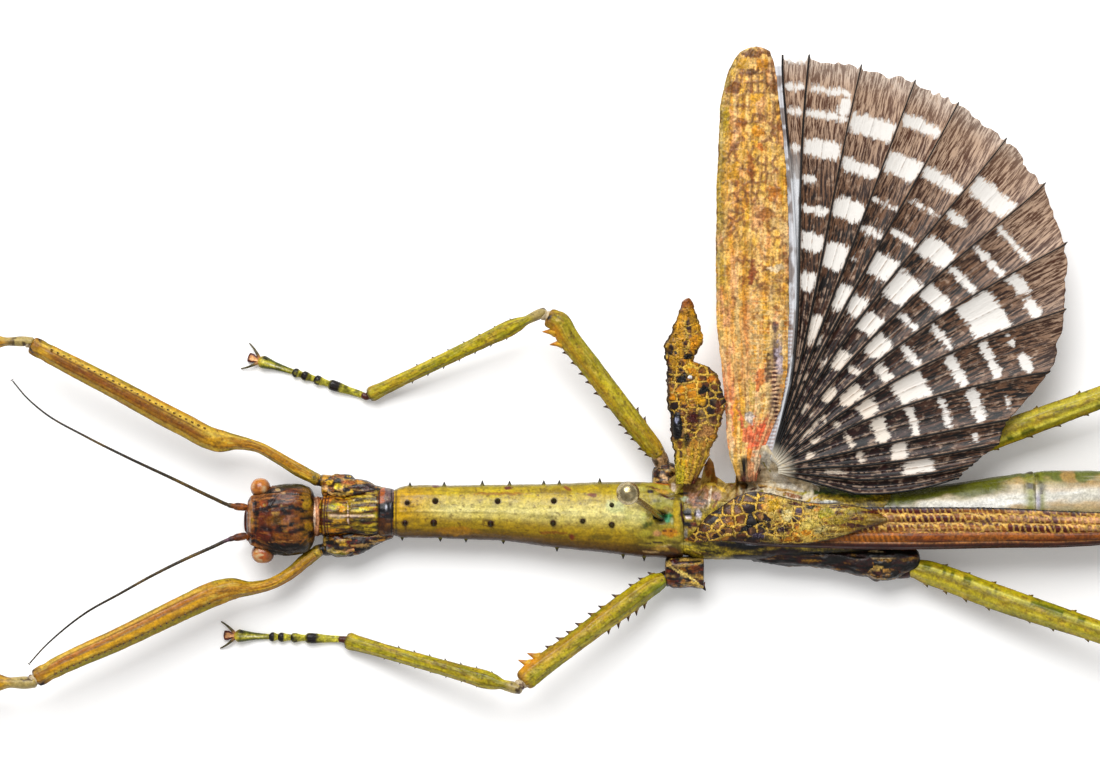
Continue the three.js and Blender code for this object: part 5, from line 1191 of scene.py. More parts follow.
# ---- legs ----------------------------------------------------------------------------------
# Femur rows are x, y, z, half width, half height. Headings are in degrees from the tail's
# direction. A tibia has a heading, a length and a half width, and a tarsus a heading and a length.
# Outer and inner list the teeth of each side, as shares of the femur's length.
LEGS = {
    "fore_right": {
        "coxa": (-26.7, 3.85, 3.1), "coxa_size": (2.4, 1.15, 1.9),
        "femur": [
            (-29.9, 4.3, 3.2, 0.75, 1.1), (-32.4, 5.6, 3.5, 0.85, 1.15), (-35.0, 7.2, 3.9, 0.75, 1.05),
            (-37.4, 8.5, 4.2, 0.72, 1.0), (-40.1, 9.15, 4.5, 0.95, 1.15), (-42.7, 9.4, 4.8, 1.5, 1.3),
            (-47.3, 11.6, 5.3, 1.5, 1.3), (-55.8, 16.2, 6.3, 1.38, 1.3), (-64.0, 20.5, 7.2, 1.22, 1.2),
            (-66.1, 21.6, 7.3, 1.1, 1.1),
        ],
        "outer": (), "inner": (),
        "tibia": (181, 45, 0.85), "tarsus": (183, 14.5),
    },
    "fore_left": {
        "coxa": (-26.5, -4.4, 3.1), "coxa_size": (2.4, 1.25, 1.9),
        "femur": [
            (-29.6, -4.7, 3.2, 0.75, 1.1), (-31.4, -6.0, 3.4, 0.88, 1.15), (-33.3, -7.6, 3.7, 0.8, 1.1),
            (-35.8, -9.0, 4.0, 0.76, 1.05), (-38.5, -9.6, 4.3, 0.92, 1.15), (-40.9, -9.65, 4.6, 1.45, 1.3),
            (-43.2, -10.3, 4.9, 1.66, 1.3), (-46.5, -11.8, 5.2, 1.62, 1.3), (-54.9, -15.85, 6.2, 1.48, 1.3),
            (-63.2, -19.6, 7.1, 1.28, 1.2), (-65.6, -20.9, 7.3, 1.15, 1.1),
        ],
        "outer": (), "inner": (),
        "tibia": (180, 45, 1.05), "tarsus": (178, 14.5),
    },
    "mid_right": {
        "coxa": (15.0, 5.1, 2.6), "coxa_size": (2.0, 1.4, 1.9),
        "femur": [
            (13.9, 7.7, 3.4, 0.95, 1.2), (13.1, 8.7, 3.7, 1.25, 1.25), (10.3, 12.2, 4.7, 1.36, 1.4),
            (5.2, 18.9, 6.1, 1.38, 1.35), (2.2, 22.8, 6.8, 1.45, 1.3), (1.15, 24.55, 7.05, 1.45, 1.2),
            (-0.08, 25.16, 7.1, 1.15, 1.05),
        ],
        "outer": (0.03, 0.08, 0.153, 0.2, 0.26, 0.39, 0.485, 0.566, 0.626, 0.704, 0.778, 0.842, 0.914),
        "inner": (0.2, 0.27),
        "tibia": (205.3, 24.4, 0.93), "tarsus": (161.5, 16.1),
    },
    "mid_left": {
        "coxa": (17.2, -7.9, 3.0), "coxa_size": (2.2, 1.65, 2.1),
        "femur": [
            (14.5, -8.5, 3.4, 0.95, 1.2), (13.3, -9.1, 3.7, 1.35, 1.3), (9.8, -11.55, 4.6, 1.5, 1.4),
            (6.5, -13.9, 5.35, 1.43, 1.35), (3.05, -16.5, 6.0, 1.36, 1.3), (-0.25, -18.85, 6.6, 1.45, 1.3),
            (-2.7, -20.75, 7.0, 1.52, 1.2), (-3.31, -21.33, 7.1, 1.25, 1.1),
        ],
        "outer": (0.17, 0.23, 0.29, 0.36, 0.43),
        "inner": (0.043, 0.099, 0.166, 0.278, 0.384, 0.453, 0.547, 0.62, 0.688, 0.77, 0.858, 0.923),
        "tibia": (165.3, 22.6, 1.05), "tarsus": (178, 15.5),
    },
    "hind_right": {
        "coxa": (43.4, 4.9, 3.0), "coxa_size": (3.0, 1.35, 2.2),
        "femur": [
            (46.9, 6.0, 3.0, 1.2, 1.3), (49.2, 6.9, 3.2, 1.6, 1.5), (57.0, 9.9, 4.2, 1.68, 1.5),
            (69.0, 14.4, 6.4, 1.48, 1.4), (79.5, 18.4, 8.0, 1.25, 1.3), (82.6, 19.5, 8.2, 1.1, 1.1),
        ],
        "outer": (0.3, 0.45, 0.6, 0.75, 0.88), "inner": (0.28, 0.4, 0.5, 0.6, 0.7, 0.8, 0.9),
        "tibia": (5, 45, 0.95), "tarsus": (8, 14),
    },
    "hind_left": {
        "coxa": (43.0, -7.3, 3.0), "coxa_size": (3.1, 1.35, 2.2),
        "femur": [
            (46.7, -7.0, 3.0, 1.2, 1.3), (49.0, -7.7, 3.2, 1.6, 1.5), (57.5, -10.8, 4.2, 1.7, 1.5),
            (69.5, -14.8, 6.4, 1.48, 1.4), (80.2, -18.4, 8.0, 1.25, 1.3), (83.3, -19.4, 8.2, 1.1, 1.1),
        ],
        "outer": (0.1, 0.18, 0.27, 0.4, 0.55, 0.7, 0.85),
        "inner": (0.06, 0.13, 0.2, 0.28, 0.42, 0.5, 0.62, 0.75, 0.88),
        "tibia": (-4, 45, 0.95), "tarsus": (-7, 14),
    },
}
TOOTH_TIPS = {"mid": rgb(70, 34, 20), "hind": rgb(110, 96, 40)}
GAP = 0.3               # between a femur's end and the tibia, and between the tibia and the foot
ANKLE_Z = 0.93          # height of the tibia's end over the floor
TOOTH = {"mid_right": 0.6, "mid_left": 0.72, "hind_right": 0.42, "hind_left": 0.42}
KNEE_TOOTH = 1.3        # the two largest teeth, next to a middle knee
TARSUS_SHARES = (0.34, 0.13, 0.12, 0.08, 0.33)
TARSUS_HIGH = (0.68, 0.62, 0.6, 0.6, 0.6)
CLAW = 2.3
CLAW_ARC = 1.15         # length of a claw's line, as a share of CLAW
CLAW_PAST_FOOT = 0.7    # share of CLAW that the claws reach past the last joint
KEELS = (20, 62, 118, 160, -35, -90, -145)      # angles of a femur's lengthwise ridges


def keels(tube, half=7):
    return sum(bump((tube.angle - keel + 180) % 360 - 180, 0, half) for keel in KEELS)


def unrolled(tube, degrees):
    """Places on a tube's skin laid flat: millimetres along, and turns of so many degrees round it."""
    return np.stack([tube.along, tube.angle / degrees, 0 * tube.along], axis=-1)


def paint_limb(tube, pair, seed):
    """Soft bands along a limb: ochre in front of the head, yellow-green behind."""
    a = tube.angle
    lengthwise = grain(unrolled(tube, 34), (9.0, 1.0, 1), seed, 3)
    patchy = grain(unrolled(tube, 26), (1.6, 1.0, 1), seed + 3, 3)
    if pair == "fore":
        colour = plain(tube, rgb(206, 154, 46))
        colour = over(colour, rgb(176, 118, 36), ease(0.0, 0.5, lengthwise) * 0.7)
        colour = over(colour, rgb(226, 188, 76), ease(0.1, 0.5, -lengthwise) * 0.7)
        green = ease(60, 20, a) + ease(120, 160, a)
        colour = over(colour, rgb(156, 148, 52), green * ease(-0.2, 0.4, patchy) * 0.7)
    else:
        colour = plain(tube, rgb(190, 172, 34))
        colour = over(colour, rgb(150, 138, 32), ease(0.0, 0.5, lengthwise) * 0.7)
        colour = over(colour, rgb(212, 192, 62), ease(0.1, 0.5, -lengthwise) * 0.7)
        colour = over(colour, rgb(206, 164, 66), ease(0.2, 0.6, patchy) * 0.5)
        colour = over(colour, rgb(128, 134, 44), ease(0.2, 0.6, -patchy) * 0.5)
    colour = over(colour, colour * 0.5, keels(tube, 5) * 0.45)
    threads = grain(unrolled(tube, 9), (1.3, 0.8, 1), seed + 7, 2)
    colour = over(colour, rgb(112, 84, 28), ease(0.25, 0.55, threads) * 0.5)
    shown = ease(30, 60, a) * ease(150, 120, a)
    colour = over(colour, rgb(224, 206, 100), ease(0.3, 0.6, -threads) * shown * 0.4)
    flecks = ease(0.4, 0.6, grain(unrolled(tube, 13), (0.4, 1.0, 1), seed + 9, 2))
    colour = over(colour, rgb(84, 60, 24), flecks * 0.5)
    # Painted shade where the limb turns down at its sides and underside.
    edge = ease(0.45, 0.05, np.sin(np.radians(a)))
    return over(colour, rgb(104, 76, 24), edge * 0.75)


def limb_point(rows, share):
    """Place, direction and half width of a limb at a share of the length of its rows."""
    rows = np.array(rows)
    step = np.linalg.norm(np.diff(rows[:, :3], axis=0), axis=1)
    reach = np.concatenate([[0], np.cumsum(step)])
    i = int(np.clip(np.searchsorted(reach, share * reach[-1]) - 1, 0, len(step) - 1))
    t = (share * reach[-1] - reach[i]) / step[i]
    row = rows[i] + (rows[i + 1] - rows[i]) * t
    return row[:3], (rows[i + 1, :3] - rows[i, :3]) / step[i], row[3]


def build_coxa(name, leg, pair):
    centre, size = np.array(leg["coxa"]), np.array(leg["coxa_size"])
    hand = 1 if centre[1] > 0 else -1
    x, y, z = centre
    front = 0.95 if pair == "fore" else 0.72
    rows = [
        (x - size[0] * front, y - hand * 0.3, z, size[1] * 0.74, size[2] * 0.74),
        (x - size[0] * 0.4, y, z, size[1] * 0.98, size[2] * 0.95), (x, y, z, size[1], size[2]),
        (x + size[0] * 0.4, y - hand * 0.1, z, size[1] * 0.95, size[2] * 0.92),
        (x + size[0] * 0.75, y - hand * 0.4, z, size[1] * 0.66, size[2] * 0.7),
    ]
    ends = (size[0] * 0.2, size[0] * 0.25)
    if name == "mid_left":                  # a block with square corners
        rows = [
            (x - 2.2, y + 0.1, z, size[1] * 0.8, size[2] * 0.8), (x - 1.2, y, z, size[1], size[2]),
            (x + 1.0, y, z, size[1], size[2]), (x + 2.5, y - 0.1, z, size[1] * 1.05, size[2] * 0.9),
        ]
        ends = (0.2, 0.12)
    body = Tube(rows, 90, 90, power=3.2, upright=True, ends=ends)
    inward = -hand * body.out[..., 1]
    body.raise_by(0.7 * ease(0.1, 0.8, inward))
    height = 0.2 * grain(body.points, (1.2, 0.6, 0.9), 61, 3) + 0.1 * bump(body.angle, 90 - hand * 25, 10)
    height += 0.1 * bump(np.abs(body.angle), 20, 9) - 0.1 * bump(body.angle, 90 + hand * 12, 8)
    body.raise_by(height)
    slope = np.stack([body.x + 1.2 * body.y * hand, body.y, body.z], axis=-1)
    lines = grain(slope, (2.4, 0.4, 0.8), 62, 3)
    colour = patchwork(body.points, (1.1, 0.6), 60 + len(name), COXA_TONES[name])
    colour = over(colour, rgb(30, 18, 12), ease(0.1, 0.4, -lines) * 0.7)
    colour = over(colour, rgb(226, 186, 100), ease(0.28, 0.45, lines) * 0.5)
    colour = spots(colour, body.points, COXA_MARKS.get(name, []), 0.3)
    # Painted shade where the hip turns down at its sides and underside.
    colour = over(colour, rgb(28, 16, 12), ease(0.5, 0.12, np.sin(np.radians(body.angle))) * 0.85)
    shape = body.to(Shape(), paint=colour)
    first, way, wide = limb_point(leg["femur"], 0.0)
    joint = [
        (*(centre + (first - centre) * 0.3), wide * 1.0, 1.1),
        (*(centre + (first - centre) * 0.7), wide * 1.1, 1.15),
        (*(first - way * 0.1), wide * 1.12, 1.2), (*(first + way * 0.9), wide * 1.02, 1.15),
    ]
    ring = Tube(joint, 40, 50, ends=(0.1, 0.2))
    ring.raise_by(-0.14 * bump(ring.share, 0.62, 0.08) + 0.05 * grain(ring.points, 0.7, 64))
    colour = over(plain(ring, COXA_TONES[name][0]), rgb(186, 156, 66), ease(0.5, 0.9, ring.share))
    black = 0.0 if name == "mid_right" else bump(ring.share, 0.62, 0.1)
    colour = over(colour, BLACK, black + ease(0.15, 0.45, grain(ring.points, 0.8, 65)) * 0.8)
    ring.to(shape, paint=colour)
    if name == "mid_left":
        prickle(shape, (19.6, -9.3, 3.4), (0.5, -0.7, 0), 0.8, 0.4, rgb(110, 62, 30))
    made(f"Coxa_{name}", shape, chitin(f"Coxa_shell_{name}", 0.42, 0.15), "coxa", f"leg_{name}_coxa")


COXA_TONES = {
    "fore_right": [
        rgb(190, 140, 56), rgb(206, 168, 66), rgb(176, 112, 64),
        rgb(130, 84, 36), rgb(64, 42, 24), rgb(206, 160, 100),
    ],
    "fore_left": [
        rgb(122, 88, 40), rgb(140, 112, 54), rgb(62, 40, 20),
        rgb(104, 64, 30), rgb(46, 30, 18), rgb(180, 140, 82),
    ],
    "mid_right": [rgb(170, 134, 96), rgb(196, 160, 120), rgb(120, 84, 56), rgb(96, 66, 44)],
    "mid_left": [rgb(84, 46, 22), rgb(110, 62, 30), rgb(52, 30, 18), rgb(140, 96, 44)],
    "hind_right": [rgb(96, 62, 28), rgb(130, 100, 44), rgb(60, 36, 20), rgb(166, 130, 66)],
    "hind_left": [rgb(80, 46, 24), rgb(52, 30, 18), rgb(126, 88, 44), rgb(160, 120, 70)],
}
# Markings of the hips: x, y, half length, half width, turn, colour.
COXA_MARKS = {
    "mid_left": [
        (16.3, -7.3, 1.5, 0.14, -36, rgb(226, 196, 116)), (17.8, -8.0, 1.7, 0.16, -34, rgb(232, 202, 110)),
        (18.6, -7.0, 0.8, 0.5, 0, rgb(130, 78, 40)), (19.0, -9.2, 0.9, 0.3, -30, rgb(216, 180, 90)),
        (15.5, -8.8, 0.6, 0.4, 0, rgb(116, 70, 38)),
    ],
    "fore_right": [
        (-29.15, 4.65, 0.3, 0.3, 0, BLACK), (-28.4, 4.1, 0.6, 0.3, 20, rgb(222, 178, 70)),
        (-27.2, 4.4, 0.5, 0.32, -10, rgb(34, 20, 32)), (-27.2, 3.9, 0.45, 0.12, 0, rgb(214, 150, 150)),
        (-27.15, 3.45, 0.55, 0.4, 0, rgb(232, 204, 70)), (-29.0, 3.4, 0.5, 0.3, 0, rgb(226, 176, 120)),
        (-25.6, 4.05, 1.2, 0.3, -8, rgb(190, 116, 72)), (-24.9, 3.65, 0.5, 0.22, 0, rgb(40, 36, 34)),
        (-26.2, 3.1, 0.6, 0.3, 0, rgb(60, 40, 24)), (-25.6, 4.55, 1.2, 0.14, -8, BLACK),
    ],
    "fore_left": [
        (-28.4, -3.75, 0.7, 0.3, 0, BLACK), (-26.6, -3.9, 0.5, 0.3, 0, rgb(190, 146, 60)),
        (-25.3, -3.6, 1.0, 0.3, 4, rgb(126, 56, 30)), (-23.8, -4.0, 0.6, 0.5, 10, rgb(40, 22, 18)),
        (-28.0, -4.8, 0.7, 0.4, 6, rgb(150, 130, 70)), (-27.0, -5.2, 0.9, 0.3, 6, rgb(112, 106, 50)),
        (-25.6, -4.7, 0.9, 0.14, 12, rgb(206, 150, 104)), (-25.3, -5.2, 1.0, 0.3, 12, rgb(70, 40, 22)),
    ],
}


def build_femur(name, leg, pair, seed):
    tube = Tube(leg["femur"], 260, 64, ends=(0.35, 0.4))
    share = tube.share
    height = 0.1 * keels(tube) - 0.05
    height += 0.03 * grain(unrolled(tube, 12), (0.8, 1, 1), seed, 3)
    height += 0.1 * bump(share, 0.975, 0.02) * bump(np.abs(np.sin(np.radians(tube.angle))), 0, 0.5)
    height -= 0.06 * bump(share, 0.95, 0.012)
    tube.raise_by(height * ease(0, 0.03, share) * ease(1.02, 0.99, share))
    colour = paint_limb(tube, pair, seed)
    # Degrees from the top of the femur; positive towards the body's middle.
    from_top = (tube.angle - 90) * (1 if "right" in name else -1)
    blade = ease(0.36, 0.44, share) * ease(0.97, 0.9, share)
    if name == "fore_right":
        colour = over(colour, rgb(136, 82, 34), bump(from_top, -4, 20) * blade * 0.85)
        for line, dark in ((-26, 0.8), (18, 0.8), (4, 0.4), (-12, 0.4)):
            colour = over(colour, rgb(92, 54, 20), bump(from_top, line, 4) * blade * dark)
        colour = over(colour, rgb(232, 192, 84), bump(from_top, 36, 9) * ease(0.3, 0.4, share) * 0.85)
        colour = over(colour, rgb(214, 176, 66), bump(from_top, -48, 12) * blade * 0.7)
    elif name == "fore_left":
        colour = over(colour, rgb(226, 168, 46), bump(from_top, 4, 12) * blade * 0.9)
        colour = over(colour, rgb(164, 152, 56), bump(from_top, 52, 24) * blade * 0.8)
        colour = over(colour, rgb(186, 112, 36), bump(from_top, -22, 10) * blade * 0.8)
        colour = over(colour, rgb(230, 186, 88), bump(from_top, -50, 9) * blade * 0.8)
        for line, dark in ((-10, 0.8), (26, 0.7), (-38, 0.7)):
            colour = over(colour, rgb(84, 54, 20), bump(from_top, line, 4) * blade * dark)
    elif pair == "mid":
        toothed = -from_top
        colour = over(
            colour, rgb(196, 138, 56), bump(toothed, 30, 24) * (0.4 + 0.4 * ease(0.2, 0.6, share)) * 0.6,
        )
        colour = over(colour, rgb(224, 142, 44), bump(share, 0.9, 0.07) * ease(10, 60, toothed) * 0.85)
        tint = rgb(206, 160, 24) if name == "mid_right" else rgb(116, 132, 20)
        colour = over(colour, tint, bump(share, 0.05, 0.13) * ease(20, -30, toothed) * 0.75)
        dots = ease(0.2, 0.5, grain(unrolled(tube, 12), (0.5, 1, 1), seed + 11))
        colour = over(colour, rgb(216, 184, 90), dots * bump(from_top, 0, 14) * 0.5)
    else:
        colour = over(colour, rgb(132, 112, 60), bump(from_top, 0, 9) * 0.6)
        spotted = ease(
            0.15, 0.4, grain(np.stack([tube.along, 0 * share, 0 * share], axis=-1), 1.1, seed + 12, 2),
        )
        colour = over(colour, rgb(96, 110, 22), bump(from_top, 34, 16) * spotted * 0.8)
        colour = over(colour, rgb(232, 222, 96), bump(from_top, 26, 10) * (1 - spotted) * 0.7)
        colour = over(colour, rgb(214, 200, 84), bump(from_top, -36, 14) * 0.6)
    colour = over(colour, rgb(150, 104, 56), ease(0.955, 0.985, share) * 0.7)
    apex = ease(0.965, 0.985, share) * ease(0.0, 0.35, grain(tube.points, 0.7, seed))
    colour = over(colour, rgb(46, 28, 30), apex)
    shape = tube.to(Shape(), paint=colour)
    rows = leg["femur"]
    for shares, hand in ((leg["outer"], 1), (leg["inner"], -1)):
        for i, at in enumerate(shares):
            place, way, wide = limb_point(rows, at)
            side = np.array([-way[1], way[0], 0]) * hand
            side /= np.linalg.norm(side)
            big = pair == "mid" and len(shares) > 6 and i >= len(shares) - 2
            length = KNEE_TOOTH if big else TOOTH[name] * (0.85 + 0.3 * scatter(np.array([i, seed, hand]), 2))
            skin = rgb(228, 176, 66) if big else rgb(150, 116, 40)
            tip = rgb(196, 128, 50) if big else TOOTH_TIPS[pair]
            thick = 0.5 if big else 0.3
            prickle(shape, place + side * (wide - 0.12), side + 0.6 * way, length, thick, skin, tip)
    if pair == "fore":
        fore_serration(shape, rows, name)
    made(
        f"Femur_{name}", shape, chitin(f"Femur_shell_{name}", 0.4, 0.15, 0.16, dimple=0.14), "femur",
        f"leg_{name}_femur",
    )


def fore_serration(shape, rows, name):
    """Fine saw teeth along the upper keel of a fore femur."""
    hand = -1 if "right" in name else 1
    for i in range(26):
        place, way, wide = limb_point(rows, 0.4 + 0.54 * i / 25)
        side = np.array([-way[1], way[0], 0]) * hand
        root = place + side * wide * 0.5 + np.array([0, 0, 1.08])
        prickle(shape, root, side * 0.4 + 0.5 * way + np.array([0, 0, 0.8]), 0.26, 0.15, rgb(150, 112, 40))


def pointing(heading):
    """The level direction so many degrees from the tail's."""
    turn = np.radians(heading)
    return np.array([np.cos(turn), np.sin(turn), 0])


def leg_line(leg):
    """Start of the tibia, the way it points, its end and its half width."""
    rows = np.array(leg["femur"])
    end = (rows[-1, :3] - rows[-2, :3]) / np.linalg.norm(rows[-1, :3] - rows[-2, :3])
    heading, length, wide = leg["tibia"]
    way = pointing(heading)
    start = rows[-1, :3] + end * (GAP + wide)
    finish = start + way * length
    finish[2] = ANKLE_Z
    return start, way, finish, wide


def build_tibia(name, leg, pair, seed):
    start, way, finish, wide = leg_line(leg)
    knee = np.array(leg["femur"][-1][:3])
    outline = [
        (-0.02, 0.62), (0.015, 0.72), (0.04, 0.7), (0.075, 0.62), (0.13, 0.98), (0.19, 1.16), (0.3, 1.04),
        (0.5, 0.95), (0.75, 0.9), (0.93, 0.98), (0.985, 1.1), (1.0, 0.95),
    ]
    if pair == "fore":
        outline = [
            (-0.02, 0.62), (0.01, 0.78), (0.03, 0.72), (0.05, 0.66), (0.09, 1.1), (0.14, 1.15), (0.3, 0.95),
            (0.6, 0.88), (0.93, 0.95), (0.985, 1.1), (1.0, 0.95),
        ]
    rows = [(*(start + (finish - start) * s), wide * w, wide * (0.75 + 0.25 * w)) for s, w in outline]
    tube = Tube(rows, 230, 52, ends=(0.3, 0.25))
    share = tube.share
    height = 0.08 * keels(tube) - 0.04
    height += 0.03 * grain(unrolled(tube, 12), (0.8, 1, 1), seed, 3)
    tube.raise_by(height * ease(0.05, 0.1, share) * ease(1.01, 0.99, share))
    colour = paint_limb(tube, "fore" if pair == "fore" else "rear", seed + 20)
    colour = over(colour, rgb(186, 164, 104), ease(0.1, 0.05, share))
    spotty = ease(0.1, 0.4, grain(tube.points, 0.7, seed + 5))
    colour = over(colour, rgb(70, 42, 34), spotty * ease(0.09, 0.05, share) * 0.85)
    colour = over(colour, rgb(64, 44, 28), ease(0.975, 0.992, share) * 0.75)
    shape = tube.to(Shape(), paint=colour)
    hinge = Tube([
        (*(knee - way * 0.2), wide * 0.7, wide * 0.8), (*((knee + start) / 2), wide * 0.72, wide * 0.8),
        (*start, wide * 0.62, wide * 0.75), (*(start + way * 0.8), wide * 0.55, wide * 0.7),
    ], 40, 40, ends=(0.3, 0.3))
    hinge.raise_by(0.06 * np.sin(hinge.along * 12) * bump(hinge.share, 0.4, 0.25))
    skin = over(
        plain(hinge, rgb(206, 186, 150)), rgb(90, 56, 42),
        ease(0.0, 0.4, grain(hinge.points, 0.7, seed + 6)),
    )
    hinge.to(shape, paint=skin)
    for i in range(9 if pair == "fore" else 7):
        at = 0.2 + 0.09 * i
        for hand in (1, -1):
            place, ahead, half = limb_point(rows, at + 0.03 * hand)
            side = np.array([-ahead[1], ahead[0], 0]) * hand
            root = place + side * half * 0.9 - np.array([0, 0, 0.35 * wide])
            prickle(shape, root, side + 0.6 * ahead, 0.36, 0.16, rgb(120, 104, 40))
    made(
        f"Tibia_{name}", shape, chitin(f"Tibia_shell_{name}", 0.4, 0.15, 0.16, dimple=0.14), "tibia",
        f"leg_{name}_tibia",
    )


def build_tarsus(name, leg, seed):
    _, way, finish, _ = leg_line(leg)
    heading, length = leg["tarsus"]
    ahead = pointing(heading)
    ankle = finish + way * (GAP + 0.25)
    reach = length - CLAW * CLAW_PAST_FOOT
    shape = Shape()
    ball = Tube([
        (*(finish - way * 0.6), 0.42, 0.42), (*(finish + way * 0.2), 0.5, 0.5), (*ankle, 0.46, 0.46),
        (*(ankle + ahead * 0.5), 0.4, 0.4),
    ], 24, 30, ends=(0.2, 0.2))
    ball.to(shape, paint=plain(ball, rgb(92, 60, 44)))
    along = 0.0
    for i, share in enumerate(TARSUS_SHARES):
        long, thick = share * reach, TARSUS_HIGH[i]
        first = ankle + ahead * along * reach
        final = i == len(TARSUS_SHARES) - 1
        outline = [(0.0, 0.55), (0.12, 0.66), (0.45, 0.74), (0.8, 1.0), (0.96, 1.04), (1.02, 0.8)]
        if final:
            outline = [(0.0, 0.55), (0.15, 0.62), (0.5, 0.84), (0.8, 1.25), (0.92, 1.42), (1.0, 1.0)]
        rows = []
        for s, w in outline:
            x, y, _ = first + ahead * long * s
            high = thick * w
            rows.append((x, y, max(0.08, high * 0.86), high * 0.98, high * 0.86))
        joint = Tube(rows, int(20 + long * 8), 40, ends=(0.12, 0.16))
        joint.raise_by(-0.05 * bump(joint.angle, 90, 14) * thick + 0.02 * grain(joint.points, 0.5, seed + i))
        aside = np.abs(np.cos(np.radians(joint.angle)))
        patches = ease(0, 0.5, grain(joint.points, 0.8, seed + i))
        colour = over(plain(joint, rgb(196, 186, 72)), rgb(134, 128, 52), patches)
        dark = ease(0.62, 0.76, joint.share) * ease(1.0, 0.9, joint.share)
        if final:
            dark = bump(joint.share, 0.84, 0.08) * ease(100, 130, joint.angle) * 0.9
            colour = over(
                colour, rgb(74, 86, 48), ease(0.12, 0.3, joint.share) * ease(0.35, 0.6, aside) * 0.85,
            )
            # Near-white where the last joint faces up or down: painted highlight.
            colour = over(
                colour, rgb(250, 246, 206), bump(joint.share, 0.5, 0.3) * ease(0.25, 0.05, aside) * 0.9,
            )
            colour = over(colour, rgb(222, 192, 66), ease(0.86, 0.93, joint.share) * 0.9)
        colour = over(
            colour, rgb(56, 34, 26), dark * ease(-0.6, 0.2, grain(joint.points, 0.6, seed + i) + 0.3),
        )
        joint.to(shape, paint=colour)
        if not final:                            # the sole pad under the joint's end
            x, y, _ = first + ahead * long * 0.78
            pad = Tube(
                [(x, y, 0.16, 0.32, 0.14), (*(np.array([x, y, 0.15]) + ahead * long * 0.2), 0.3, 0.13)],
                10, 24, ends=(0.14, 0.14),
            )
            pad.to(shape, paint=plain(pad, rgb(150, 124, 84)))
        along += share
    toe = ankle + ahead * reach
    build_claws(shape, toe, heading)
    made(
        f"Tarsus_{name}", shape, chitin(f"Tarsus_shell_{name}", 0.42, 0.12, 0.3), "tarsus",
        f"leg_{name}_tarsus",
    )


def build_claws(shape, toe, heading):
    ahead = pointing(heading)
    pad = Tube([
        (*(toe + ahead * 0.0)[:2], 0.55, 0.3, 0.35), (*(toe + ahead * 0.5)[:2], 0.5, 0.36, 0.32),
        (*(toe + ahead * 1.1)[:2], 0.42, 0.6, 0.28), (*(toe + ahead * 1.5)[:2], 0.36, 0.62, 0.2),
    ], 30, 32, power=2.6, ends=(0.1, 0.2))
    pad.raise_by(-0.1 * bump(pad.angle, 90, 22) + 0.04 * grain(pad.points, 0.3, 3))
    rim = ease(0.75, 0.95, pad.share) + ease(0.35, 0.6, np.abs(np.cos(np.radians(pad.angle))))
    pad.to(shape, paint=over(plain(pad, rgb(232, 172, 120)), rgb(96, 54, 40), rim))
    for hand in (1, -1):
        rows = []
        for s in np.linspace(0, 1, 9):
            turn = np.radians(heading + hand * (54 - 14 * s))
            x, y = toe[:2] + CLAW * CLAW_ARC * s * np.array([np.cos(turn), np.sin(turn)])
            thick = 0.22 * (1 - 0.75 * s) + 0.03
            rows.append((x, y, 0.62 + 0.25 * np.sin(np.pi * s) - 0.42 * s, thick, thick))
        claw = Tube(rows, 40, 20, ends=(0.1, 0.1))
        claw.to(
            shape,
            paint=over(plain(claw, rgb(214, 148, 96)), rgb(96, 88, 60), ease(0.1, 0.4, claw.share)),
        )


def build_legs():
    for i, (name, leg) in enumerate(LEGS.items()):
        pair = name.split("_")[0]
        build_coxa(name, leg, pair)
        build_femur(name, leg, pair, 100 + 7 * i)
        build_tibia(name, leg, pair, 140 + 7 * i)
        build_tarsus(name, leg, 180 + 7 * i)


# ---- fore wings ------------------------------------------------------------------------------
# Right fore wing rows: front x, rear x, y, z. Left fore wing rows: x, right y, left y, z of its middle.
TEGMEN_RIGHT = [
    (16.2, 18.5, 3.9, 6.6), (16.0, 19.8, 6.4, 7.0), (15.4, 21.6, 10.9, 7.8), (15.2, 22.3, 13.0, 8.1),
    (15.0, 22.4, 14.6, 8.2), (14.9, 21.4, 17.6, 8.5), (14.85, 20.5, 18.8, 8.6), (14.8, 18.4, 19.5, 8.6),
    (14.6, 18.5, 20.3, 8.6),
    (14.6, 19.1, 21.3, 8.7), (15.0, 19.5, 22.4, 8.7), (15.6, 19.4, 23.6, 8.7), (16.2, 18.8, 25.0, 8.7),
    (16.7, 18.4, 26.4, 8.7), (17.0, 18.0, 27.4, 8.7),
]
TEGMEN_LEFT = [
    (17.8, -2.7, -3.6, 7.1), (19.0, -1.7, -3.6, 7.5), (19.8, -0.6, -3.5, 7.8), (21.8, 0.9, -3.4, 8.1),
    (24.4, 2.5, -3.4, 8.4), (25.9, 2.9, -3.5, 8.5), (28.0, 2.7, -3.7, 8.5), (30.8, 2.0, -3.8, 8.5),
    (33.5, 1.5, -3.6, 8.5), (37.2, 1.3, -2.8, 8.4), (40.1, 0.8, -1.8, 8.3), (42.6, -0.1, -1.1, 8.2),
]
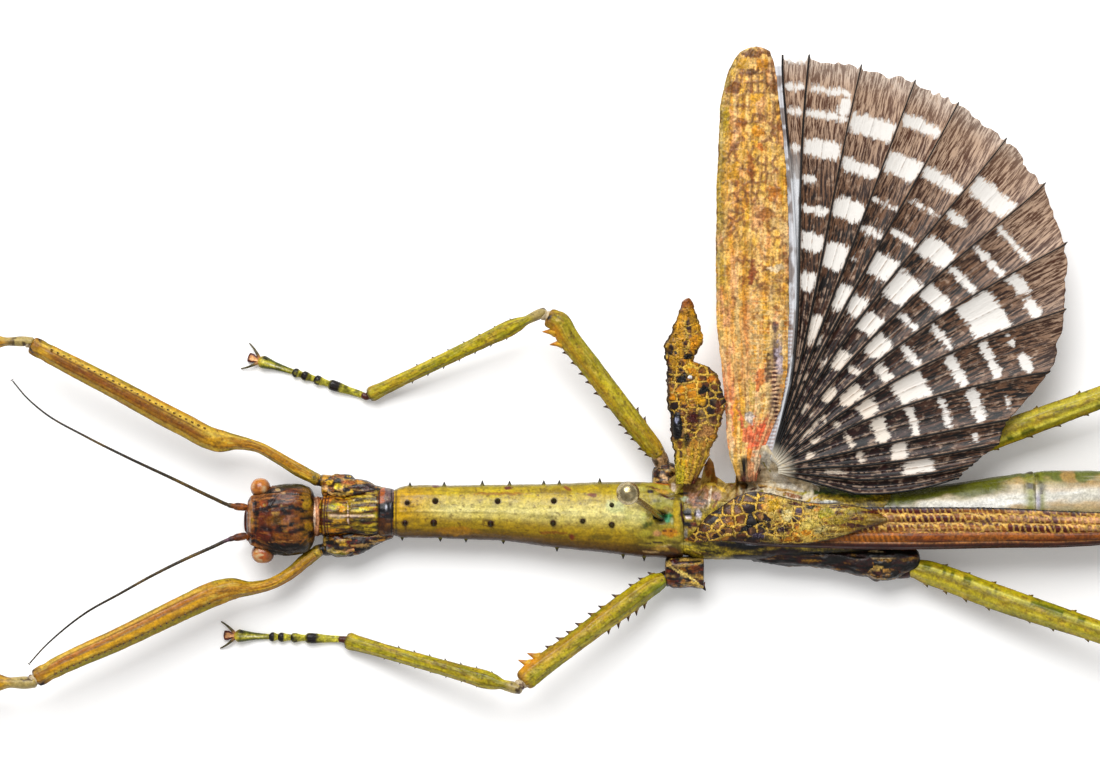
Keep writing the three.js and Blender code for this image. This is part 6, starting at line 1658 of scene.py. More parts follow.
TEGMEN_MARKS = [
    (19.1, 14.6, 0.7, 0.6, 0, rgb(214, 158, 44)), (20.5, 17.3, 0.7, 0.5, 30, rgb(206, 124, 36)),
    (19.6, 16.0, 0.8, 0.5, 20, rgb(34, 22, 18)), (17.8, 19.0, 0.45, 0.35, 0, rgb(220, 176, 60)),
    (16.9, 17.4, 0.9, 0.6, 40, rgb(40, 26, 18)), (18.4, 22.0, 0.5, 1.1, -10, rgb(222, 150, 34)),
    (16.7, 22.8, 0.7, 0.9, 0, rgb(206, 152, 60)), (17.3, 25.4, 0.7, 0.6, 0, rgb(196, 140, 56)),
    (15.4, 20.9, 0.5, 0.7, 0, rgb(60, 40, 26)), (17.6, 20.2, 0.7, 0.35, 20, rgb(50, 32, 20)),
    (20.1, 10.7, 1.1, 0.9, 0, rgb(176, 128, 80)), (18.2, 12.3, 0.8, 0.9, 10, rgb(84, 48, 30)),
    (17.5, 9.4, 0.5, 0.9, 0, rgb(52, 32, 20)), (21.4, 13.6, 0.4, 0.9, 0, rgb(120, 72, 34)),
    (17.0, 14.6, 0.5, 0.6, 0, rgb(196, 140, 44)), (18.5, 17.9, 0.5, 0.4, 0, rgb(212, 150, 40)),
]
TEGMEN_LEFT_MARKS = [
    (28.4, 1.2, 0.8, 0.9, 0, rgb(216, 170, 44)), (30.2, -0.1, 0.8, 0.7, 0, rgb(224, 204, 140)),
    (31.6, 0.4, 0.6, 0.5, 0, rgb(96, 78, 92)), (29.6, -1.8, 0.8, 0.6, 0, rgb(66, 44, 50)),
    (33.0, -1.2, 1.3, 0.7, 20, rgb(206, 182, 92)), (35.2, 0.2, 1.3, 0.6, 10, rgb(176, 162, 60)),
    (34.6, -1.9, 1.2, 0.4, 20, rgb(190, 172, 110)), (37.0, -0.6, 1.6, 0.5, 14, rgb(150, 128, 56)),
    (38.5, 0.4, 1.2, 0.35, 8, rgb(160, 140, 60)), (31.0, 1.4, 0.9, 0.3, -10, rgb(84, 44, 24)),
    (33.3, 0.9, 0.9, 0.3, 0, rgb(60, 40, 30)), (27.6, -0.6, 0.5, 0.9, 20, rgb(60, 42, 40)),
    (25.3, -1.6, 2.0, 0.4, 30, rgb(44, 30, 22)), (26.6, -2.7, 0.9, 0.4, 0, rgb(90, 78, 96)),
    (30.4, -3.1, 1.5, 0.3, 8, rgb(180, 120, 44)), (36.4, 0.9, 0.8, 0.25, 0, rgb(78, 62, 70)),
]


def leathery(flat, cell, seed):
    """Net of a fore wing: raised yellow veins round brown cells. Gives its colour and height."""
    deep = flat3(flat)
    wander = np.stack([grain(deep, 0.8, seed), grain(deep, 0.8, seed + 1)], axis=-1)
    wall, own = cells(flat + 0.12 * wander, cell, seed)
    fine, fine_own = cells(flat + 0.08 * wander, (cell[0] * 0.5, cell[1] * 0.5), seed + 30)
    here = 0.5 + 0.5 * grain(deep, 1.6, seed + 2)
    vein = ease(0.042, 0.014, wall * min(cell)) * ease(0.0, 0.2, here)
    thin = ease(0.04, 0.014, fine * min(cell)) * ease(0.4, 0.7, here)
    patch = grain(deep, (2.0, 2.2, 1), seed + 5, 3)
    colour = np.broadcast_to(rgb(112, 74, 52), (*flat.shape[:-1], 3)).copy()
    colour = over(colour, rgb(66, 42, 34), ease(0.45, 0.6, own))
    colour = over(colour, rgb(160, 116, 80), ease(0.6, 0.9, fine_own) * 0.6)
    colour = over(colour, rgb(214, 142, 34), ease(0.2, 0.42, patch) * ease(0.9, 0.6, own))
    colour = over(colour, rgb(34, 22, 16), ease(0.2, 0.45, -patch) * 0.7)
    colour = over(colour, rgb(196, 142, 60), thin * 0.8)
    colour = over(colour, rgb(234, 190, 86), vein)
    colour = over(colour, rgb(40, 24, 14), bump(wall * min(cell), 0.08, 0.03) * 0.6)
    height = 0.12 * vein + 0.05 * thin + 0.1 * ease(0.05, 0.4, wall) * (own - 0.45) + 0.14 * patch
    return colour, height


def flat3(flat):
    return np.concatenate([flat, np.zeros_like(flat[..., :1])], axis=-1)


def narrowed(one, other, share):
    """Both edges of a wing, drawn in to a share of the width between them."""
    middle = (one + other) / 2
    return middle + (one - middle) * share, middle + (other - middle) * share


def build_tegmen_right():
    rows = np.array(TEGMEN_RIGHT)
    tall, broad = int(330 * FINE), int(96 * FINE)
    y = np.linspace(rows[0, 2], rows[-1, 2] + 0.2, tall)[:, None]
    share = np.linspace(0, 1, broad)[None]
    front = np.interp(y, rows[:, 2], rows[:, 0])
    rear = np.interp(y, rows[:, 2], rows[:, 1])
    ragged = grain(np.stack([y[:, 0], 0 * y[:, 0], 0 * y[:, 0]], axis=-1), 0.8, 3, 3)[:, None] * 0.22
    front = front + ragged * ease(5, 8, y)
    rear = rear - ragged[::-1] * ease(5, 8, y)
    tip = np.sqrt(np.clip((y[-1] - y) / 0.5, 0, 1))
    front, rear = narrowed(front, rear, tip)
    x = front + (rear - front) * share
    z = np.interp(y, rows[:, 2], rows[:, 3]) + 0.45 * (1 - (2 * share - 1) ** 2)
    grid = np.stack([x, y + 0 * x, z + 0 * x], axis=-1)
    flat = grid[..., :2]
    colour, height = leathery(flat, (1.25, 1.05), 71)
    waste = ease(0.0, 0.4, grain(grid, (0.7, 1.6, 1), 72, 3))
    colour = over(colour, rgb(206, 152, 44), waste * ease(17.5, 19.5, y) * 0.8)
    colour = over(
        colour, rgb(178, 146, 100), ease(0.0, 0.4, grain(grid, 1.2, 73, 2)) * bump(y, 11.5, 3.0) * 0.6,
    )
    colour = spots(colour, grid, TEGMEN_MARKS, 0.4)
    border = np.minimum(share, 1 - share) * (rear - front)
    colour = over(colour, rgb(50, 32, 20), bump(border, 0.12, 0.16) * ease(6, 8, y) * 0.8)
    ribs = bump((share * 5.0) % 1, 0.5, 0.16) * ease(11, 7, y)
    colour = over(colour, rgb(206, 168, 62), ribs)
    colour = over(colour, rgb(196, 150, 78), ease(10.5, 7.5, y) * ease(0.3, 0.5, share) * (1 - ribs) * 0.7)
    colour = over(colour, rgb(190, 178, 52), ease(8, 4.5, y) * ease(0.5, 0.2, share) * 0.8)
    colour = over(
        colour, rgb(216, 156, 40), ease(20.5, 22, y) * ease(0.0, 0.4, grain(grid, 1.6, 5) + 0.2) * 0.75,
    )
    colour = over(colour, rgb(150, 92, 40), ease(25.6, 27, y))
    colour = over(colour, rgb(60, 44, 32), ease(0.1, 0.02, share) * ease(9, 11, y) * 0.8)
    knob = np.hypot((x - 16.25) / 0.62, (y - 11.3) / 1.9)
    colour = over(colour, rgb(20, 18, 34), ease(1.1, 0.8, knob))
    # Painted highlight on the black knob.
    shine = np.hypot((x - 16.2) / 0.16, (y - 12.0) / 0.5)
    colour = over(colour, rgb(190, 196, 226), ease(1.2, 0.5, shine) * 0.9)
    colour = over(colour, rgb(250, 250, 250), ease(1.2, 0.8, np.hypot(x - 17.85, y - 17.6) / 0.26))
    colour = over(colour, rgb(96, 56, 40), ease(6.5, 4, y) * ease(0.6, 0.8, share))
    height = height + 0.12 * ribs + 0.35 * ease(1.2, 0.3, knob)
    grid[..., 2] += height
    edge = np.minimum(share, 1 - share) * (rear - front)
    shape = sheet_to(Shape(), grid, 0.16 + 0.3 * ease(0, 0.8, edge), paint=colour)
    made(
        "Fore_wing_right", shape, chitin("Fore_wing_right_shell", 0.42, 0.15, 0.3), "fore_wing",
        "tegmen_right",
    )


def build_tegmen_left():
    rows = np.array(TEGMEN_LEFT)
    long, broad = int(330 * FINE), int(96 * FINE)
    x = np.linspace(rows[0, 0] - 0.1, rows[-1, 0] + 0.4, long)[:, None]
    share = np.linspace(0, 1, broad)[None]
    line = smooth_rows(rows[:, [0, 1, 2, 3]], 400)
    right = np.interp(x, line[:, 0], line[:, 1])
    left = np.interp(x, line[:, 0], line[:, 2])
    close = np.sqrt(np.clip((x - x[0]) / 1.2, 0, 1)) * np.sqrt(np.clip((x[-1] - x) / 1.0, 0, 1))
    right, left = narrowed(right, left, close)
    y = right + (left - right) * share
    z = np.interp(x, rows[:, 0], rows[:, 3]) + 0.5 * (1 - (2 * share - 1) ** 2) - 0.35
    grid = np.stack([x + 0 * y, y, z + 0 * y], axis=-1)
    colour, height = leathery(grid[..., :2], (1.55, 1.2), 83)
    near_colour, near_height = leathery(grid[..., :2], (1.15, 0.9), 87)
    butter = ease(-0.1, 0.3, grain(grid, 1.1, 85, 3))
    near_colour = over(near_colour, rgb(214, 184, 96), butter * 0.8)
    beyond = ease(27.0, 28.5, x + 0.5 * grain(grid, 1.4, 6))
    colour = over(colour, near_colour, beyond)
    height = height + (near_height - height) * beyond
    soft = ease(33.5, 37.0, x + 0.6 * grain(grid, 2.0, 4))
    streak = grain(grid, (2.6, 0.3, 2), 88, 3)
    smooth = over(np.broadcast_to(rgb(156, 130, 52), grid.shape), rgb(90, 60, 30), ease(0, 0.4, streak))
    colour = over(colour, over(smooth, rgb(206, 182, 110), ease(0.1, 0.5, -streak)), soft * 0.75)
    colour = spots(colour, grid, TEGMEN_LEFT_MARKS, 0.4)
    walls_again, _ = cells(grid[..., :2], (1.3, 0.9), 89)
    mesh_again = ease(0.045, 0.015, walls_again) * ease(26, 28, x) * ease(39, 36, x)
    colour = over(colour, rgb(222, 188, 96), mesh_again * 0.85)
    colour = over(colour, rgb(34, 24, 34), bump(share, 0.93, 0.07) * bump(x, 25.5, 3.6))
    colour = over(colour, rgb(64, 40, 22), (ease(0.95, 0.99, share) + ease(0.05, 0.01, share)) * 0.9)
    colour = over(colour, rgb(92, 58, 34), ease(39.5, 42, x) * 0.6)
    grid[..., 2] += height * (1 - 0.5 * soft)
    edge = np.minimum(share, 1 - share) * np.abs(left - right)
    shape = sheet_to(Shape(), grid, 0.16 + 0.3 * ease(0, 0.8, edge), paint=colour)
    made("Fore_wing_left", shape, chitin("Fore_wing_left_shell", 0.42, 0.15, 0.3), "fore_wing", "tegmen_left")


# ---- hind wings ------------------------------------------------------------------------------
# Stiff front part of the right hind wing: rows of front x, rear x, y, z.
REMIGIUM = [
    (24.2, 26.4, 4.2, 6.5), (23.0, 27.1, 7.6, 6.8), (22.5, 29.2, 12.8, 7.0), (22.1, 30.2, 17.6, 7.2),
    (21.3, 30.5, 24.5, 7.6), (21.2, 30.5, 31.0, 7.9), (21.3, 30.3, 41.0, 8.2), (21.5, 29.9, 47.0, 8.3),
    (21.9, 29.2, 53.0, 8.4), (22.6, 28.9, 56.0, 8.4), (23.5, 28.5, 58.0, 8.4), (24.5, 28.1, 59.2, 8.4),
]
# Its long veins: share of the width from front to rear, at the root and at the tip.
LONG_VEINS = [(0.08, 0.04), (0.3, 0.13), (0.42, 0.34), (0.5, 0.47), (0.6, 0.62), (0.72, 0.76), (0.86, 0.9)]
# Left hind wing folded lengthwise along the back: rows of x, right y, left y.
FOLDED_WING = [
    (23.0, -1.2, -3.4), (27.0, 0.4, -4.0), (34.0, 0.8, -4.3), (46.0, 0.9, -4.5), (58.0, 0.8, -4.3),
    (66.0, 0.4, -4.2), (73.0, 0.1, -3.6), (77.5, -0.5, -2.6), (79.3, -1.2, -1.9),
]
FOLDED_Z = 7.1
FOLDED_DROP = 0.8


REMIGIUM_MARKS = [
    (28.0, 59.0, 0.5, 0.6, 0, BROWN), (26.0, 58.7, 1.3, 0.5, 0, rgb(110, 70, 30)),
    (24.4, 57.6, 0.8, 0.6, 30, rgb(210, 158, 40)), (27.0, 57.5, 0.8, 0.7, 0, rgb(206, 140, 50)),
    (23.5, 54.4, 0.9, 0.8, 0, rgb(120, 72, 36)), (25.8, 56.5, 0.7, 0.5, 0, rgb(96, 60, 30)),
    (26.5, 53.4, 1.0, 0.6, 20, rgb(232, 170, 60)), (28.4, 54.4, 0.5, 1.2, 0, rgb(120, 80, 36)),
    (22.6, 50.6, 0.5, 1.6, 0, rgb(180, 150, 50)), (24.4, 50.0, 0.8, 0.6, 0, rgb(150, 92, 44)),
    (26.8, 48.8, 1.0, 0.8, 0, rgb(222, 146, 54)), (26.7, 47.0, 0.5, 0.5, 0, rgb(214, 116, 40)),
    (25.6, 44.0, 0.5, 1.6, 0, rgb(150, 86, 40)), (23.4, 43.6, 0.7, 1.4, 0, rgb(206, 150, 54)),
    (27.9, 38.3, 1.5, 0.8, 0, rgb(150, 92, 50)), (28.6, 41.0, 0.8, 0.9, 0, rgb(196, 120, 50)),
    (25.9, 30.9, 0.5, 1.7, 0, rgb(140, 66, 36)), (26.8, 29.2, 0.9, 0.4, 20, rgb(120, 80, 66)),
    (27.4, 31.4, 0.9, 0.3, -20, rgb(150, 100, 70)), (28.8, 31.4, 1.1, 0.5, 10, rgb(244, 220, 180)),
    (28.6, 23.9, 0.5, 0.7, 0, rgb(92, 78, 84)), (27.8, 19.0, 0.5, 1.7, 0, rgb(74, 52, 52)),
    (29.3, 20.0, 0.4, 2.2, 0, rgb(206, 190, 200)), (24.0, 24.0, 0.4, 4.0, 0, rgb(232, 196, 130)),
    (25.8, 15.6, 0.3, 4.0, 2, rgb(206, 172, 92)), (26.8, 17.0, 0.5, 2.0, 0, rgb(206, 110, 60)),
    (25.6, 10.0, 0.9, 2.6, -4, rgb(240, 116, 84)), (26.9, 10.6, 0.35, 2.4, -22, rgb(236, 104, 74)),
    (24.5, 11.8, 0.3, 2.2, 14, rgb(238, 120, 88)), (25.6, 12.2, 0.5, 0.9, 0, rgb(206, 196, 190)),
    (23.0, 11.5, 0.4, 3.0, 0, rgb(246, 206, 150)), (23.8, 12.5, 0.3, 2.6, 0, rgb(226, 158, 50)),
    (25.4, 7.6, 0.5, 0.7, 0, rgb(238, 150, 60)), (26.5, 6.6, 0.6, 1.6, 0, rgb(226, 200, 160)),
    (26.8, 5.6, 0.18, 0.7, 0, rgb(96, 62, 40)),
]


def build_remigium():
    rows = np.array(REMIGIUM)
    tall, broad = int(500 * FINE), int(98 * FINE)
    y = np.linspace(rows[0, 2], rows[-1, 2] + 0.5, tall)[:, None]
    share = np.linspace(0, 1, broad)[None]
    line = smooth_rows(rows[:, [2, 0, 1, 3]], 400)
    front = np.interp(y, line[:, 0], line[:, 1])
    rear = np.interp(y, line[:, 0], line[:, 2])
    ragged = grain(np.stack([y[:, 0], 0 * y[:, 0], 0 * y[:, 0]], axis=-1), 0.9, 9, 3)[:, None]
    front = front + 0.07 * ragged
    rear = rear + 0.07 * ragged[::-1]
    tip = np.sqrt(np.clip((y[-1] + 0.1 * ragged - y) / 0.6, 0, 1))
    front, rear = narrowed(front, rear, tip)
    x = front + (rear - front) * share
    z = np.interp(y, line[:, 0], line[:, 3]) + 0.3 * (1 - (2 * share - 1) ** 2)
    grid = np.stack([x, y + 0 * x, z + 0 * x], axis=-1)
    out = (y - rows[0, 2]) / (rows[-1, 2] - rows[0, 2])
    width = rear - front
    vein = np.zeros_like(x)
    for root, end in LONG_VEINS:
        at = root + (end - root) * ease(0.0, 0.45, out)
        vein = np.maximum(vein, bump((share - at) * width, 0, 0.1))
    wall, own = cells(grid[..., :2] + 0.3 * grain(grid, 1.3, 93)[..., None], (0.95, 1.25), 91)
    bars, _ = cells(np.stack([x / 4, y + 0 * x], axis=-1), (0.8, 0.62), 95)
    net = ease(0.3, 0.55, out + 0.12 * grain(grid, 3, 96, 2))
    lengthwise = grain(grid, (0.7, 7, 1), 97, 3)
    hue = grain(grid, (0.9, 3.5, 1), 104, 3)
    colour = np.broadcast_to(rgb(246, 198, 120), grid.shape).copy()
    colour = over(colour, rgb(226, 158, 62), ease(0.0, 0.4, lengthwise) * 0.8)
    colour = over(colour, rgb(246, 208, 150), ease(0.05, 0.45, -lengthwise))
    colour = over(colour, rgb(236, 184, 70), ease(0.15, 0.4, hue) * 0.6)
    colour = over(colour, rgb(242, 168, 132), ease(0.15, 0.4, -hue) * 0.6)
    threads = grain(grid, (0.22, 2.4, 1), 101, 3)
    flakes = grain(grid, (0.5, 0.9, 1), 102, 3)
    colour = over(colour, rgb(176, 110, 54), ease(0.15, 0.45, threads) * 0.5)
    colour = over(colour, rgb(246, 214, 156), ease(0.2, 0.55, -threads) * 0.4)
    colour = over(colour, rgb(184, 102, 44), ease(0.25, 0.5, flakes) * 0.6)
    brown = ease(-0.1, 0.25, grain(grid, 1.3, 98, 3) + 0.4 * ease(0.82, 1.0, out) - 0.02)
    colour = over(colour, rgb(222, 170, 76), net * 0.25)
    colour = over(colour, rgb(130, 82, 62), net * brown * ease(0.2, 0.05, wall) * 0.75)
    colour = over(colour, rgb(140, 94, 70), net * ease(0.78, 0.9, own) * ease(0.0, 0.3, brown) * 0.6)
    colour = over(colour, rgb(214, 136, 62), bump(out, 0.33, 0.1) * bump(share, 0.4, 0.16) * 0.7)
    colour = over(
        colour, rgb(238, 206, 146), ease(0.1, 0.03, bars) * (1 - net) * ease(0.35, 0.5, share) * 0.8,
    )
    smoky = bump(share, 0.86, 0.09) * bump(out, 0.2, 0.1) + bump(share, 0.8, 0.06) * bump(out, 0.3, 0.04)
    colour = over(colour, rgb(104, 84, 88), smoky * 0.8)
    colour = over(
        colour, rgb(150, 138, 60),
        ease(0.2, 0.02, share) * ease(0.35, 0.6, out + 0.3 * grain(grid, 1, 99)) * 0.6,
    )
    coral = ease(0.17, 0.1, out) * ease(0.45, 0.6, share) + bump(share, 0.06, 0.12) * bump(out, 0.17, 0.1)
    colour = over(colour, rgb(232, 128, 92), coral * 0.9)
    colour = over(colour, rgb(244, 214, 150), vein * (0.15 + 0.25 * ease(28, 14, y)))
    colour = over(colour, spots(colour, grid, REMIGIUM_MARKS, 0.7, 0.3), 0.8)
    stem = ease(24.2, 23.9, x) * ease(9, 7, y)
    colour = over(colour, rgb(232, 182, 92), stem)
    colour = over(colour, rgb(250, 222, 170), bump(x, 23.3, 0.16) * ease(11, 8, y))
    colour = over(colour, BLACK, bump(x, 24.85, 0.5) * ease(7.6, 7.0, y))
    ribs = ease(-0.1, 0.5, np.sin(y * 2 * np.pi / 0.55 + 1.6 * grain(grid, 1.5, 103)))
    ladder = bump(x, 29.2 - 0.05 * (y - 8), 0.55) * ease(7.5, 9, y) * ease(20.5, 18, y)
    colour = over(
        colour, over(np.broadcast_to(rgb(78, 40, 32), grid.shape), rgb(232, 190, 150), ribs), ladder,
    )
    outline = bump(np.minimum(share, 1 - share) * width, 0.08, 0.12) * ease(0.3, 0.5, out)
    colour = over(colour, rgb(120, 84, 34), outline * ease(-0.2, 0.3, flakes))
    dark_root = ease(0.035, 0.0, out)
    colour = over(colour, rgb(90, 52, 30), dark_root * 0.7)
    height = (0.14 - 0.09 * net) * vein + 0.05 * net * ease(0.2, 0.04, wall)
    grid[..., 2] += height + 0.05 * (1 - net) * ease(0.1, 0.03, bars)
    grid[..., 2] += 0.06 * lengthwise
    edge = np.minimum(share, 1 - share) * width
    shape = sheet_to(Shape(), grid, 0.14 + 0.22 * ease(0, 0.8, edge), paint=colour)
    material = chitin("Hind_wing_front_shell", 0.42, 0.1, 0.3, 0.5, 0.03)
    made("Hind_wing_right_front", shape, material, "wing_front", "hind_wing_right_front")


def build_folded_wing():
    rows = np.array(FOLDED_WING)
    long, broad = int(500 * FINE), int(84 * FINE)
    x = np.linspace(rows[0, 0], rows[-1, 0] + 0.5, long)[:, None]
    share = np.linspace(0, 1, broad)[None]
    line = smooth_rows(rows, 500)
    right = np.interp(x, line[:, 0], line[:, 1])
    left = np.interp(x, line[:, 0], line[:, 2])
    close = np.sqrt(np.clip((x[-1] - x) / 2.0, 0, 1))
    right, left = narrowed(right, left, close)
    y = right + (left - right) * share
    folds = 0.12 * np.sin(share * 2 * np.pi * 4.5 + 0.5) * ease(0, 0.1, share) * ease(1, 0.9, share)
    z = FOLDED_Z + 0.25 - FOLDED_DROP * share ** 3 + folds
    grid = np.stack([x + 0 * y, y, z + 0 * y], axis=-1)
    lengthwise = grain(grid, (7, 0.45, 5), 111, 3)
    patch = grain(grid, (1.6, 0.7, 5), 112, 3)
    bars, _ = cells(np.stack([x + 0.4 * y, y / 2.5], axis=-1), (0.78, 0.5), 113)
    colour = np.broadcast_to(rgb(160, 104, 60), grid.shape).copy()
    colour = over(colour, rgb(96, 56, 30), ease(-0.1, 0.3, lengthwise))
    colour = over(colour, rgb(216, 164, 124), ease(0.1, 0.4, -lengthwise) * ease(0.7, 0.5, share) * 0.7)
    colour = over(colour, rgb(112, 82, 84), ease(0.2, 0.5, patch) * ease(0.45, 0.35, share) * 0.85)
    colour = over(colour, rgb(232, 186, 96), ease(0.09, 0.02, bars) * ease(0.68, 0.55, share) * 0.9)
    colour = over(colour, rgb(226, 176, 110), bump(share, 0.36, 0.03) * 0.6)
    colour = over(colour, rgb(160, 94, 34), bump(share, 0.7, 0.08) * (0.6 + 0.4 * ease(0, 0.3, patch)))
    colour = over(colour, rgb(74, 46, 24), ease(0.76, 0.84, share) * 0.95)
    colour = over(colour, rgb(176, 120, 70), bump(share, 0.86, 0.02) * 0.8)
    colour = over(colour, rgb(44, 28, 18), ease(0.07, 0.02, share))
    ladder = ease(36, 37.5, x) * ease(46.5, 44.5, x) * ease(0.5, 0.6, share) * ease(0.86, 0.78, share)
    rungs = 0.5 + 0.5 * np.sin((x + 0.5 * y) * 2 * np.pi / 0.66)
    colour = over(colour, rgb(196, 118, 46) * (0.4 + 0.6 * rungs)[..., None], ladder * 0.9)
    grid[..., 2] += 0.07 * ease(0.12, 0.03, bars) * ease(0.68, 0.55, share) + 0.05 * lengthwise
    edge = np.minimum(share, 1 - share) * np.abs(left - right)
    shape = sheet_to(Shape(), grid, 0.2 + 0.35 * ease(0, 0.8, edge), paint=colour)
    material = chitin("Folded_wing_shell", 0.4, 0.12, 0.3, 0.5, 0.03)
    made("Hind_wing_left", shape, material, "wing_front", "hind_wing_left")


# Fan of the right hind wing. Each long vein: heading at the margin and at the root (degrees from
# straight out, towards the tail), its length, and how late it bends.
HINGE = (27.9, 5.6)
FAN_ROOT = 1.3
FAN_ROOT_REACH = 11.5
VEINS = np.array([
    (1.9, 13.0, 53.0, 1.5), (5.6, 15.0, 53.1, 2.6), (12.9, 17.2, 53.2, 2.4), (20.6, 20.2, 53.2, 2.2),
    (27.3, 23.3, 53.1, 1.9), (35.6, 28.0, 52.4, 1.6), (43.9, 35.0, 50.9, 1.4), (52.6, 42.5, 48.1, 1.2),
    (61.5, 52.0, 43.6, 1.1), (70.6, 62.0, 38.6, 1.1), (78.0, 77.0, 31.7, 1.1), (83.4, 87.0, 30.0, 1.1),
    (88.5, 96.0, 26.4, 1.1), (92.5, 105.0, 24.6, 1.1),
])
MEMBRANE_SHORT = 0.5    # how far the veins' points stand past the film
FAN_LONGEST = 53.0      # length of the longest veins, for the fan's colours
LOBE = 0.3              # how far the film bulges, twice in each cell
FAN_ROOT_Z = 6.75
FAN_LIFT = 1.6
PLEAT = 0.3
# Pale windows of each cell between two veins: outer and inner end in mm from the hinge, and the
# shares of the cell's width that it fills, where it is not the whole.
WINDOWS = [
    [(53.2, 52.3), (49.6, 48.7), (46.4, 45.5), (42.0, 40.6), (39.1, 20.0)],
    [(49.6, 48.7), (46.4, 45.6), (48.8, 46.2, 0.72, 1), (42.8, 40.6), (38.1, 37.2, 0, 0.5), (34.4, 33.3),
     (30.9, 28.5), (25.9, 23.3)],
    [(47.1, 44.5), (41.2, 39.5), (36.3, 33.5), (30.4, 26.9), (21.0, 16.7), (14.0, 9.7, 0.35, 0.6)],
    [(49.0, 47.4), (43.9, 41.0), (37.5, 36.9), (33.8, 32.7), (29.7, 29.0, 0, 0.5), (25.7, 22.2),
     (18.8, 17.1, 0, 0.5), (14.8, 11.1, 0.3, 0.6)],
    [(44.0, 42.4), (39.3, 38.8), (34.9, 34.0), (31.4, 28.2), (25.3, 22.6), (16.4, 14.9, 0.4, 0.9),
     (12.3, 8.7, 0.3, 0.6)],
    [(46.4, 43.7), (40.8, 39.5, 0, 0.55), (36.7, 33.8), (31.0, 26.9), (24.4, 21.3), (18.3, 15.4),
     (10.3, 8.0, 0.2, 0.6)],
    [(43.1, 42.3), (39.3, 38.5), (35.4, 34.4), (31.8, 29.5), (26.7, 25.6), (22.8, 19.7), (17.4, 16.4),
     (13.6, 11.3), (9.5, 8.5, 0.1, 0.6)],
    [(40.8, 39.0, 0, 0.5), (40.4, 38.8, 0.55, 1), (36.4, 31.5), (28.5, 27.6), (24.0, 22.9), (20.1, 18.6),
     (15.9, 12.8), (10.3, 5.8, 0.2, 0.6)],
    [(36.4, 34.9, 0.5, 1), (35.6, 34.9, 0.1, 0.4), (32.4, 31.2), (28.0, 26.6), (23.3, 18.9), (16.3, 13.7),
     (10.9, 10.3), (7.7, 6.6)],
    [(32.1, 31.5, 0.3, 0.8), (28.7, 27.2), (24.4, 23.4), (20.1, 19.1), (16.3, 14.4), (11.4, 10.8),
     (6.2, 5.1)],
    [(27.3, 26.5, 0.2, 0.8), (18.1, 16.0), (12.4, 11.5)],
    [(21.2, 17.3), (10.3, 7.1, 0.2, 0.8)],
    [],
]
FULL_WIDTH = (0.0, 1.0)
WINDOW_CORNER = 0.8
FAN_CELL_COLUMNS = 21
FAN_ROWS = 176


def fan_place(across, out):
    """Points of the fan: across counts veins, out runs from root to margin."""
    i = np.minimum(len(VEINS) - 2, np.floor(across)).astype(int)
    share = across - i

    def on_vein(vein):
        margin, root, length, late = np.moveaxis(VEINS[vein], -1, 0)
        reach = FAN_ROOT + (length - FAN_ROOT) * out
        beyond = np.clip((reach - FAN_ROOT_REACH) / (length - FAN_ROOT_REACH), 0, 1)
        return margin + (root - margin) * (1 - beyond) ** late, reach

    turn_a, reach_a = on_vein(i)
    turn_b, reach_b = on_vein(i + 1)
    turn = np.radians(turn_a + (turn_b - turn_a) * share)
    lobes = np.abs(np.sin(2 * np.pi * share)) ** 0.6 - 0.6
    reach = reach_a + (reach_b - reach_a) * share + (LOBE * lobes - MEMBRANE_SHORT) * out ** 8
    width = np.radians(np.abs(turn_b - turn_a)) * reach
    fold = 1 - 2 * np.abs(np.sin(np.pi * share)) ** 0.8
    z = FAN_ROOT_Z + FAN_LIFT * out * np.cos(turn * 0.8) + PLEAT * fold * np.minimum(1, out * 3)
    x = HINGE[0] + reach * np.sin(turn)
    y = HINGE[1] + reach * np.cos(turn)
    return np.stack([x, y, z], axis=-1), reach, width, share


def window_depth(across, reach, width, share):
    """How deep a point lies inside a pale window, in mm; negative outside all of them."""
    depth = np.full(across.shape, -3.0)
    for cell, windows in enumerate(WINDOWS):
        inside = (across >= cell) & (across < cell + 1)
        for window in windows:
            outer, inner = window[:2]
            low, high = window[2:] or FULL_WIDTH
            rail = 0.07
            ends = np.minimum(outer - reach, reach - inner)
            sides = np.minimum((share - low) * width - rail, (high - share) * width - rail)
            short = WINDOW_CORNER - np.stack([ends, sides])
            rounded = WINDOW_CORNER - np.hypot(*np.maximum(short, 0))
            within = np.where(short.max(axis=0) > 0, rounded, np.minimum(ends, sides))
            depth = np.where(inside, np.maximum(depth, within), depth)
    return depth


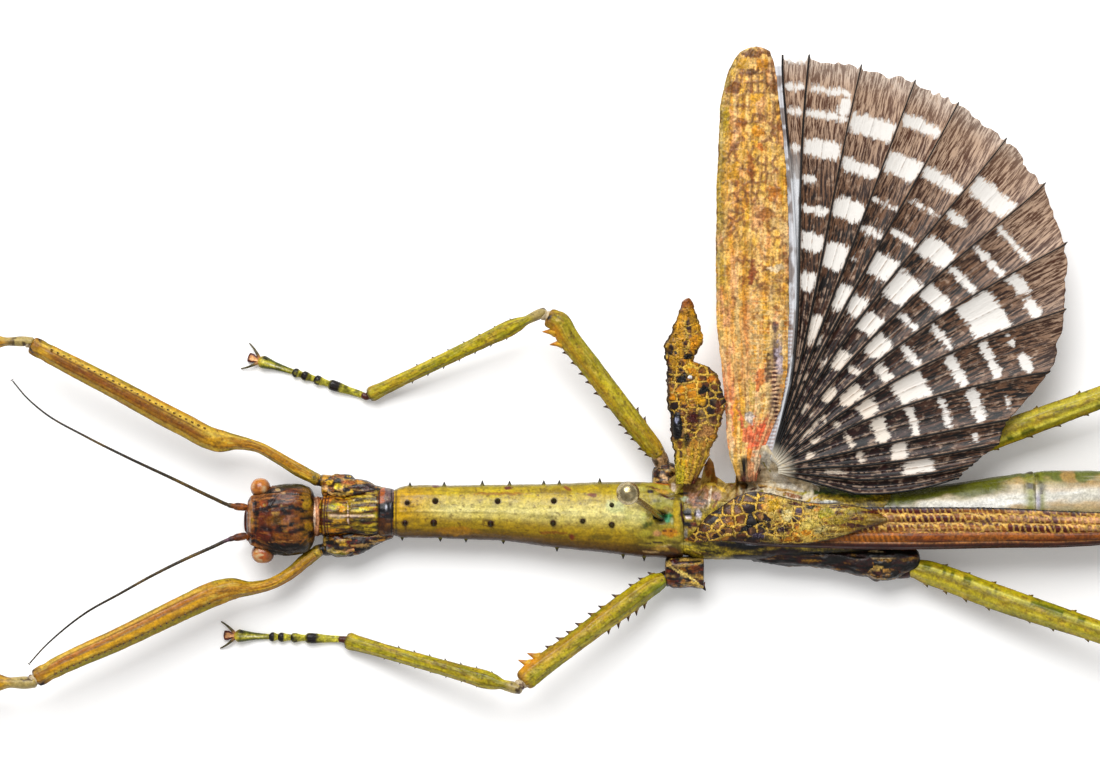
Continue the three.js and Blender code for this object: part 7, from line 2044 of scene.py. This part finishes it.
def fan_material():
    recipe = Recipe("Fan_film", 0.45, 0.12)
    reach = recipe.mark("reach")
    vector = recipe.node("ShaderNodeCombineXYZ")
    recipe.wire(vector.inputs[0], recipe.sum("MULTIPLY", recipe.mark("sideways"), 0.001))
    slant = recipe.sum("SUBTRACT", reach, recipe.sum("MULTIPLY", recipe.mark("vein"), 1.4))
    recipe.wire(vector.inputs[1], recipe.sum("MULTIPLY", slant, 0.00012))
    fibre = recipe.noise(0.3, 4.0, vector.outputs[0], 0.7)
    blot = recipe.noise(0.75, 3.0)
    ragged = recipe.sum(
        "ADD", recipe.fit(fibre, 0.25, 0.75, -0.4, 0.4), recipe.fit(blot, 0.3, 0.7, -0.2, 0.2),
    )
    pale = recipe.fit(recipe.sum("ADD", recipe.mark("window"), ragged), -0.2, 0.3)
    share = recipe.sum("DIVIDE", reach, FAN_LONGEST)
    dark = recipe.mix(recipe.fit(share, 0.25, 0.7), rgb(70, 44, 32), rgb(130, 98, 78))
    dark = recipe.mix(recipe.fit(share, 0.66, 0.9), dark, rgb(206, 174, 148))
    dark = recipe.mix(recipe.fit(share, 0.93, 1.0), dark, rgb(234, 214, 196))
    dark = recipe.mix(recipe.fit(blot, 0.5, 0.72, 0, 0.7), dark, rgb(206, 176, 152))
    streak = recipe.sum("MULTIPLY", recipe.fit(fibre, 0.42, 0.56), recipe.fit(share, 0.85, 1.0, 1, 0.75))
    dark = recipe.mix(
        streak, dark, recipe.mix(recipe.fit(share, 0.6, 0.95), rgb(28, 16, 14), rgb(96, 66, 48)),
    )
    light = recipe.mix(recipe.fit(share, 0.15, 0.5), rgb(238, 222, 202), rgb(250, 245, 238))
    light = recipe.mix(recipe.fit(fibre, 0.52, 0.7, 0, 0.2), light, rgb(196, 176, 160))
    colour = recipe.mix(pale, dark, light)
    mid = recipe.mark("mid")
    thread = recipe.sum("MULTIPLY", recipe.fit(mid, 0.02, 0.09, 0.8, 0), recipe.fit(blot, 0.42, 0.58))
    colour = recipe.mix(thread, colour, rgb(196, 168, 146))
    edge = recipe.mark("vein")
    beside = recipe.sum(
        "MULTIPLY", recipe.fit(edge, 0.12, 0.34, 0.8, 0), recipe.fit(share, 0.35, 0.8, 1, 0.15),
    )
    colour = recipe.mix(
        recipe.sum("MULTIPLY", beside, recipe.fit(blot, 0.35, 0.6)), colour, rgb(206, 178, 156),
    )
    colour = recipe.mix(recipe.fit(edge, 0.04, 0.1, 1, 0), colour, rgb(42, 26, 20))
    colour = recipe.mix(recipe.fit(reach, 1.6, 4.0, 1, 0), colour, rgb(214, 204, 184))
    colour = recipe.mix(recipe.mark("bare"), colour, recipe.mark("paint", colour=True))
    recipe.colour(colour)
    recipe.wire(recipe.shader.inputs["Roughness"], recipe.fit(fibre, 0.3, 0.7, 0.36, 0.55))
    recipe.relief((fibre, 0.09), (recipe.noise(0.5), 0.04))
    return recipe.material


def build_fan():
    columns = int(FAN_CELL_COLUMNS * (1 + FINE) / 2)
    step = np.linspace(0, 1, columns, endpoint=False)
    step = step - np.sin(4 * np.pi * step) * 0.045         # closer together at the veins and mid lines
    across = np.concatenate([i + step for i in range(len(VEINS) - 1)] + [[len(VEINS) - 1.0]])
    out = np.linspace(0, 1, int(FAN_ROWS * FINE)) ** 0.9
    out, across = np.meshgrid(out, across, indexing="ij")
    nearest = np.round(across)
    _, _, width, _ = fan_place(across, out)
    from_vein = np.abs(across - nearest) * width
    spike = bump(from_vein, 0, 0.13) * ease(0.985, 1.0, out) * 0.017
    fringe = 0.007 * grain(np.stack([across * 9, 0 * out, 0 * out], axis=-1), 1.0, 120, 3) * ease(0.9, 1, out)
    points, reach, width, share = fan_place(across, out + spike + fringe)
    from_mid = np.abs(share - 0.5) * width
    main = bump(from_vein, 0, 0.12)
    points[..., 2] += 0.16 * main + 0.07 * bump(from_mid, 0, 0.1) + 0.05 * bump(from_vein, 0.35, 0.12)
    depth = window_depth(across, reach, width, share)
    depth = depth + 0.12 * grain(points, 0.8, 121, 2)
    front = ease(1.0, 0.9, across)                       # the first cell is nearly clear film
    smoke = grain(points, (0.8, 1.6, 2), 122, 2)
    paint = over(
        np.broadcast_to(rgb(234, 236, 240), points.shape), rgb(132, 116, 104),
        ease(0.0, 0.35, smoke) * 0.7,
    )
    bare = front * ease(42, 39, reach) * 0.85
    shape = sheet_to(
        Shape(), points, 0.1 + 0.14 * main, reach=reach, sideways=share * width + nearest * 7,
        vein=from_vein, mid=from_mid, window=depth, paint=paint, bare=bare,
    )
    film = np.linspace(0.02, 0.985, int(200 * FINE))
    vein_points, vein_reach, _, _ = fan_place(np.full(film.shape, 0.06), film)
    front_rows = np.array(REMIGIUM)
    rear = np.interp(vein_points[:, 1], front_rows[:, 2], front_rows[:, 1]) - 0.7
    high = np.interp(vein_points[:, 1], front_rows[:, 2], front_rows[:, 3]) - 0.1
    start = np.stack([np.minimum(rear, vein_points[:, 0] - 0.3), vein_points[:, 1], high], axis=-1)
    across = np.linspace(0, 1, 14)[None, :, None]
    strip = start[:, None] * (1 - across) + (vein_points - [0, 0, 0.1])[:, None] * across
    strip[..., 2] += 0.1 * np.cos(across[..., 0] * 4 * np.pi)
    smoke = grain(strip, (2.0, 1.5, 2), 123, 3)
    paint = over(
        np.broadcast_to(rgb(232, 232, 236), strip.shape), rgb(128, 108, 96),
        ease(0.05, 0.35, smoke) * 0.75,
    )
    cross = np.sin(2 * np.pi * strip[..., 1] / 0.5 + 1.5 * grain(strip, 0.8, 124))
    paint = over(paint, rgb(150, 108, 84), ease(0.0, 0.6, cross) * ease(30, 22, strip[..., 1]) * 0.7)
    sheet_to(
        shape, strip, 0.12, paint=paint, bare=1.0, reach=vein_reach[:, None], vein=1.0, mid=1.0,
        window=0.5,
    )
    made("Hind_wing_right_fan", shape, fan_material(), "wing_fan", "hind_wing_right_fan")


# ---- insect pin ------------------------------------------------------------------------------
def build_pin():
    recipe = Recipe("Pin_steel", 0.26, 0.0, 1.0)
    scratch = recipe.noise(0.35, 4)
    recipe.colour(recipe.mix(recipe.fit(scratch, 0.4, 0.7), rgb(206, 190, 150), rgb(168, 150, 112)))
    recipe.wire(recipe.shader.inputs["Roughness"], recipe.fit(scratch, 0.3, 0.7, 0.2, 0.36))
    recipe.relief((recipe.noise(0.25), 0.01))
    way = (PIN_HEAD - PIN_FOOT) / np.linalg.norm(PIN_HEAD - PIN_FOOT)
    foot = PIN_FOOT + way * 0.18
    shaft = Tube(
        [(*foot, PIN_RADIUS, PIN_RADIUS), (*PIN_HEAD, PIN_RADIUS, PIN_RADIUS)], 60, 40, ends=(0.02, 0),
    )
    shaft.points[..., 2] = np.maximum(shaft.points[..., 2], 0.02)
    shape = shaft.to(Shape(), paint=plain(shaft, TAN))
    r = PIN_BALL
    low, high = PIN_HEAD - way * 0.12, PIN_HEAD + way * 0.12
    ball = Tube([(*low, r, r), (*high, r, r)], 10, 72, ends=(r - 0.12, r - 0.12))
    ball.to(shape, paint=plain(ball, TAN))
    neck = PIN_HEAD - way * (r + 0.05)
    collar = Tube(
        [(*(neck - way * 0.2), 0.55, 0.55), (*(neck + way * 0.35), 0.62, 0.62)], 12, 40, ends=(0.1, 0.1),
    )
    collar.to(shape, paint=plain(collar, TAN))
    made("Insect_pin", shape, recipe.material, "pin_metal", "insect_pin")


# ---- floor, light and camera -------------------------------------------------------------------
CAMERA_HEIGHT = 600
CAMERA_PLACE = (0.0, 17.05)         # over this point of the working frame
VIEW_WIDTH = 141.03                 # what the picture takes in from side to side at SUBJECT_Z
SUBJECT_Z = 6
SENSOR = 36
LIT_PLACE = (15.0, 5.0, 5.0)        # what the lights point at, in the working frame
FLOOR_HALF = 3.0                    # half the side of the floor, in metres


def build_stage():
    mesh = bpy.data.meshes.new("Floor")
    corners = [(-1, -1), (1, -1), (1, 1), (-1, 1)]
    mesh.from_pydata([(x * FLOOR_HALF, y * FLOOR_HALF, 0) for x, y in corners], [], [(0, 1, 2, 3)])
    floor = bpy.data.objects.new("Floor", mesh)
    bpy.context.scene.collection.objects.link(floor)
    recipe = Recipe("Floor_paper", 0.9)
    recipe.colour(recipe.tint(np.array([0.95, 0.945, 0.94]), 60.0, 0.01))
    # The floor also glows faintly: painted light that lifts the shadows cast on it.
    recipe.shader.inputs["Emission Color"].default_value = (1.0, 0.985, 0.96, 1.0)
    recipe.shader.inputs["Emission Strength"].default_value = 0.12
    mesh.materials.append(recipe.material)

    world = bpy.data.worlds.new("Studio")
    world.use_nodes = True
    world.node_tree.nodes["Background"].inputs["Color"].default_value = (1, 1, 1, 1)
    world.node_tree.nodes["Background"].inputs["Strength"].default_value = 0.42
    bpy.context.scene.world = world
    target = (np.array(LIT_PLACE) + SHIFT) / MM
    for name, place, power, size in (
        ("Key", (-0.16, 0.48, 0.62), 8.4, 0.6), ("Fill", (0.3, -0.3, 0.6), 0.4, 0.5),
    ):
        light = bpy.data.objects.new(name, bpy.data.lights.new(name, "AREA"))
        light.data.energy = power
        light.data.size = size
        light.location = place
        way = target - np.array(place)
        light.rotation_euler = Vector(way).to_track_quat("-Z", "Y").to_euler()
        bpy.context.scene.collection.objects.link(light)

    camera = bpy.data.objects.new("Camera", bpy.data.cameras.new("Camera"))
    camera.data.sensor_width = SENSOR
    camera.data.lens = SENSOR * (CAMERA_HEIGHT - SUBJECT_Z) / VIEW_WIDTH
    camera.location = (np.array([*CAMERA_PLACE, CAMERA_HEIGHT]) + SHIFT * (1, 1, 0)) / MM
    bpy.context.scene.collection.objects.link(camera)
    bpy.context.scene.camera = camera
    bpy.context.scene.view_settings.view_transform = "Standard"


build_head()
build_eyes()
build_mouth()
build_antenna("Antenna_right", "antenna_right", ANTENNA_RIGHT, 1.0)
build_antenna("Antenna_left", "antenna_left", ANTENNA_LEFT, 0.0)
build_prothorax()
build_mesothorax()
build_metathorax()
build_wing_roots()
build_abdomen()
build_legs()
build_tegmen_right()
build_tegmen_left()
build_remigium()
build_folded_wing()
build_fan()
build_pin()
build_stage()
